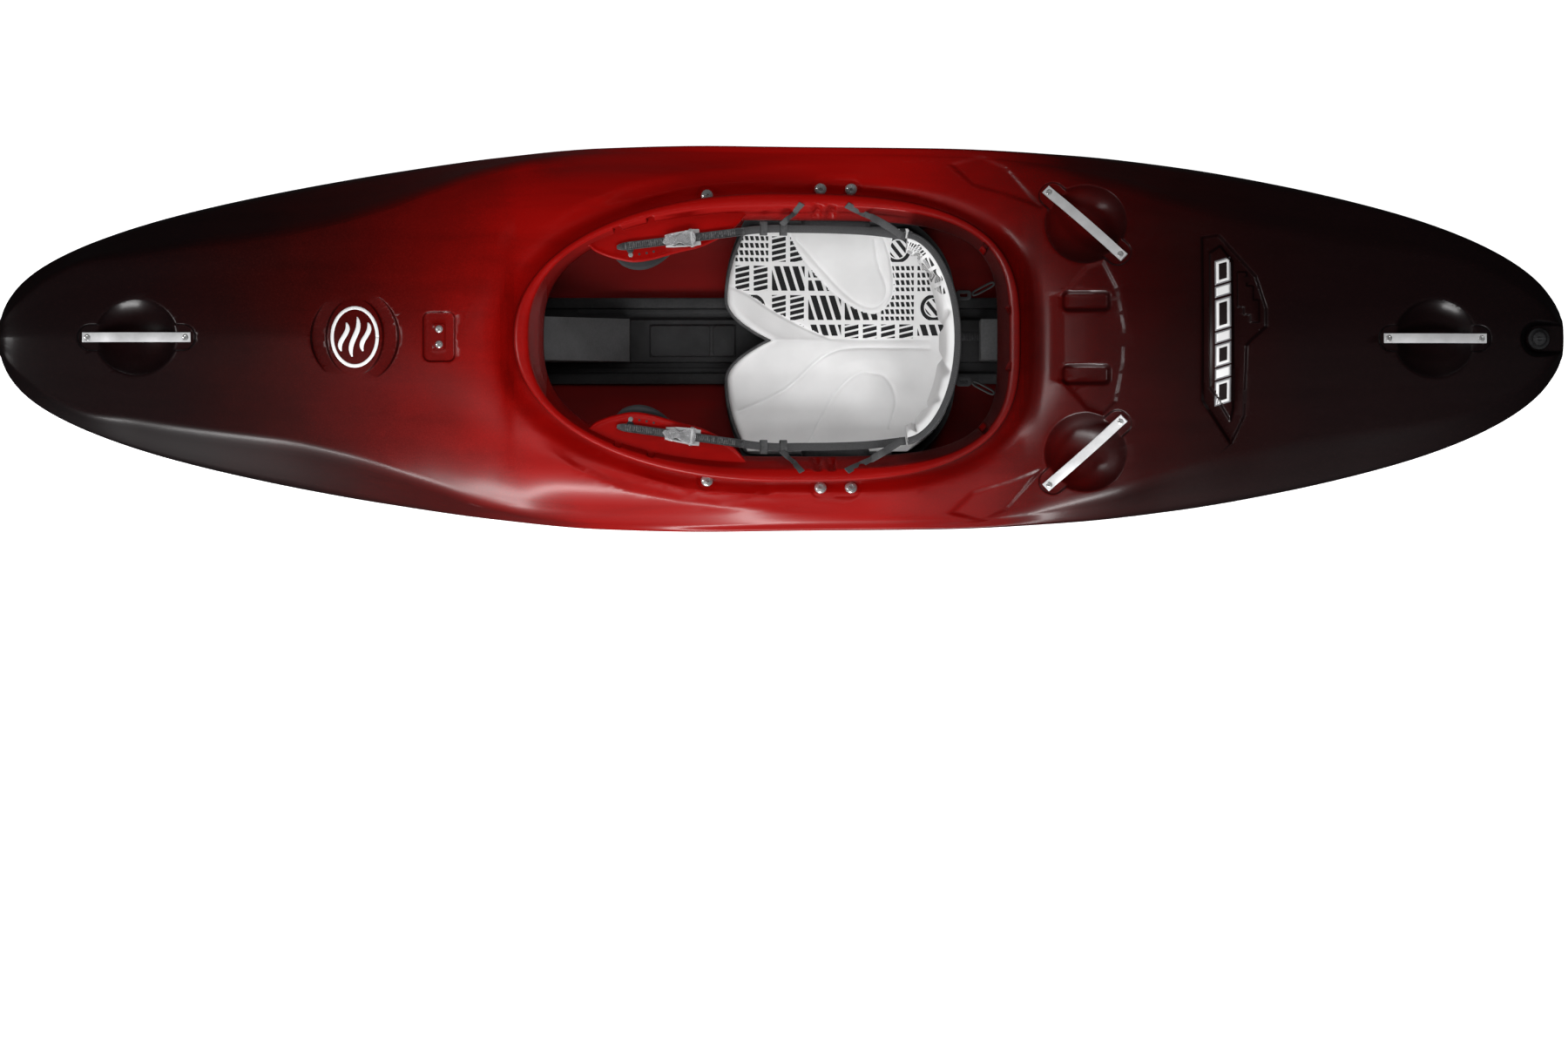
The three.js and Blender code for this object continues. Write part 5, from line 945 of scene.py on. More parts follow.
def makeHullFinish():
    form = hullFinish
    material, tree, shader = newMaterial("hullRed", form["roughness"], 0.0, form["coat"],
                                         form["coatRoughness"])
    place = objectPlace(tree)
    x, y, z = parts(tree, place)
    made = useGroup(tree, grainGroup, **{"Place": place, "Cloud scale": 7.0, "Grain scale": 520.0})
    drift = times(tree, minus(tree, made.outputs["Cloud"], 0.5), form["drift"])
    fine = times(tree, minus(tree, made.outputs["Grain"], 0.5), form["drift"])
    facing = parts(tree, tree.nodes.new("ShaderNodeNewGeometry").outputs["True Normal"])[2]
    # painted shade: surfaces that face sideways are shifted towards the darker bands of the ends
    sideways = spread(tree, facing, 0.88, 0.35)
    push = times(tree, sideways, form["drift"])
    distance = maths(tree, "ABSOLUTE", x)
    outward = times(tree, maths(tree, "SIGN", x), push)
    moved = plus(tree, plus(tree, plus(tree, x, drift), fine), outward)
    bands = form["bands"]
    ramp = tree.nodes.new("ShaderNodeValToRGB")
    length = bands[-1][0] - bands[0][0]
    while len(ramp.color_ramp.elements) < len(bands):
        ramp.color_ramp.elements.new(0.5)
    for element, (at, colour) in zip(ramp.color_ramp.elements, bands):
        element.position = (at - bands[0][0]) / length
        element.color = (*screenColour(*colour), 1)
    feed(tree, ramp.inputs["Fac"], spread(tree, moved, bands[0][0], bands[-1][0]))
    # painted shade: sideways-facing surfaces far from amidships are mixed to black
    far = spread(tree, plus(tree, distance, times(tree, fine, 1.5)), form["sideShadeFrom"], form["sideTo"])
    tone = colourMix(tree, times(tree, sideways, far), ramp.outputs["Color"],
                     screenColour(*form["sideShade"]))
    streak = noise(tree, vectorMaths(tree, "MULTIPLY", place, (3.0, 30.0, 30.0)), 1.0, 3.0, 0.6)
    tone = colourMix(tree, times(tree, spread(tree, streak, 0.45, 0.75), 0.18), tone, (0.0, 0.0, 0.0))
    # painted sheen: some flecks of the grain are mixed a little towards pale pink
    sheenSpecks = times(tree, spread(tree, made.outputs["Grain"], 0.55, 0.75), 0.012)
    tone = colourMix(tree, sheenSpecks, tone, screenColour(*form["scuff"]))
    # painted shade: the floor inside the hull, low and facing up, is mixed towards a dark red
    low = times(tree, spread(tree, z, 0.13, 0.09), above(tree, facing, 0.05))
    tone = colourMix(tree, times(tree, low, 0.45), tone, screenColour(*form["floorShade"]))
    feed(tree, shader.inputs["Base Color"], tone)
    # the cockpit's own walls are duller, so that they don't mirror the seat
    halfLength, halfWidth = form["cockpit"]
    within = times(tree, below(tree, distance, halfLength),
                   below(tree, maths(tree, "ABSOLUTE", y), halfWidth))
    steep = times(tree, within, spread(tree, facing, 0.75, 0.45))
    feed(tree, shader.inputs["Coat Weight"], spread(tree, steep, 0.0, 1.0, form["coat"], 0.0))
    rough = spread(tree, made.outputs["Grain"], 0.3, 0.7, 0.36, 0.50)
    feed(tree, shader.inputs["Roughness"], maths(tree, "MULTIPLY_ADD", steep, 0.4, rough))
    shader.inputs["Specular IOR Level"].default_value = 0.12
    orange = noise(tree, place, 260.0, 2.0, 0.5)
    height = maths(tree, "MULTIPLY_ADD", orange, 0.8, made.outputs["Grain"])
    feed(tree, shader.inputs["Normal"], bump(tree, height, 0.10, 0.0005))
    return material


def place(piece, body, slotName, *nodes):
    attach(piece, body)
    if nodes:
        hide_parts(*nodes)
    return piece


red = makeHullFinish()
skin = place(makeHullSkin(red), "hull", "hull_plastic", "hull_shell")
rimPiece = place(makeCoaming(red, bvhOf(skin)), "hull", "hull_plastic", "hull_shell")
print("coaming", len(rimPiece.data.polygons))


# After the colour: roughness, metallic, shade, cloud scale, grain scale, bumpiness, wear with painted hollow
# shade, and the worn colour
steel = stuff("steelBright", (0.70,) * 3, 0.27, 0.75, 0.10, 60.0, 2500.0, 0.05, 0.1)
aluminium = stuff("aluminiumBrushed", (0.84, 0.84, 0.85), 0.36, 0.55, 0.08, 30.0, 1800.0, 0.10, 0.2,
                  (0.9,) * 3)
blackPlastic = stuff("blackPlastic", (0.014, 0.014, 0.015), 0.42, 0.0, 0.25, 20.0, 1400.0, 0.20, 0.25,
                     (0.12,) * 3)
railPlastic = stuff("railPlastic", (0.026, 0.026, 0.027), 0.46, 0.0, 0.25, 14.0, 900.0, 0.30, 0.4,
                    (0.10,) * 3)
ladderPlastic = stuff("ladderPlastic", (0.035, 0.035, 0.037), 0.38, 0.0, 0.2, 30.0, 1800.0, 0.15, 0.6,
                      (0.22,) * 3)
greyFoam = stuff("greyFoam", (0.070, 0.070, 0.072), 0.92, 0.0, 0.12, 20.0, 700.0, 0.6, 0.5, (0.16,) * 3)
darkFoam = stuff("darkFoam", (0.028, 0.028, 0.030), 0.88, 0.0, 0.2, 20.0, 800.0, 0.6, 0.5, (0.10,) * 3)
rubber = stuff("sealRubber", (0.012,) * 3, 0.7, 0.0, 0.2, 40.0, 1500.0, 0.3, 0.2, (0.06,) * 3)


# Takes what modifiers make of a piece as its own mesh
def settle(piece):
    shown = piece.evaluated_get(bpy.context.evaluated_depsgraph_get())
    data = bpy.data.meshes.new_from_object(shown)
    piece.modifiers.clear()
    piece.data = data
    return piece


# A finer copy of a CAD node: merged, with flat faces joined, its edges rounded
def refine(node, name, material, bevel, segments=2, sharp=30, flat=1.0):
    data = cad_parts[node].data.copy()
    data.materials.clear()
    data.materials.append(material)
    piece = linked(name, data)

    def work(shape):
        bmesh.ops.remove_doubles(shape, verts=shape.verts, dist=0.00005)
        bmesh.ops.dissolve_limit(shape, angle_limit=math.radians(flat), verts=shape.verts, edges=shape.edges)
    reworked(piece, work)
    data.shade_smooth()
    rounding = piece.modifiers.new("round", "BEVEL")
    rounding.width = bevel
    rounding.segments = segments
    rounding.limit_method = "ANGLE"
    rounding.angle_limit = math.radians(sharp)
    rounding.harden_normals = False
    settle(piece)
    piece.data.set_sharp_from_angle(angle=math.radians(40))
    return piece


# A CAD node refined and put in its place, named after the node
def fitting(node, material, body, slotName, *finish, name=None):
    first, *rest = node.split("_")
    piece = refine(node, name or first + "".join(word.title() for word in rest), material, *finish)
    return place(piece, body, slotName, node)


# One turned shape: a profile of (radius, height) swept round Z, fluted where asked
def turned(name, profile, sides, material, flute=0.0, flutes=0):
    points = []
    for radius, height in profile:
        for k in range(sides):
            turn = 2 * math.pi * k / sides
            r = radius * (1 - flute * (0.5 - 0.5 * math.cos(turn * flutes))) if flutes else radius
            points.append((r * math.cos(turn), r * math.sin(turn), height))
    return meshFrom(name, points, sweptFaces(len(profile), sides, False), material, sharp=35)


# Geometry Nodes: a small shape on every point, stood along the point's "facing" and turned to its "along"
def makeScatter():
    group = bpy.data.node_groups.new("scatter", "GeometryNodeTree")
    sockets = {}
    for label, kind in (("Points", "Geometry"), ("Shape", "Object"), ("Size", "Float"),
                        ("Size spread", "Float"), ("Seed", "Int"), ("Material", "Material")):
        socket = group.interface.new_socket(label, in_out="INPUT", socket_type="NodeSocket" + kind)
        sockets[label] = socket.identifier
    group.interface.new_socket("Pieces", in_out="OUTPUT", socket_type="NodeSocketGeometry")
    given = group.nodes.new("NodeGroupInput").outputs

    def add(kind, links, **settings):
        node = group.nodes.new(kind)
        for key, value in settings.items():
            setattr(node, key, value)
        for key, source in links.items():
            group.links.new(source, node.inputs[key])
        return node
    shape = add("GeometryNodeObjectInfo", {"Object": given["Shape"]})
    turn = {}
    for label, axis, pivot in (("facing", "Z", "AUTO"), ("along", "X", "Z")):
        named = group.nodes.new("GeometryNodeInputNamedAttribute")
        named.data_type = "FLOAT_VECTOR"
        named.inputs["Name"].default_value = label
        align = add("FunctionNodeAlignRotationToVector", {"Vector": named.outputs["Attribute"], **turn},
                    axis=axis, pivot_axis=pivot)
        turn = {"Rotation": align.outputs["Rotation"]}
    chance = add("FunctionNodeRandomValue", {"Seed": given["Seed"]})
    scale = add("ShaderNodeMath", {0: chance.outputs[1], 1: given["Size spread"], 2: given["Size"]},
                operation="MULTIPLY_ADD")
    spots = add("GeometryNodeInstanceOnPoints", {
        "Points": given["Points"], "Instance": shape.outputs["Geometry"], "Scale": scale.outputs[0], **turn})
    real = add("GeometryNodeRealizeInstances", {"Geometry": spots.outputs["Instances"]})
    dress = add("GeometryNodeSetMaterial",
                {"Geometry": real.outputs["Geometry"], "Material": given["Material"]})
    add("NodeGroupOutput", {"Pieces": dress.outputs["Geometry"]})
    return group, sockets


scatterGroup, scatterSockets = makeScatter()


# spots is a list of (place, facing, along)
def scatter(name, spots, shape, material, size=1.0):
    piece = meshFrom(name, [s[0] for s in spots], [], smoothly=False)
    for label, k in (("facing", 1), ("along", 2)):
        layer = piece.data.attributes.new(label, "FLOAT_VECTOR", "POINT")
        layer.data.foreach_set("vector", np.array([tuple(s[k]) for s in spots], float).ravel())
    work = piece.modifiers.new("scatter", "NODES")
    work.node_group = scatterGroup
    for label, value in (("Shape", shape), ("Size", size), ("Size spread", 0.0), ("Seed", 3),
                         ("Material", material)):
        work[scatterSockets[label]] = value
    settle(piece)
    if not piece.data.materials:
        piece.data.materials.append(material)
    piece.data.set_sharp_from_angle(angle=math.radians(35))
    return piece


def hideShape(shape):
    bpy.data.objects.remove(shape)


# The four corners of a rounded box: the way each lies, and the angles round it
def cornerTurns(count):
    return [(cx, cy, math.radians(start + 90 / (count - 1) * k))
            for cx, cy, start in ((1, 1, 0), (-1, 1, 90), (-1, -1, 180), (1, -1, 270)) for k in range(count)]


# A ribbon or bar along points, with its face turned to given ways; UV runs in metres
def ribbon(name, points, faces, width, thickness, material, roundShare=0.45):
    pts = [Vector(p) for p in points]
    corner = min(width, thickness) * roundShare
    ring = [(cx * (width / 2 - corner) + corner * math.cos(a),
             cz * (thickness / 2 - corner) + corner * math.sin(a))
            for cx, cz, a in cornerTurns(3)]
    rings, lengths = [], [0.0]
    for i, p in enumerate(pts):
        along = (pts[min(i + 1, len(pts) - 1)] - pts[max(i - 1, 0)]).normalized()
        face = Vector(faces[i]) - along * along.dot(Vector(faces[i]))
        face.normalize()
        across = face.cross(along)
        rings.append([p + across * a + face * b for a, b in ring])
        if i:
            lengths.append(lengths[-1] + (p - pts[i - 1]).length)
    count = len(ring)
    piece = swept(name, rings, material, sharp=50)
    layer = piece.data.uv_layers.new(name="UVMap")
    values = [value for face in piece.data.polygons for v in face.vertices
              for value in (lengths[v // count], ring[v % count][0])]
    layer.data.foreach_set("uv", values)
    return piece


def swept(name, rings, material, closed=False, sharp=None):
    points = [p for ring in rings for p in ring]
    return meshFrom(name, points, sweptFaces(len(rings), len(rings[0]), closed), material, sharp=sharp)


# A smooth way through a few points
def smoothWay(points, count):
    pts = [Vector(p) for p in points]
    way = []
    for k in range(count):
        t = k / (count - 1) * (len(pts) - 1)
        i = min(int(t), len(pts) - 2)
        f = t - i
        p0, p1, p2, p3 = pts[max(i - 1, 0)], pts[i], pts[i + 1], pts[min(i + 2, len(pts) - 1)]
        curve = (2 * p1) + (p2 - p0) * f + (2 * p0 - 5 * p1 + 4 * p2 - p3) * f * f
        way.append(0.5 * (curve + (3 * p1 - p0 - 3 * p2 + p3) * f ** 3))
    return way


# The same in plan, through (x, y)
def planWay(line, count=60):
    return [(p.x, p.y) for p in smoothWay([(x, y, 0) for x, y in line], count)]


# An angle's sine or cosine pushed outwards, which squares a loop
def squarer(value, power):
    return math.copysign(abs(value) ** power, value)


def tube(name, way, radius, material, closed=False):
    pts = [Vector(p) for p in way]
    rings = []
    side = Vector((0.0, 0.0, 1.0))
    turns = [2 * math.pi * k / 10 for k in range(10)]
    for i, p in enumerate(pts):
        before = pts[i - 1] if (closed or i) else p
        after = pts[(i + 1) % len(pts)] if (closed or i + 1 < len(pts)) else p
        along = (after - before).normalized()
        side = (side - along * side.dot(along)).normalized()
        other = along.cross(side)
        rings.append([p + side * radius * math.cos(a) + other * radius * math.sin(a) for a in turns])
    return swept(name, rings, material, closed)


def joined(name, pieces):
    shape = bmesh.new()
    materials = []
    for piece in pieces:
        offset = len(materials)
        materials += [m for m in piece.data.materials]
        start = len(shape.faces)
        shape.from_mesh(piece.data)
        shape.faces.ensure_lookup_table()
        for face in shape.faces[start:]:
            face.material_index += offset
    data = bpy.data.meshes.new(name)
    shape.to_mesh(data)
    shape.free()
    for material in materials:
        data.materials.append(material)
    for piece in pieces:
        bpy.data.objects.remove(piece)
    return linked(name, data)


# A place along the axes of a seat or buckle
def axes(frameOf, x=0.0, y=0.0, z=0.0):
    origin, along, across, up = frameOf
    return origin + along * x + across * y + up * z


# Place and slope of the moulded deck under a point
def deckPlace(x, y, reach=0.004):
    xs = np.array([x, x + reach, x - reach, x, x])
    ys = np.array([y, y, y, y + reach, y - reach])
    z = shapedDeck(xs, ys, deckHeight(xs, ys))
    normal = Vector((-(z[1] - z[2]) / (2 * reach), -(z[3] - z[4]) / (2 * reach), 1)).normalized()
    return Vector((x, y, float(z[0]))), normal


# Handles: bars with rounded edges, and the screws that hold them
def makeHandles():
    for name in handles:
        fitting(f"{name}_grab_handle", aluminium, "hull", "handle_aluminium", 0.0011, 3, name=f"{name}Handle")
    head = turned("screwHead", [
        (0.0008, -0.0030), (0.0024, -0.0030), (0.0050, -0.0004), (0.0050, 0.0000), (0.0044, 0.0005),
        (0.0026, 0.0008), (0.0022, 0.0004), (0.0021, -0.0012), (0.0004, -0.0012)], 18, steel)
    spots, nodes = [], []
    for name, (seat, _) in handles.items():
        for node in (f"{name}_handle_screw_front", f"{name}_handle_screw_rear"):
            tops = sorted(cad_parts[node].data.vertices, key=lambda v: -(v.co - seat[0]).dot(seat[3]))
            highest = (tops[0].co - seat[0]).dot(seat[3])
            flat = [v.co for v in tops if (v.co - seat[0]).dot(seat[3]) > highest - 0.0002]
            spots.append((sum(flat, Vector()) / len(flat), seat[3], seat[1]))
            nodes.append(node)
    place(scatter("handleScrews", spots, head, steel), "hull", "stainless_steel", *nodes)
    hideShape(head)


makeHandles()


# Domed bolts with a socket, two sizes, standing on the deck and the sides
def makeBolts():
    dome = turned("dome", [
        (0.0088, -0.0012), (0.0096, -0.0004), (0.0097, 0.0006), (0.0088, 0.0026), (0.0070, 0.0042),
        (0.0048, 0.0051), (0.0036, 0.0053), (0.0033, 0.0049), (0.0031, 0.0028), (0.0004, 0.0026)], 28, steel)
    spots = []
    x0, x1, yb = deckForms["hangerBolts"]
    for side in (1, -1):
        for x, y in ((x0, yb), (x1, yb), deckForms["braceBolt"]):
            at, normal = deckPlace(x, side * y, 0.007)
            spots.append((at + normal * 0.0026, normal, Vector((math.cos(x * 90), math.sin(x * 90), 0))))
    form = deckForms["sideSlot"]
    fx, fz, h = form["x"], form["z"], 0.004

    def plane(x, z):
        return float(sidePlane(x, z))
    slopeX = (plane(fx + h, fz) - plane(fx - h, fz)) / (2 * h)
    slopeZ = (plane(fx, fz + h) - plane(fx, fz - h)) / (2 * h)
    for side in (1, -1):
        at = Vector((fx, side * (plane(fx, fz) - form["depth"]), fz))
        spots.append((at, Vector((-slopeX, side, -slopeZ)).normalized(), Vector((0.9, 0, 0.4))))
    nodes = [f"{kind}_{side}" for kind in ("brace_bolt", "foot_rail_bolt", "hanger_bolts")
             for side in ("left", "right")]
    place(scatter("deckBolts", spots, dome, steel), "hull", "stainless_steel", *nodes)
    small = [(axes(screwSeat, 0.0, y, deckForms["screwPad"]["rise"]), screwSeat[3],
              Vector((0.8, 0.5 + y * 30, 0))) for y in (0.012, -0.012)]
    place(scatter("pillarBolts", small, dome, steel, 0.62), "hull", "stainless_steel", "pillar_screws")
    hideShape(dome)


makeBolts()


# Seat: a shell of black plastic and a stitched, padded white cover
seatForm = {
    "halfWidth": 0.190, "padHalf": 0.1775, "padInset": 0.0045,
    "rearX": 0.275, "notchX": -0.022, "lobeX": -0.094, "cornerX": -0.062,
    "notchShare": 0.36, "rearCornerShare": 0.22, "rearCornerPower": 4,
    "frontRise": 0.040, "sideRise": 0.058, "rearRise": 0.020, "flatFrontShare": 0.5, "flatRearShare": 0.78,
    "sidePower": 6, "sideFrontShare": 0.75,
    "pan": 0.005, "pad": 0.017, "gap": 0.0004, "roll": 0.013, "edge": 0.30,
    "channel": 0.005, "channelShare": 0.09, "hump": 0.014, "wrinkle": 0.0006,
    "columns": 230, "rows": 210, "crowding": 0.80, "evenness": 0.6,
    "seamDepth": 0.0030, "seamWidth": 0.0026, "puff": 0.0022, "puffReach": 0.016,
    "seams": {
        "portInner": [(-0.072, -0.114), (-0.035, -0.098), (0.0, -0.080), (0.027, -0.058), (0.046, -0.039),
                      (0.073, -0.020), (0.114, -0.0115), (0.232, -0.012)],
        "portLoop": [(0.039, -0.166), (0.052, -0.140), (0.065, -0.116), (0.081, -0.088), (0.097, -0.068),
                     (0.113, -0.0555), (0.128, -0.050), (0.143, -0.052), (0.156, -0.054), (0.166, -0.062),
                     (0.174, -0.075), (0.178, -0.089), (0.179, -0.102), (0.174, -0.122), (0.169, -0.139)],
        "inner": [(-0.092, 0.088), (-0.061, 0.076), (-0.018, 0.048), (0.028, 0.023), (0.065, 0.0075),
                  (0.092, 0.0025), (0.232, 0.0025)],
        "loop": [(0.010, 0.169), (0.028, 0.135), (0.065, 0.090), (0.097, 0.0625), (0.128, 0.046),
                 (0.151, 0.046), (0.169, 0.0625), (0.175, 0.090), (0.169, 0.135), (0.158, 0.166)],
        "secondLoop": [(0.019, 0.162), (0.051, 0.1255), (0.083, 0.090), (0.114, 0.0625), (0.142, 0.0527),
                       (0.161, 0.0665), (0.1625, 0.090), (0.151, 0.1215), (0.1445, 0.160)]},
    # the print lies outside the starboard inner seam and its loop, which are drawn on to the edges
    "floorEnd": [(0.30, 0.0025)],
    "holeEnd": [(0.158, 0.200), (0.0, 0.200)],
    "printMargin": 0.001,
    "binding": {"inset": 0.0033, "half": 0.1785, "rise": 0.0030, "radius": 0.0039, "step": 0.0022,
                "slopeShare": 0.94},
}
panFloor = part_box("seat_pan")[0][2]


def seatPlan(u, v, inset=0.0, half=None):
    s = seatForm
    out = np.abs(v)
    lobe = np.clip(out / s["notchShare"], 0, 1)
    inner = mix(s["notchX"], s["lobeX"], np.sin(lobe * np.pi / 2) ** 0.86)
    outer = mix(s["lobeX"], s["cornerX"], (np.clip(out - s["notchShare"], 0, 1) / (1 - s["notchShare"])) ** 2)
    front = np.where(out < s["notchShare"], inner, outer)
    rear = s["rearX"] - (s["rearX"] - s["cornerX"]) * s["rearCornerShare"] * out ** s["rearCornerPower"]
    return mix(front + inset, rear - inset, u), v * (half or s["halfWidth"])


def seatRise(u, v):
    s = seatForm
    fore = np.clip(1 - u / s["flatFrontShare"], 0, 1) ** 2
    aft = np.clip((u - s["flatRearShare"]) / (1 - s["flatRearShare"]), 0, 1) ** 2
    side = np.abs(v) ** s["sidePower"] * mix(s["sideFrontShare"], 1, u)
    return s["frontRise"] * fore + s["rearRise"] * aft + s["sideRise"] * side


# Distance of places in plan to an open line, which is smoothed first
def lineDistance(x, y, line):
    way = planWay(line)
    best = np.full(np.shape(x), 9.0)
    for (px, py), (qx, qy) in zip(way[:-1], way[1:]):
        ex, ey = qx - px, qy - py
        t = np.clip(((x - px) * ex + (y - py) * ey) / (ex * ex + ey * ey + 1e-12), 0, 1)
        best = np.minimum(best, np.hypot(x - px - t * ex, y - py - t * ey))
    return best


def gridFaces(rows, columns, start=0, flipped=False):
    faces = []
    for i in range(rows - 1):
        for j in range(columns - 1):
            a = start + i * columns + j
            face = (a, a + 1, a + columns + 1, a + columns)
            faces.append(face[::-1] if flipped else face)
    return faces


# A closed slab between an upper and a lower grid of the same size
def slab(name, upper, lower, material):
    rows, columns = upper.shape[:2]
    count = rows * columns
    edge = [(0, j) for j in range(columns)] + [(i, columns - 1) for i in range(1, rows)]
    edge += [(rows - 1, j) for j in range(columns - 2, -1, -1)] + [(i, 0) for i in range(rows - 2, 0, -1)]
    ring = [i * columns + j for i, j in edge]
    faces = gridFaces(rows, columns) + gridFaces(rows, columns, count, True)
    faces += [(b, a, count + a, count + b) for a, b in zip(ring, ring[1:] + ring[:1])]
    piece = facedOut(meshFrom(name, np.concatenate([upper.reshape(-1, 3), lower.reshape(-1, 3)]), faces,
                              material))
    piece.data.set_sharp_from_angle(angle=math.radians(60))
    return piece


# A geometric print of our own: cells of slanted bars, short bars and rings; gives 1 where it is black
def makePrintGroup():
    group, given, out = newGroup("blockPrint", [
        ("Place", "Vector", None), ("Cell", "Float", 0.03), ("Seed", "Float", 0.0)], [("Ink", "Float")])
    cell, seed = given.outputs["Cell"], given.outputs["Seed"]
    inCells = vectorMaths(group, "DIVIDE", given.outputs["Place"],
                          together(group, cell, times(group, cell, 0.8), 1.0))
    px, py, _ = parts(group, vectorMaths(group, "ADD", inCells, together(group, seed, seed, 0.0)))
    cx, cy = maths(group, "FLOOR", px), maths(group, "FLOOR", py)
    fx, fy = maths(group, "FRACT", px), maths(group, "FRACT", py)
    chance = group.nodes.new("ShaderNodeTexWhiteNoise")
    chance.noise_dimensions = "3D"
    feed(group, chance.inputs["Vector"], together(group, cx, cy, 3.0))
    r = chance.outputs["Value"]
    r2, r3, _ = parts(group, chance.outputs["Color"])

    def inside(value, low, high):
        return times(group, above(group, value, low), below(group, value, high))

    def bars(along, across, count, lean, share):
        s = maths(group, "FRACT", times(group, maths(group, "MULTIPLY_ADD", across, lean, along), count))
        return above(group, s, share)
    frameMask = times(group, inside(fx, 0.05, 0.95), inside(fy, 0.07, 0.93))
    rowA = times(group, bars(fx, fy, 4.0, 0.25, 0.34), inside(fy, 0.08, 0.92))
    cutA = minus(group, 1.0, times(group, inside(fy, 0.44, 0.54), above(group, r3, 0.3)))
    kindA = times(group, rowA, cutA)
    rows = maths(group, "FRACT", times(group, fx, 2.0))
    kindB = times(group, bars(fy, fx, 5.0, -0.3, 0.34), inside(rows, 0.1, 0.86))
    small = maths(group, "FRACT", times(group, fy, 4.0))
    kindC = times(group, bars(fx, small, 7.0, 0.05, 0.36), inside(small, 0.14, 0.8))
    dx, dy = minus(group, fx, 0.5), times(group, minus(group, fy, 0.5), 0.8)
    far = maths(group, "SQRT", plus(group, times(group, dx, dx), times(group, dy, dy)))
    ring = inside(far, 0.27, 0.37)
    slash = times(group, below(group, far, 0.24), bars(dx, dy, 4.0, 0.8, 0.5))
    kindD = maths(group, "MAXIMUM", ring, slash)
    ink = kindA
    for limit, kind in ((0.38, kindB), (0.70, kindC), (0.80, kindD)):
        chosen = above(group, r, limit)
        ink = plus(group, times(group, ink, minus(group, 1.0, chosen)), times(group, kind, chosen))
    blank = above(group, r2, 0.05)
    feed(group, out.inputs["Ink"], times(group, times(group, ink, frameMask), blank))
    return group


printGroup = makePrintGroup()


# White stretch fabric; where the "printed" attribute of the mesh is 1 the print shows
def makeCover(name, usesUv, cell, seed, pale):
    material, tree, shader = newMaterial(name, 0.85)
    shader.inputs["Sheen Weight"].default_value = 0.25
    at = uvPlace(tree) if usesUv else objectPlace(tree)
    x, y, _ = parts(tree, at)
    mask = tree.nodes.new("ShaderNodeAttribute")
    mask.attribute_name = "printed"
    region = above(tree, mask.outputs["Fac"], 0.5)
    inks = useGroup(tree, printGroup, **{"Place": at, "Cell": cell, "Seed": seed})
    cloud = noise(tree, at, 14.0, 3.0, 0.5)
    fine = noise(tree, at, 1800.0, 2.0, 0.5)
    white = colourMix(tree, spread(tree, cloud, 0.35, 0.7), (pale - 0.08,) * 3, (pale,) * 3)
    white = colourMix(tree, times(tree, fine, 0.10), white, (0.55, 0.55, 0.55))
    ink = times(tree, inks.outputs["Ink"], region)
    feed(tree, shader.inputs["Base Color"], colourMix(tree, ink, white, (0.012, 0.012, 0.013)))
    weave = useGroup(tree, weaveGroup, **{"U": x, "V": y, "Pitch": 0.0009})
    height = maths(tree, "MULTIPLY_ADD", noise(tree, at, 90.0, 2.0, 0.5), 1.2, weave.outputs["Height"])
    feed(tree, shader.inputs["Normal"], bump(tree, height, 0.12, 0.0003))
    return material


seatCover = makeCover("seatCover", False, 0.058, 0.37, 0.90)
# painted shade: the backband's cover takes a darker white than the seat's, for the stronger lamp light on it
bandCover = makeCover("bandCover", True, 0.066, 4.6, 0.74)


def makeWebbingCloth(name, colour, pitch):
    material, tree, shader = newMaterial(name, 0.8)
    u, v, _ = parts(tree, uvPlace(tree))
    weave = useGroup(tree, weaveGroup, **{"U": u, "V": v, "Pitch": pitch})
    # painted highlight and shade: threads are painted lighter where the weave stands up and darker between
    # them
    tone = colourMix(tree, weave.outputs["Height"], tuple(c * 0.45 for c in colour),
                     tuple(c * 1.25 for c in colour))
    fuzz = noise(tree, objectPlace(tree), 700.0, 3.0, 0.6)
    tone = colourMix(tree, times(tree, spread(tree, fuzz, 0.5, 0.8), 0.3), tone, (0.16, 0.16, 0.16))
    feed(tree, shader.inputs["Base Color"], tone)
    feed(tree, shader.inputs["Normal"], bump(tree, weave.outputs["Height"], 0.6, 0.0004))
    return material


webbingCloth = makeWebbingCloth("webbingCloth", (0.060, 0.060, 0.062), 0.0016)
bindingCloth = makeWebbingCloth("bindingCloth", (0.050, 0.050, 0.052), 0.0012)


def markPrinted(piece, values):
    layer = piece.data.attributes.new("printed", "FLOAT", "POINT")
    layer.data.foreach_set("value", np.asarray(values, float).ravel())


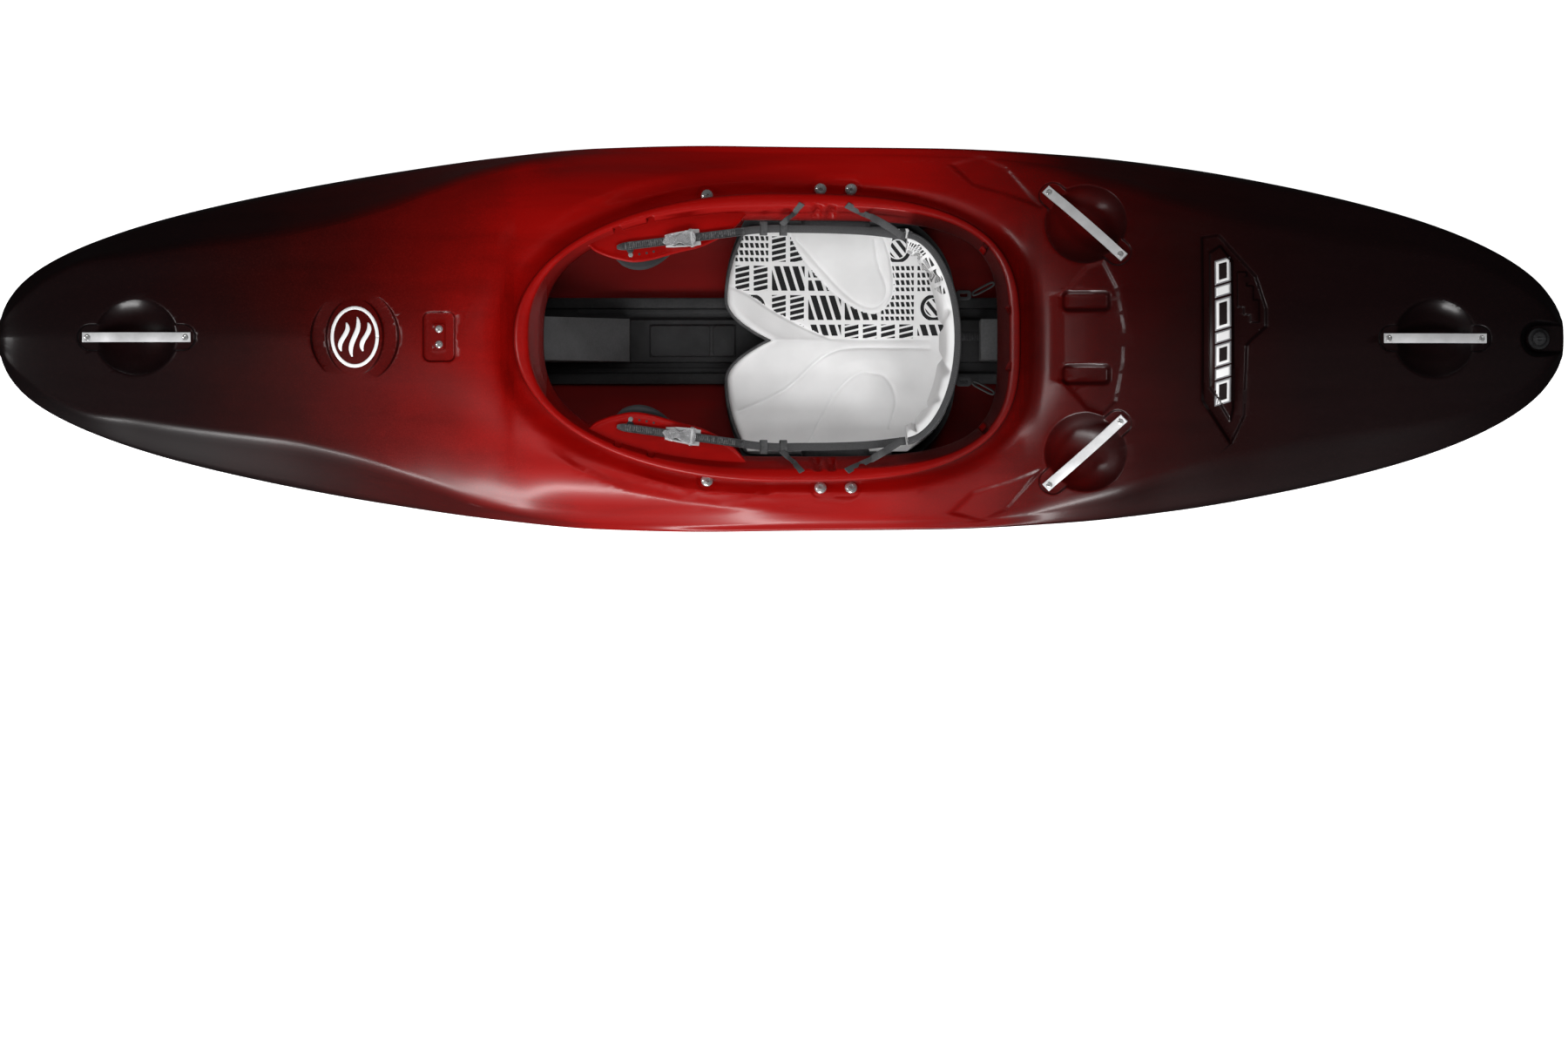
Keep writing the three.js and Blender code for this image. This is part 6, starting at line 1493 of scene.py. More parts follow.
def makeSeat():
    s = seatForm
    quarter = np.pi / 2 * s["crowding"]
    v = np.sin(np.linspace(-1, 1, s["columns"]) * np.pi / 2 * s["crowding"]) / math.sin(quarter)
    u = 0.5 - 0.5 * np.cos(np.linspace(0, 1, s["rows"]) * np.pi)
    u = mix(u, np.linspace(0, 1, s["rows"]), s["evenness"])
    uu, vv = np.meshgrid(u, v, indexing="ij")
    x, y = seatPlan(uu, vv, s["padInset"], s["padHalf"])
    panTop = panFloor + seatRise(uu, vv * s["padHalf"] / s["halfWidth"]) + s["pan"]
    length = s["rearX"] - s["lobeX"]
    # how near the edge, so that the cover rolls over it
    steep = np.gradient(seatPlan(np.zeros_like(v), v)[0], v * s["padHalf"])
    lean = 1 / np.hypot(1, steep)[None, :]
    near = np.minimum(np.minimum(uu * length * lean, (1 - uu) * length), (1 - np.abs(vv)) * s["padHalf"])
    t = np.clip(near / s["roll"], 0, 1)
    roll = np.sqrt(np.clip(1 - (1 - t) ** 2, 0, 1))
    fore = np.clip(1 - 2 * uu, 0, 1) ** 2
    edge = np.maximum(np.abs(vv), np.abs(2 * uu - 1)) ** 8
    hump = s["hump"] * np.sin(np.pi * np.abs(vv)) ** 2 * fore * (1 - edge)
    channel = s["channel"] * np.exp(-(vv / s["channelShare"]) ** 2) * np.sin(np.pi * uu)
    thick = s["pad"] * mix(s["edge"], 1, roll) - channel + hump
    seam = np.full(x.shape, 9.0)
    for line in s["seams"].values():
        seam = np.minimum(seam, lineDistance(x, y, line))
    press = s["seamDepth"] * np.exp(-(seam / s["seamWidth"]) ** 2)
    puff = s["puff"] * (1 - np.exp(-(seam / s["puffReach"]) ** 2)) * roll - s["puff"] * 0.9
    wrinkle = s["wrinkle"] * np.sin(x * 95 + 3 * np.sin(y * 31)) * np.sin(y * 60 + x * 22) * roll
    bottom = panTop + s["gap"]
    top = bottom + thick - press * roll + puff * roll + wrinkle
    upper = np.stack([x, y, top], axis=-1)
    lower = np.stack([x, y, np.minimum(bottom, top - 0.003)], axis=-1)
    floor = s["seams"]["inner"][:-1] + s["floorEnd"]
    hole = planWay(s["seams"]["loop"][:-1] + s["holeEnd"])
    printed = y > np.interp(x, *zip(*floor)) + s["printMargin"]
    printed &= outlineDistance(x, y, hole) > s["printMargin"]
    pad = slab("seatPad", upper, lower, seatCover)
    markPrinted(pad, np.concatenate([printed.ravel(), np.zeros(printed.size)]))
    place(pad, "seat", "printed_pad", "seat_pad")
    uu, vv = np.meshgrid(np.linspace(0, 1, 40), np.linspace(-1, 1, 60), indexing="ij")
    x, y = seatPlan(uu, vv)
    z = panFloor + seatRise(uu, vv)
    pan = slab("seatPan", np.stack([x, y, z + s["pan"]], axis=-1), np.stack([x, y, z], axis=-1), blackPlastic)
    place(pan, "seat", "black_plastic", "seat_pan")
    # the bound edge: along the front, round the notch, and down both sides
    bound = s["binding"]
    way = ([(k, -1.0) for k in np.linspace(0.9, 0.02, 60)]
           + [(0.0, k) for k in np.linspace(-0.985, 0.985, 200)])
    way += [(k, 1.0) for k in np.linspace(0.02, 0.9, 60)]
    evened = []
    for u0, v0 in way:
        x, y = seatPlan(np.array(u0), np.array(v0), bound["inset"], bound["half"])
        rise = float(seatRise(np.array(u0), np.array(v0 * bound["slopeShare"])))
        p = Vector((float(x), float(y), panFloor + rise + s["pan"] + bound["rise"]))
        if not evened or (p - evened[-1]).length > bound["step"]:
            evened.append(p)
    for _ in range(3):
        inner = [(a + 2 * b + c) / 4 for a, b, c in zip(evened[:-2], evened[1:-1], evened[2:])]
        evened = [evened[0]] + inner + [evened[-1]]
    place(tube("seatBinding", evened, bound["radius"], bindingPlain), "seat", "webbing")


bindingPlain = stuff("bindingPlain", (0.085, 0.085, 0.088), 0.8, 0.0, 0.25, 60.0, 900.0, 0.9, 0.3,
                     (0.12,) * 3)
print("seat")
makeSeat()


# Backband: a curved shell, a soft folded cover on its front, and bound edges
bandForm = {
    "frontX": 0.188, "bulge": 0.089, "halfWidth": 0.168, "lean": 0.002, "turnShare": 0.94,
    "topMid": 0.280, "topEnd": 0.262, "topPower": 0.5, "bottomMid": 0.150, "bottomEnd": 0.214,
    "shell": 0.005, "gap": 0.0004, "pad": 0.0165, "padLow": 0.0270, "columns": 210, "rows": 44,
    "folds": [-0.80, -0.50, -0.18, 0.14, 0.46, 0.78], "foldDepth": 0.0068, "foldWidth": 0.034,
    "wrinkle": 0.0012, "roll": 0.012, "edge": 0.35, "height": 0.125, "breadth": 0.235,
    "printFrom": 0.30, "printLean": 0.12,
    "binding": (0.0105, 0.0042), "lowerBinding": (0.009, 0.0036), "bindingEnd": 0.995,
}


# A point of the band: turn from -1 to 1 across, height share t, and how far in front of its back face
def bandPoint(turnShare, t, reach):
    b = bandForm
    turn = turnShare * np.pi / 2 * b["turnShare"]
    across, along = np.sin(turn), np.cos(turn)
    top = mix(b["topEnd"], b["topMid"], np.clip(along, 0, 1) ** b["topPower"])
    bottom = mix(b["bottomEnd"], b["bottomMid"], along)
    nx, ny = along / b["bulge"], across / b["halfWidth"]
    size = np.hypot(nx, ny)
    x = b["frontX"] + b["bulge"] * along + b["lean"] * t * along - nx / size * reach
    y = b["halfWidth"] * across - ny / size * reach
    return np.stack([x, y, mix(bottom, top, t)], axis=-1)


def makeBackband():
    b = bandForm
    tt, ww = np.meshgrid(np.linspace(0, 1, b["rows"]), np.linspace(-1, 1, b["columns"]), indexing="ij")
    shell = slab("backbandShell", bandPoint(ww, tt, 0.0), bandPoint(ww, tt, b["shell"]), blackPlastic)
    place(shell, "backband", "black_plastic", "backband_shell")
    near = np.minimum(np.minimum(tt, 1 - tt) * 0.11, (1 - np.abs(ww)) * 0.22)
    roll = np.sqrt(np.clip(1 - (1 - np.clip(near / b["roll"], 0, 1)) ** 2, 0, 1))
    fold = sum(np.exp(-((ww - f + 0.05 * np.sin(tt * 3 + f * 9)) / b["foldWidth"]) ** 2) for f in b["folds"])
    puffy = (mix(b["padLow"], b["pad"], tt) * mix(b["edge"], 1, roll)
             - b["foldDepth"] * np.clip(fold, 0, 1) * roll)
    puffy = puffy - b["wrinkle"] * np.sin(tt * 9 + ww * 7) * roll * np.clip(fold, 0, 1)
    backFace = b["shell"] + b["gap"]
    pad = slab("backbandPad", bandPoint(ww, tt, backFace + puffy), bandPoint(ww, tt, backFace), bandCover)
    printed = (ww > b["printFrom"] + b["printLean"] * (1 - tt)).astype(float)
    markPrinted(pad, np.concatenate([printed.ravel(), np.zeros(printed.size)]))
    layer = pad.data.uv_layers.new(name="UVMap")
    flat = np.stack([(ww * b["breadth"]).ravel(), (tt * b["height"]).ravel()], axis=-1)
    index = np.empty(len(pad.data.loops), int)
    pad.data.loops.foreach_get("vertex_index", index)
    layer.data.foreach_set("uv", np.tile(flat, (2, 1))[index].ravel())
    place(pad, "backband", "printed_pad", "backband_pad")
    end, up = b["bindingEnd"], Vector((0, 0, 1))
    points = [Vector(bandPoint(np.array(w), np.array(1.0), b["shell"] * 0.9 + 0.0012))
              for w in np.linspace(-end, end, 150)]
    for p in points:
        p.z += 0.0006
    top = ribbon("backbandBinding", points, [up] * len(points), *b["binding"], bindingCloth)
    place(top, "backband", "webbing")
    low = [Vector(bandPoint(np.array(w), np.array(0.0), b["shell"] + 0.002))
           for w in np.linspace(-end, end, 120)]
    lowest = ribbon("backbandLowerBinding", low, [-up] * len(low), *b["lowerBinding"], bindingCloth)
    place(lowest, "backband", "webbing")
    profile = [(0.0001, -0.0010), (0.00032, -0.0006), (0.00032, 0.0006), (0.0001, 0.0010)]
    stitch = turned("stitch", profile, 6, bindingCloth)
    spots = []
    for k in range(4, len(points) - 4):
        along = (points[k + 1] - points[k - 1]).normalized()
        out = up.cross(along).normalized()
        spots.append((points[k] + Vector((0, 0, 0.0022)) - out * 0.0026, along, out))
    place(scatter("bandStitches", spots, stitch, ladderPlastic), "backband", "webbing")
    hideShape(stitch)


makeBackband()


coamingTree = bvhOf(rimPiece)


# Sloping plane that the ladder strap, the ratchet and its lever share, for each side
def buckleFrame(side):
    return (Vector((-0.158247, side * 0.153905, 0.310996)), Vector((0.9598, side * 0.12957, -0.24899)),
            Vector((side * -0.12542, 0.99157, side * 0.03254)), Vector((0.25111, 0.0, 0.96796)))


def leverPivot(side):
    return Vector((-0.144132, side * 0.155356, 0.321178))


bothSides = ((-1, "left"), (1, "right"))
straps = {
    "ladder": {"from": -0.1073, "to": 0.0998, "width": 0.0130, "thick": 0.0022, "lift": 0.0040, "tip": 0.02,
               "rail": (0.0020, 0.0026), "railAside": 0.0054, "railFrom": 0.018,
               "pitch": 0.0034, "teethFrom": 0.014, "teethTo": 0.086},
    "tail": (0.0125, 0.0022),
    "side": (0.0115, 0.0018),
    "hanger": (0.0105, 0.0017),
    "keeper": {"middle": (-0.0105, 0.1716, 0.2722), "wide": 0.0105, "thick": 0.0014, "loops": (-0.022, 0.010),
               "half": 0.0098, "rise": 0.0010, "tall": 0.0042},
    "cord": {"radius": 0.0018, "half": 0.0033, "z": 0.2385, "y": (0.0686, 0.0874)},
}


def onCoaming(x, y, rise=0.0014):
    hit, _ = struck(coamingTree, (x, y, 0.6), down)
    return Vector((x, y, hit.z + rise)) if hit is not None else Vector((x, y, 0.27))


# A piece that runs between two bodies: its place is baked in, it follows neither body, and its CAD node is
# hidden
def stretched(piece, node):
    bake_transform(piece)
    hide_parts(node)


# A closed band round a middle: a flat strip of cloth bent into a loop
def band(name, loop, along, middle, wide, thick):
    rings = []
    for p in loop:
        out = (p - middle)
        out = (out - along * out.dot(along)).normalized()
        near, far = p - along * wide / 2, p + along * wide / 2
        rings.append([near, far, far + out * thick, near + out * thick])
    return facedOut(swept(name, rings, webbingPlain, True, 50))


# A sewn loop round the strap, hung on a webbing that goes over the coaming's wall to its slot
def makeKeeper(side, label):
    form = straps["keeper"]
    mx, my, mz = form["middle"]
    middle = Vector((mx, side * my, mz))
    along = Vector((0.969, 0, -0.245)).normalized()
    up = Vector((0.245, 0, 0.969)).normalized()
    across = Vector((0, 1, 0))
    turns = [2 * math.pi * k / 36 for k in range(36)]
    pieces = []
    for offset in form["loops"]:
        loop = [middle + along * offset + across * (form["half"] * squarer(math.cos(a), 0.4))
                + up * (form["rise"] + form["tall"] * squarer(math.sin(a), 0.4)) for a in turns]
        pieces.append(band("loop", loop, along, middle + along * offset, form["wide"], form["thick"]))
    points = [middle + along * 0.006 + across * (side * 0.006) + up * 0.0062,
              Vector((0.006, side * 0.1860, 0.2790))]
    points += [onCoaming(x, side * y) for x, y in ((0.016, 0.1960), (0.023, 0.2040), (0.029, 0.2105))]
    way = smoothWay(points, 40)
    pieces.append(ribbon("hanger", way, [Vector((0.2, side * -0.6, 1))] * 40, *straps["hanger"],
                         webbingCloth))
    return joined(f"strapKeeper{label.title()}", pieces)


# The toothed strap that runs through the ratchet
def makeLadder(side, label):
    form = straps["ladder"]
    seat = buckleFrame(side)
    origin, along, across, up = seat
    count = 60
    middle = form["lift"] - form["thick"] / 2 + 0.0002
    way = [axes(seat, mix(form["from"], form["to"], k / (count - 1)), 0.0, middle) for k in range(count)]
    base = ribbon(f"ladder{label.title()}", way, [up] * count, form["width"], form["thick"],
                  ladderPlastic, 0.3)
    for vert in base.data.vertices:            # the tip narrows to a rounded end
        lx = (vert.co - origin).dot(along) - form["from"]
        if lx < form["tip"]:
            ly = (vert.co - origin).dot(across)
            vert.co -= across * ly * (
                1 - math.sqrt(max(0.04, 1 - (1 - max(lx, 0) / form["tip"]) ** 2))) * 0.75
    edges = []
    for edge in (-1, 1):
        rail = [axes(seat, mix(form["from"] + form["railFrom"], form["to"], k / 30), edge * form["railAside"],
                     form["lift"] + 0.0008) for k in range(31)]
        edges.append(ribbon("edge", rail, [up] * 31, *form["rail"], ladderPlastic, 0.3))
    tooth = meshFrom("tooth", [
        (-0.0013, -0.0046, 0), (0.0011, -0.0046, 0), (0.0011, 0.0046, 0), (-0.0013, 0.0046, 0),
        (-0.0003, -0.0044, 0.0017), (0.0009, -0.0044, 0.0017), (0.0009, 0.0044, 0.0017),
        (-0.0003, 0.0044, 0.0017)],
        [(3, 2, 1, 0), (4, 5, 6, 7), (0, 1, 5, 4), (1, 2, 6, 5), (2, 3, 7, 6), (3, 0, 4, 7)],
        ladderPlastic, False)
    spots = []
    at = form["from"] + form["teethFrom"]
    while at < form["teethTo"]:
        spots.append((axes(seat, at, 0.0, form["lift"] + 0.0001), up, along))
        at += form["pitch"]
    teeth = scatter("teeth", spots, tooth, ladderPlastic)
    hideShape(tooth)
    whole = joined(f"ladderStrap{label.title()}", [base, teeth] + edges)
    place(whole, f"ladder_{label}", "ladder_plastic", f"ladder_strap_{label}")


# The webbing lies under the ladder far enough to stay there while it slides, then goes through the keeper
def makeTail(side, label):
    points = [axes(buckleFrame(side), s, 0.0, 0.0004) for s in (0.068, 0.093, 0.118)]
    points += [Vector((x, side * y, z)) for x, y, z in (
        (-0.0105, 0.1716, 0.2730), (0.018, 0.1712, 0.2662), (0.075, 0.1706, 0.2570), (0.135, 0.1680, 0.2440),
        (0.192, 0.1612, 0.2322))]
    way = smoothWay(points, 90)
    tail = ribbon(f"tailWebbing{label.title()}", way, [Vector((0.1, 0, 1))] * 90, *straps["tail"],
                  webbingCloth)
    stretched(tail,
              f"tail_webbing_{label}")


def makeSideWebbing(side, label):
    points = [onCoaming(x, side * y) for x, y in ((0.099, 0.2090), (0.112, 0.2025), (0.126, 0.1965))]
    points += [(x, side * y, z) for x, y, z in (
        (0.150, 0.1835, 0.2705), (0.168, 0.1725, 0.2690), (0.186, 0.1605, 0.2675))]
    way = smoothWay(points, 60)
    faces = [Vector((0, side * (-0.55 if k < 30 else -0.2), 1)) for k in range(60)]
    hip = ribbon(f"sideWebbing{label.title()}", way, faces, *straps["side"], webbingCloth)
    stretched(hip,
              f"side_webbing_{label}")


def makeCord(side, label):
    form = straps["cord"]
    node = f"rear_cord_{label}"
    low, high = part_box(node)
    start = Vector((low[0] + 0.0002, side * form["y"][0], form["z"]))
    end = Vector((high[0] - 0.0002, side * form["y"][1], form["z"]))
    way = (end - start).normalized()
    aside = way.cross(Vector((0, 0, 1)))
    reach = (end - start).length / 2 - 0.0012
    loop = []
    for k in range(40):
        a = 2 * math.pi * k / 40
        loop.append((start + end) / 2 + way * (reach * squarer(math.cos(a), 0.45))
                    + aside * (form["half"] * squarer(math.sin(a), 0.8)))
    cord = tube(f"rearCord{label.title()}", loop, form["radius"], cordBraid, True)
    stretched(cord, node)


webbingPlain = stuff("webbingPlain", (0.060, 0.060, 0.062), 0.8, 0.0, 0.25, 60.0, 900.0, 0.9, 0.3,
                     (0.14,) * 3)
cordBraid = stuff("cordBraid", (0.012,) * 3, 0.7, 0.0, 0.3, 80.0, 1100.0, 0.9, 0.3, (0.05,) * 3)
for side, label in bothSides:
    makeLadder(side, label)
    makeTail(side, label)
    place(makeKeeper(side, label), "hull", "webbing", f"strap_keeper_{label}")
    makeSideWebbing(side, label)
    fitting(f"rear_hook_{label}", blackPlastic, "backband", "black_plastic", 0.0012, 3)
    makeCord(side, label)
print("straps")


# Clear plastic for the levers, with soft waves in its surface
def makeClearPlastic():
    material, tree, shader = newMaterial("clearLever", 0.12)
    shader.inputs["Transmission Weight"].default_value = 0.75
    shader.inputs["IOR"].default_value = 1.46
    at = objectPlace(tree)
    cloud = noise(tree, at, 120.0, 3.0, 0.6)
    feed(tree, shader.inputs["Base Color"],
         colourMix(tree, spread(tree, cloud, 0.35, 0.65), (0.55, 0.55, 0.56), (0.92, 0.92, 0.93)))
    feed(tree, shader.inputs["Normal"], bump(tree, noise(tree, at, 240.0, 2.0, 0.5), 0.5, 0.0015))
    return material


clearPlastic = makeClearPlastic()


# Thigh plates in the hull's red, with a raised border and a row of small holes drawn as dark dots, a painted
# shade; dark foam hooks under them
thighForm = {
    "inner": [(-0.318, 0.165), (-0.300, 0.138), (-0.2788, 0.1267), (-0.2596, 0.1212), (-0.235, 0.1171),
              (-0.2048, 0.1212), (-0.1665, 0.1322), (-0.1336, 0.1404), (-0.1089, 0.151), (-0.092, 0.161),
              (-0.076, 0.173), (-0.060, 0.192)],
    "drop": 0.0238, "thick": 0.0048, "ridge": 0.0022, "ridgeWide": 0.0055, "columns": 26, "rows": 90,
    "holes": [(-0.2393, 0.1285), (-0.2256, 0.1298), (-0.2141, 0.1316), (-0.2032, 0.1340)],
}


# A crescent shelf between its curved inner edge and the coaming's slanted wall
def makeThighPlate(side, label):
    form = thighForm
    xs = np.linspace(form["inner"][0][0], form["inner"][-1][0], form["rows"])
    inner = np.interp(xs, *zip(*planWay(form["inner"], 400)))
    upper = np.zeros((form["rows"], form["columns"], 3))
    share = np.linspace(0, 1, form["columns"])
    for i, x in enumerate(xs):
        z = float(rimTop(np.array(x))) - form["drop"]
        hit, _ = struck(coamingTree, (x, 0, z), (0, side, 0))
        wall = abs(hit.y) + 0.0015 if hit is not None else 0.17
        start = min(inner[i], wall - 0.002)
        y = mix(start, wall, share)
        fromEdge = y - start
        ends = float(smooth(0.0, 0.02, x - xs[0]) * smooth(0.0, 0.02, xs[-1] - x))
        rise = form["ridge"] * np.exp(-((fromEdge - 0.0030) / form["ridgeWide"] * 1.7) ** 2) * ends
        roll = -0.0016 * (1 - smooth(0, 0.0022, fromEdge))
        upper[i] = np.stack([np.full_like(y, x), side * y, z + rise + roll], axis=-1)
    lower = upper.copy()
    lower[..., 2] = np.minimum(upper[..., 2] - 0.0015, upper[:, -1:, 2] - form["thick"])
    return slab(f"thighPlate{label.title()}", upper, lower, red)


# The ratchet's lever: a lobed bar of clear plastic on the buckle's pin
leverForm = {
    "outline": [
        (-0.045, -0.0035), (-0.041, -0.0080), (-0.034, -0.0095), (-0.027, -0.0062), (-0.020, -0.0072),
        (-0.012, -0.0122), (-0.003, -0.0124), (0.0050, -0.0080), (0.0064, -0.001), (0.0048, 0.006),
        (0.000, 0.0118), (-0.008, 0.0126), (-0.014, 0.0086), (-0.021, 0.0052), (-0.029, 0.0074),
        (-0.037, 0.0056), (-0.044, 0.0046), (-0.048, 0.0008)],
    "layers": [               # height over the pin, how far in from the outline
        (0.0006, 0.0016), (0.0012, 0.0004), (0.0022, 0.0), (0.0042, 0.0), (0.0052, 0.0005), (0.0056, 0.0018),
        (0.0050, 0.0042), (0.0050, 0.0060)],
    "middle": (-0.019, 0.0, 0.0),
    "wave": 0.0005,
}


def makeLever(side, label):
    pivot = leverPivot(side)
    _, along, across, up = buckleFrame(side)
    outline = leverForm["outline"]
    closed = smoothWay([(a, b, 0) for a, b in outline + outline[:1]], 85)[:-1]
    middle = Vector(leverForm["middle"])
    rings = []
    for height, inset in leverForm["layers"]:
        ring = []
        for p in closed:
            q = p - (p - middle) * (inset / max((p - middle).length, 0.004))
            rise = height + leverForm["wave"] * math.sin(q.x * 420)
            ring.append(pivot + along * q.x + across * (side * -q.y) + up * rise)
        rings.append(ring)
    return facedOut(swept(f"ratchetLever{label.title()}", rings, clearPlastic))


def makeBraces():
    pin = turned("pin", [
        (0.0004, -0.0004), (0.0030, -0.0004), (0.0034, 0.0002), (0.0033, 0.0010), (0.0024, 0.0014),
        (0.0012, 0.0015), (0.0004, 0.0011)], 18, steel)
    # painted shade: the holes are not cut, and dark dots stand where their shaded insides would show
    dot = turned("holeDot", [
        (0.0001, -0.0004), (0.0016, -0.0004), (0.0019, 0.0001), (0.0013, 0.00025), (0.0001, 0.0002)],
        14, darkFoam)
    for side, label in bothSides:
        plate = place(makeThighPlate(side, label), "hull", "hull_plastic", f"thigh_plate_{label}")
        fitting(f"thigh_hook_{label}", darkFoam, "hull", "dark_foam", 0.0010, 2, 35, 2.0)
        origin, along, across, _ = buckleFrame(side)
        pivot = leverPivot(side)
        base = fitting(f"ratchet_base_{label}", aluminium, "hull", "handle_aluminium", 0.0007, 2)
        for vert in base.data.vertices:            # waisted towards its ends
            away = abs((vert.co - pivot).dot(along)) / 0.045
            vert.co -= across * (vert.co - origin).dot(across) * 0.34 * min(1.0, away) ** 1.5
        place(makeLever(side, label), f"lever_{label}", "clear_plastic", f"ratchet_lever_{label}")
        spots = [(pivot + across * edge * 0.0136, across * edge, along) for edge in (-1, 1)]
        place(scatter(f"ratchetPins{label.title()}", spots, pin, steel, 0.9), "hull", "stainless_steel")
        top = bvhOf(plate)
        hits = [struck(top, (x, side * y, 0.5), down) for x, y in thighForm["holes"]]
        at, normal = hits[0]
        screw = scatter(f"thighScrew{label.title()}", [(at, normal, Vector((0.6, 0.8, 0)))], pin, steel, 1.15)
        place(screw, "hull", "stainless_steel")
        holes = [(at, normal, Vector((1, 0, 0))) for at, normal in hits[1:]]
        place(scatter(f"thighHoles{label.title()}", holes, dot, darkFoam), "hull", "black_plastic")
    hideShape(pin)
    hideShape(dot)


makeBraces()


# Rail, foam pillars, hip hangers and foot braces inside the hull
def makeInside():
    rail = fitting("centre_rail", railPlastic, "hull", "black_plastic", 0.0030, 3)
    tree = bvhOf(rail)

    def railTop(x, y):
        return struck(tree, (x, y, 0.3), down)[0].z
    details = []
    for x0, x1 in ((-0.213, -0.117), (-0.113, -0.078)):
        x = (x0 + x1) / 2
        details.append(roundedSlab("railPanel", (x, 0.0, railTop(x, 0.0) - 0.0004),
                                   ((x1 - x0) / 2, 0.0245), 0.006, 0.0026, railPlastic))
    for y in (-0.047, 0.047):
        details.append(roundedSlab("railRib", (-0.06, y, railTop(-0.1, y) - 0.0004),
                                   (0.27, 0.0045), 0.004, 0.0030, railPlastic))
    place(joined("railDetails", details), "hull", "black_plastic")
    z = railTop(0.30, 0.007)
    strip = [roundedSlab("strip", (0.300, 0.007, z - 0.0003), (0.019, 0.0068), 0.002, 0.0030, ladderPlastic)]
    strip += [roundedSlab("rib", (0.285 + 0.0042 * k, 0.007, z + 0.0022), (0.0011, 0.0052), 0.0005,
                          0.0020, ladderPlastic) for k in range(8)]
    place(joined("railLadder", strip), "hull", "ladder_plastic")
    for node in ("front_pillar", "rear_pillar"):
        keepBelowDeck(fitting(node, greyFoam, "hull", "grey_foam", 0.0025, 2))
    for _, label in bothSides:
        plate = fitting(f"hip_plate_{label}", blackPlastic, "hull", "black_plastic", 0.0010, 2)
        for vert in plate.data.vertices:          # the deck over the flange dips at the bolts
            vert.co.z -= 0.009 * max(0.0, min(1.0, (vert.co.z - 0.204) / 0.014))
        fitting(f"hip_pad_{label}", darkFoam, "hull", "dark_foam", 0.0020, 3)
        fitting(f"foot_rail_{label}", railPlastic, "hull", "black_plastic", 0.0010, 2)
        body = f"foot_rest_{label}"
        fitting(body, railPlastic, body, "black_plastic", 0.0012, 2)
        fitting(f"foot_pad_{label}", darkFoam, body, "dark_foam", 0.0030, 3)


# Lowers what would stand out of the moulded deck's dips
def keepBelowDeck(piece, cover=0.006):
    vertices = piece.data.vertices
    x, y, z = (np.array([vertex.co[k] for vertex in vertices]) for k in range(3))
    limit = shapedDeck(x, y, deckHeight(x, y)) - cover
    for vertex, height in zip(vertices, np.minimum(z, limit)):
        vertex.co.z = height
    return piece


# A low raised panel with rounded corners and a soft edge
def roundedSlab(name, at, halves, corner, rise, material):
    (x, y, z), (halfX, halfY) = at, halves
    corner = min(corner, halfX * 0.95, halfY * 0.95)
    rings = []
    for inset, height in ((0.0, 0.0), (0.0002, 0.6), (0.0008, 0.92), (0.0016, 1.0)):
        r = max(corner - inset, 0.0002)
        rings.append([(x + cx * (halfX - corner) + r * math.cos(a),
                       y + cy * (halfY - corner) + r * math.sin(a),
                       z + rise * height) for cx, cy, a in cornerTurns(7)])
    return swept(name, rings, material)


makeInside()
print("inside")


# Drain: a threaded seat, a gasket and a knob with grips round it
def makeDrain():
    fitting("drain_fitting", blackPlastic, "hull", "black_plastic", 0.0008, 2, name="drainSeat")
    fitting("drain_gasket", rubber, "drain_seal", "rubber_seal", 0.0005, 2)
    top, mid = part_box("drain_plug")[1][2], 0.2062
    stem = [(0.0070, -0.0125), (0.0078, -0.0115), (0.0078, -0.0004), (0.0126, 0), (0.0130, 0.001),
            (0.0130, 0.0022), (0.0124, 0.0030), (0.0112, 0.0034)]
    grip = [(0.0110, -0.0018), (0.0104, -0.0006), (0.0092, 0), (0.0040, 0), (0.0034, -0.0006),
            (0.0030, -0.0016), (0.0004, -0.0018)]
    profile = ([(radius, mid + rise) for radius, rise in stem]
               + [(radius, top + rise) for radius, rise in grip])
    knob = turned("drainKnob", profile, 96, blackPlastic, 0.05, 12)
    x = deckForms["drain"]["x"]
    for vert in knob.data.vertices:
        vert.co.x += x
    slot = roundedSlab("slot", (x, 0.0, top - 0.0014), (0.0085, 0.0013), 0.001, 0.0019, darkFoam)
    whole = joined("drainPlug", [knob, slot])
    whole.data.set_sharp_from_angle(angle=math.radians(35))
    place(whole, "drain_screw", "black_plastic", "drain_plug")


makeDrain()


# Thin painted shapes laid over the moulding: each corner is dropped onto the hull's skin
inkWhite = stuff("paintWhite", (0.80, 0.80, 0.80), 0.4, 0.0, 0.04, 20.0, 900.0, 0.05, 0.0)
inkGrey = stuff("paintGrey", (0.20, 0.20, 0.21), 0.45, 0.0, 0.05, 20.0, 900.0, 0.05, 0.0)
inkDark = stuff("paintDark", (0.012, 0.008, 0.008), 0.45, 0.0, 0.05, 20.0, 900.0, 0.05, 0.0)
skinTree = bvhOf(skin)


def laid(name, cells, direction, rise, material):
    points, faces = [], []
    direction = Vector(direction)
    far, away = direction * -0.5, -direction
    for grid in cells:
        start = len(points)
        for p in (p for row in grid for p in row):
            hit, _ = struck(skinTree, Vector(p) + far, direction)
            points.append((hit if hit is not None else Vector(p)) + away * rise)
        faces += gridFaces(len(grid), len(grid[0]), start)

    def work(shape):
        for face in shape.faces:
            face.normal_update()
        if sum(f.normal.dot(away) for f in shape.faces) < 0:
            bmesh.ops.reverse_faces(shape, faces=shape.faces)
    piece = reworked(meshFrom(name, points, faces, material), work)
    thick = piece.modifiers.new("thick", "SOLIDIFY")
    thick.thickness = 0.00025
    thick.offset = -1
    place(settle(piece), "hull", "hull_plastic")


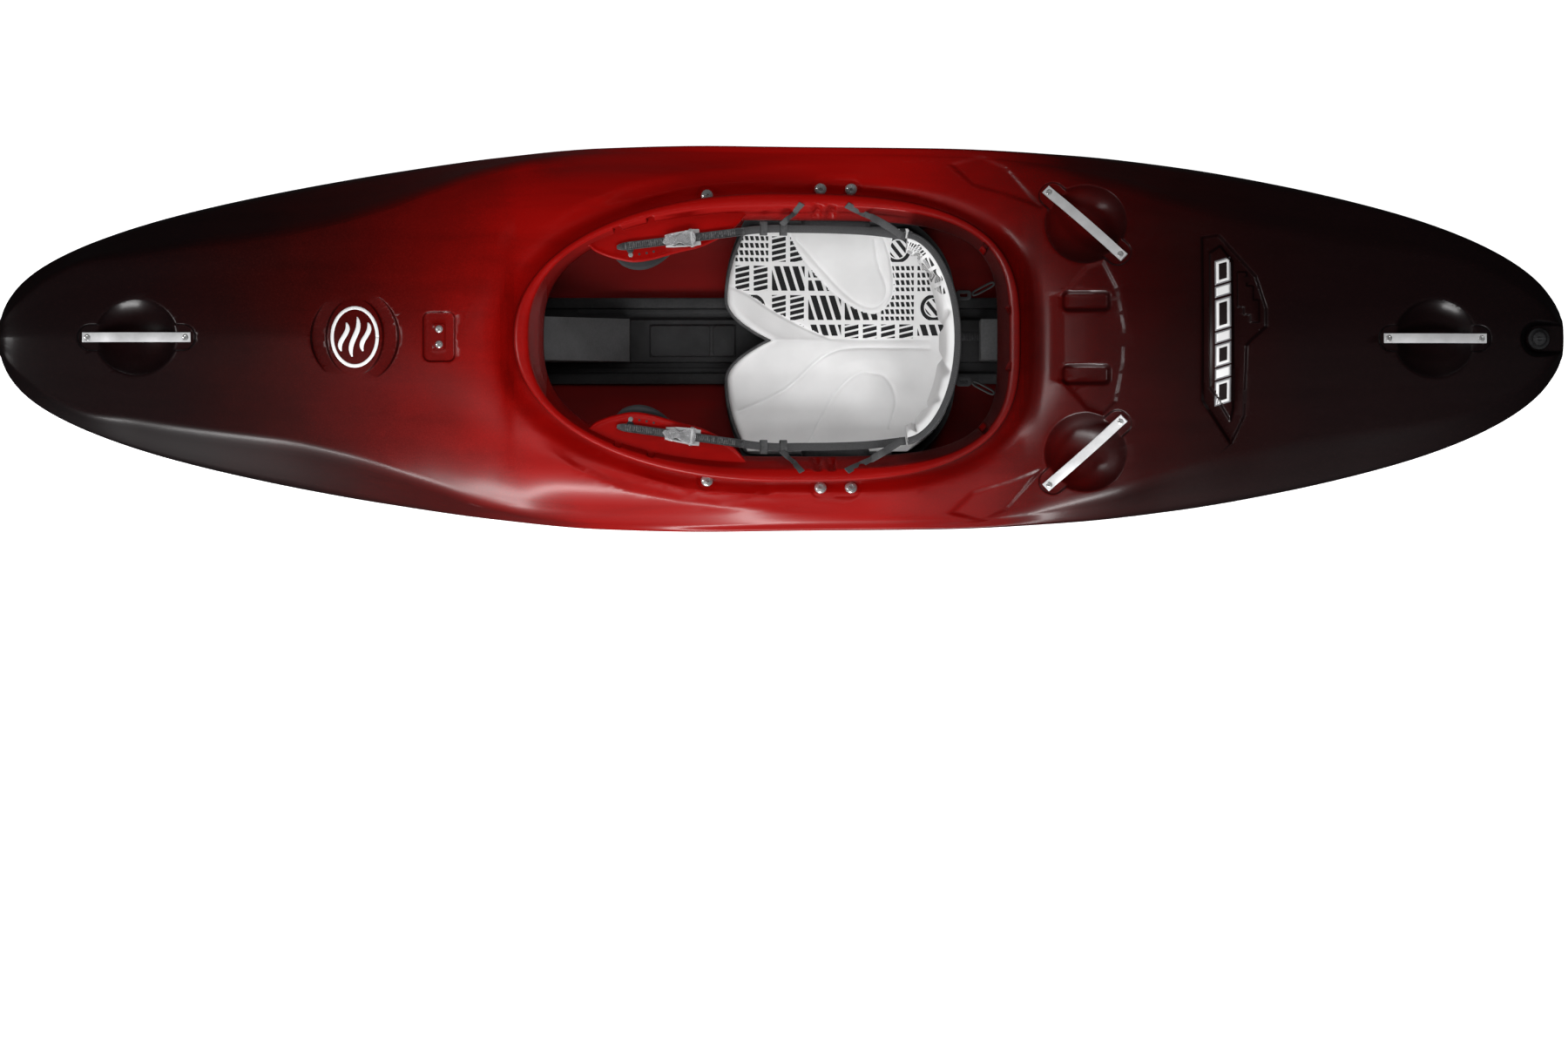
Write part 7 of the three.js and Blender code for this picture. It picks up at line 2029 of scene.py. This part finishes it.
# A leaning bar as a grid: (u, v) from its lower corner, leaning along u
def leaningBar(u, v, wide, tall, lean, toPlace, grow, columns, rows):
    grid = []
    for i in range(rows + 1):
        b = v - grow + i / rows * (tall + 2 * grow)
        along = [u - grow + j / columns * (wide + 2 * grow) for j in range(columns + 1)]
        grid.append([toPlace(a + lean * (b - v), b) for a in along])
    return grid


marks = {
    "side": {"from": -0.222, "to": 0.228, "low": 0.131, "tall": 0.036, "lean": 0.38,
             "pattern": [(0.0, 0.050), (0.056, 0.020), (0.082, 0.020), (0.108, 0.050), (0.164, 0.012),
                         (0.182, 0.012), (0.200, 0.012), (0.224, 0.062), (0.292, 0.020),
                         (0.318, 0.050), (0.374, 0.020), (0.400, 0.036)]},
    "plinth": {"x": 0.6895, "low": -0.105, "tall": 0.021, "lean": 0.30,
               "pattern": [(0.0, 0.034), (0.041, 0.013), (0.061, 0.030), (0.098, 0.013), (0.118, 0.044),
                           (0.170, 0.013), (0.190, 0.034)]},
    "badge": {"outer": (0.0380, 0.0480), "line": 0.0052, "strokeWide": 0.0042, "strokeLean": 0.006,
              "strokes": [(-0.017, 0.62), (0.0, 0.86), (0.017, 0.62)]},
    # how far each coat reaches past the bars, its paint, its height and its name
    "coats": [(0.0022, inkGrey, 0.00015, "outline"), (0.0, inkWhite, 0.00035, "mark"),
              (-0.0042, inkDark, 0.0006, "core")],
}


def makeMarks():
    form = marks["side"]
    for side, label in ((-1, "Left"), (1, "Right")):
        def toPlace(u, v, side=side):
            return (form["from"] + u if side < 0 else form["to"] - u, side * 0.25, form["low"] + v)
        for grow, material, rise, kind in marks["coats"][:2]:
            cells = [leaningBar(u, 0.0, wide, form["tall"], form["lean"], toPlace, grow, 12, 10)
                     for u, wide in form["pattern"]]
            laid(f"side{kind.title()}{label}", cells, (0, -side, 0), rise, material)
    form = marks["plinth"]

    def toPlinth(u, v):
        return (form["x"] - form["tall"] / 2 + v, form["low"] + u, 0.25)
    for grow, material, rise, kind in marks["coats"]:
        cells = [leaningBar(u, 0.0, wide, form["tall"], form["lean"], toPlinth, grow, 12, 8)
                 for u, wide in form["pattern"] if grow > -0.001 or wide > 0.02]
        laid(f"plinth{kind.title()}", cells, down, rise, material)
    form = marks["badge"]
    origin = badgeSeat[0]
    rx, ry = form["outer"]
    turns = np.linspace(0, 2 * math.pi, 97)
    cells = [[[(origin.x + (rx - shrink) * math.cos(a), origin.y + (ry - shrink) * math.sin(a), 0.3)
               for a in turns] for shrink in (form["line"] * k / 2 for k in range(3))]]
    for offset, half in form["strokes"]:     # three leaning strokes inside the ring
        stroke = []
        for i in range(13):
            t = i / 12 * 2 - 1
            y = origin.y + t * half * (ry - 0.012)
            middle = origin.x + offset + form["strokeLean"] * math.sin(t * 2.4)
            wide = form["strokeWide"] * math.sqrt(max(0.05, 1 - t * t))
            stroke.append([(middle + wide * s, y, 0.3) for s in (-1, -0.33, 0.33, 1)])
        cells.append(stroke)
    laid("badgeMark", cells, down, 0.0003, inkWhite)


makeMarks()
print("marks")


# White paper under the boat, lit from the port side, and the camera straight above
studio = {
    "camera": {"place": (0.0007, -0.29, 13.95), "lens": 200, "sensor": 36, "clip": 60},
    # place, size, power, and the rays that don't see it: the big lamps light the colours, and a weaker
    # twin of the first gives the reflections
    "lamps": {
        "key": ((-0.2, -1.75, 4.1), (4.2, 1.2), 132, "glossy"),
        "keyShine": ((-0.2, -1.75, 4.1), (4.2, 1.2), 44, "diffuse"),
        "top": ((-0.1, 0.35, 3.6), (0.9, 0.6), 20, "glossy"),
        "low": ((-0.5, -4.3, 0.95), (2.6, 0.6), 170, None),
        "fill": ((1.4, 3.0, 3.6), (1.4, 0.5), 40, "glossy"),
        "bow": ((-4.2, -0.4, 3.2), (0.7, 1.6), 50, None)},
    "aim": (0, 0, 0.15),
    "paperHalf": 14, "paperGlow": 0.85,
    "skyForShine": 0.02, "skyForShade": 0.09,
}


def makeLamp(name, place, size, power, unseen):
    data = bpy.data.lights.new(name, "AREA")
    data.shape = "RECTANGLE"
    data.size, data.size_y = size
    data.energy = power
    lamp = linked(name, data)
    lamp.location = place
    lamp.rotation_euler = (Vector(studio["aim"]) - Vector(place)).to_track_quat("-Z", "Y").to_euler()
    lamp.visible_glossy = unseen != "glossy"
    lamp.visible_diffuse = unseen != "diffuse"


def makeStudio():
    scene = bpy.context.scene
    form = studio["camera"]
    data = bpy.data.cameras.new("camera")
    data.lens, data.sensor_width, data.clip_end = form["lens"], form["sensor"], form["clip"]
    scene.camera = linked("camera", data)
    scene.camera.location = form["place"]
    paper, tree, shader = newMaterial("paper", 0.95)
    light = tree.nodes.new("ShaderNodeLightPath")
    shader.inputs["Specular IOR Level"].default_value = 0.0
    seen = light.outputs["Is Camera Ray"]
    feed(tree, shader.inputs["Base Color"], colourMix(tree, seen, (0.05, 0.05, 0.05), (0.9, 0.9, 0.9)))
    shader.inputs["Emission Color"].default_value = (1, 1, 1, 1)
    feed(tree, shader.inputs["Emission Strength"], times(tree, seen, studio["paperGlow"]))
    half = studio["paperHalf"]
    corners = [(x * half, y * half, -0.001) for x, y in ((-1, -1), (1, -1), (1, 1), (-1, 1))]
    meshFrom("paperSheet", corners, [(0, 1, 2, 3)], paper, False)
    for name, lamp in studio["lamps"].items():
        makeLamp(name, *lamp)
    world = bpy.data.worlds.new("world")
    scene.world = world
    world.use_nodes = True
    tree = world.node_tree
    back = tree.nodes["Background"]
    light = tree.nodes.new("ShaderNodeLightPath")
    glossy = maths(tree, "MAXIMUM", light.outputs["Is Glossy Ray"], light.outputs["Is Transmission Ray"])
    shine, shade = studio["skyForShine"], studio["skyForShade"]
    strength = maths(tree, "MULTIPLY_ADD", glossy, shine - shade, shade)
    strength = maths(tree, "MAXIMUM", strength, light.outputs["Is Camera Ray"])
    feed(tree, back.inputs["Strength"], strength)
    back.inputs["Color"].default_value = (1, 1, 1, 1)
    scene.view_settings.view_transform = "Standard"


makeStudio()
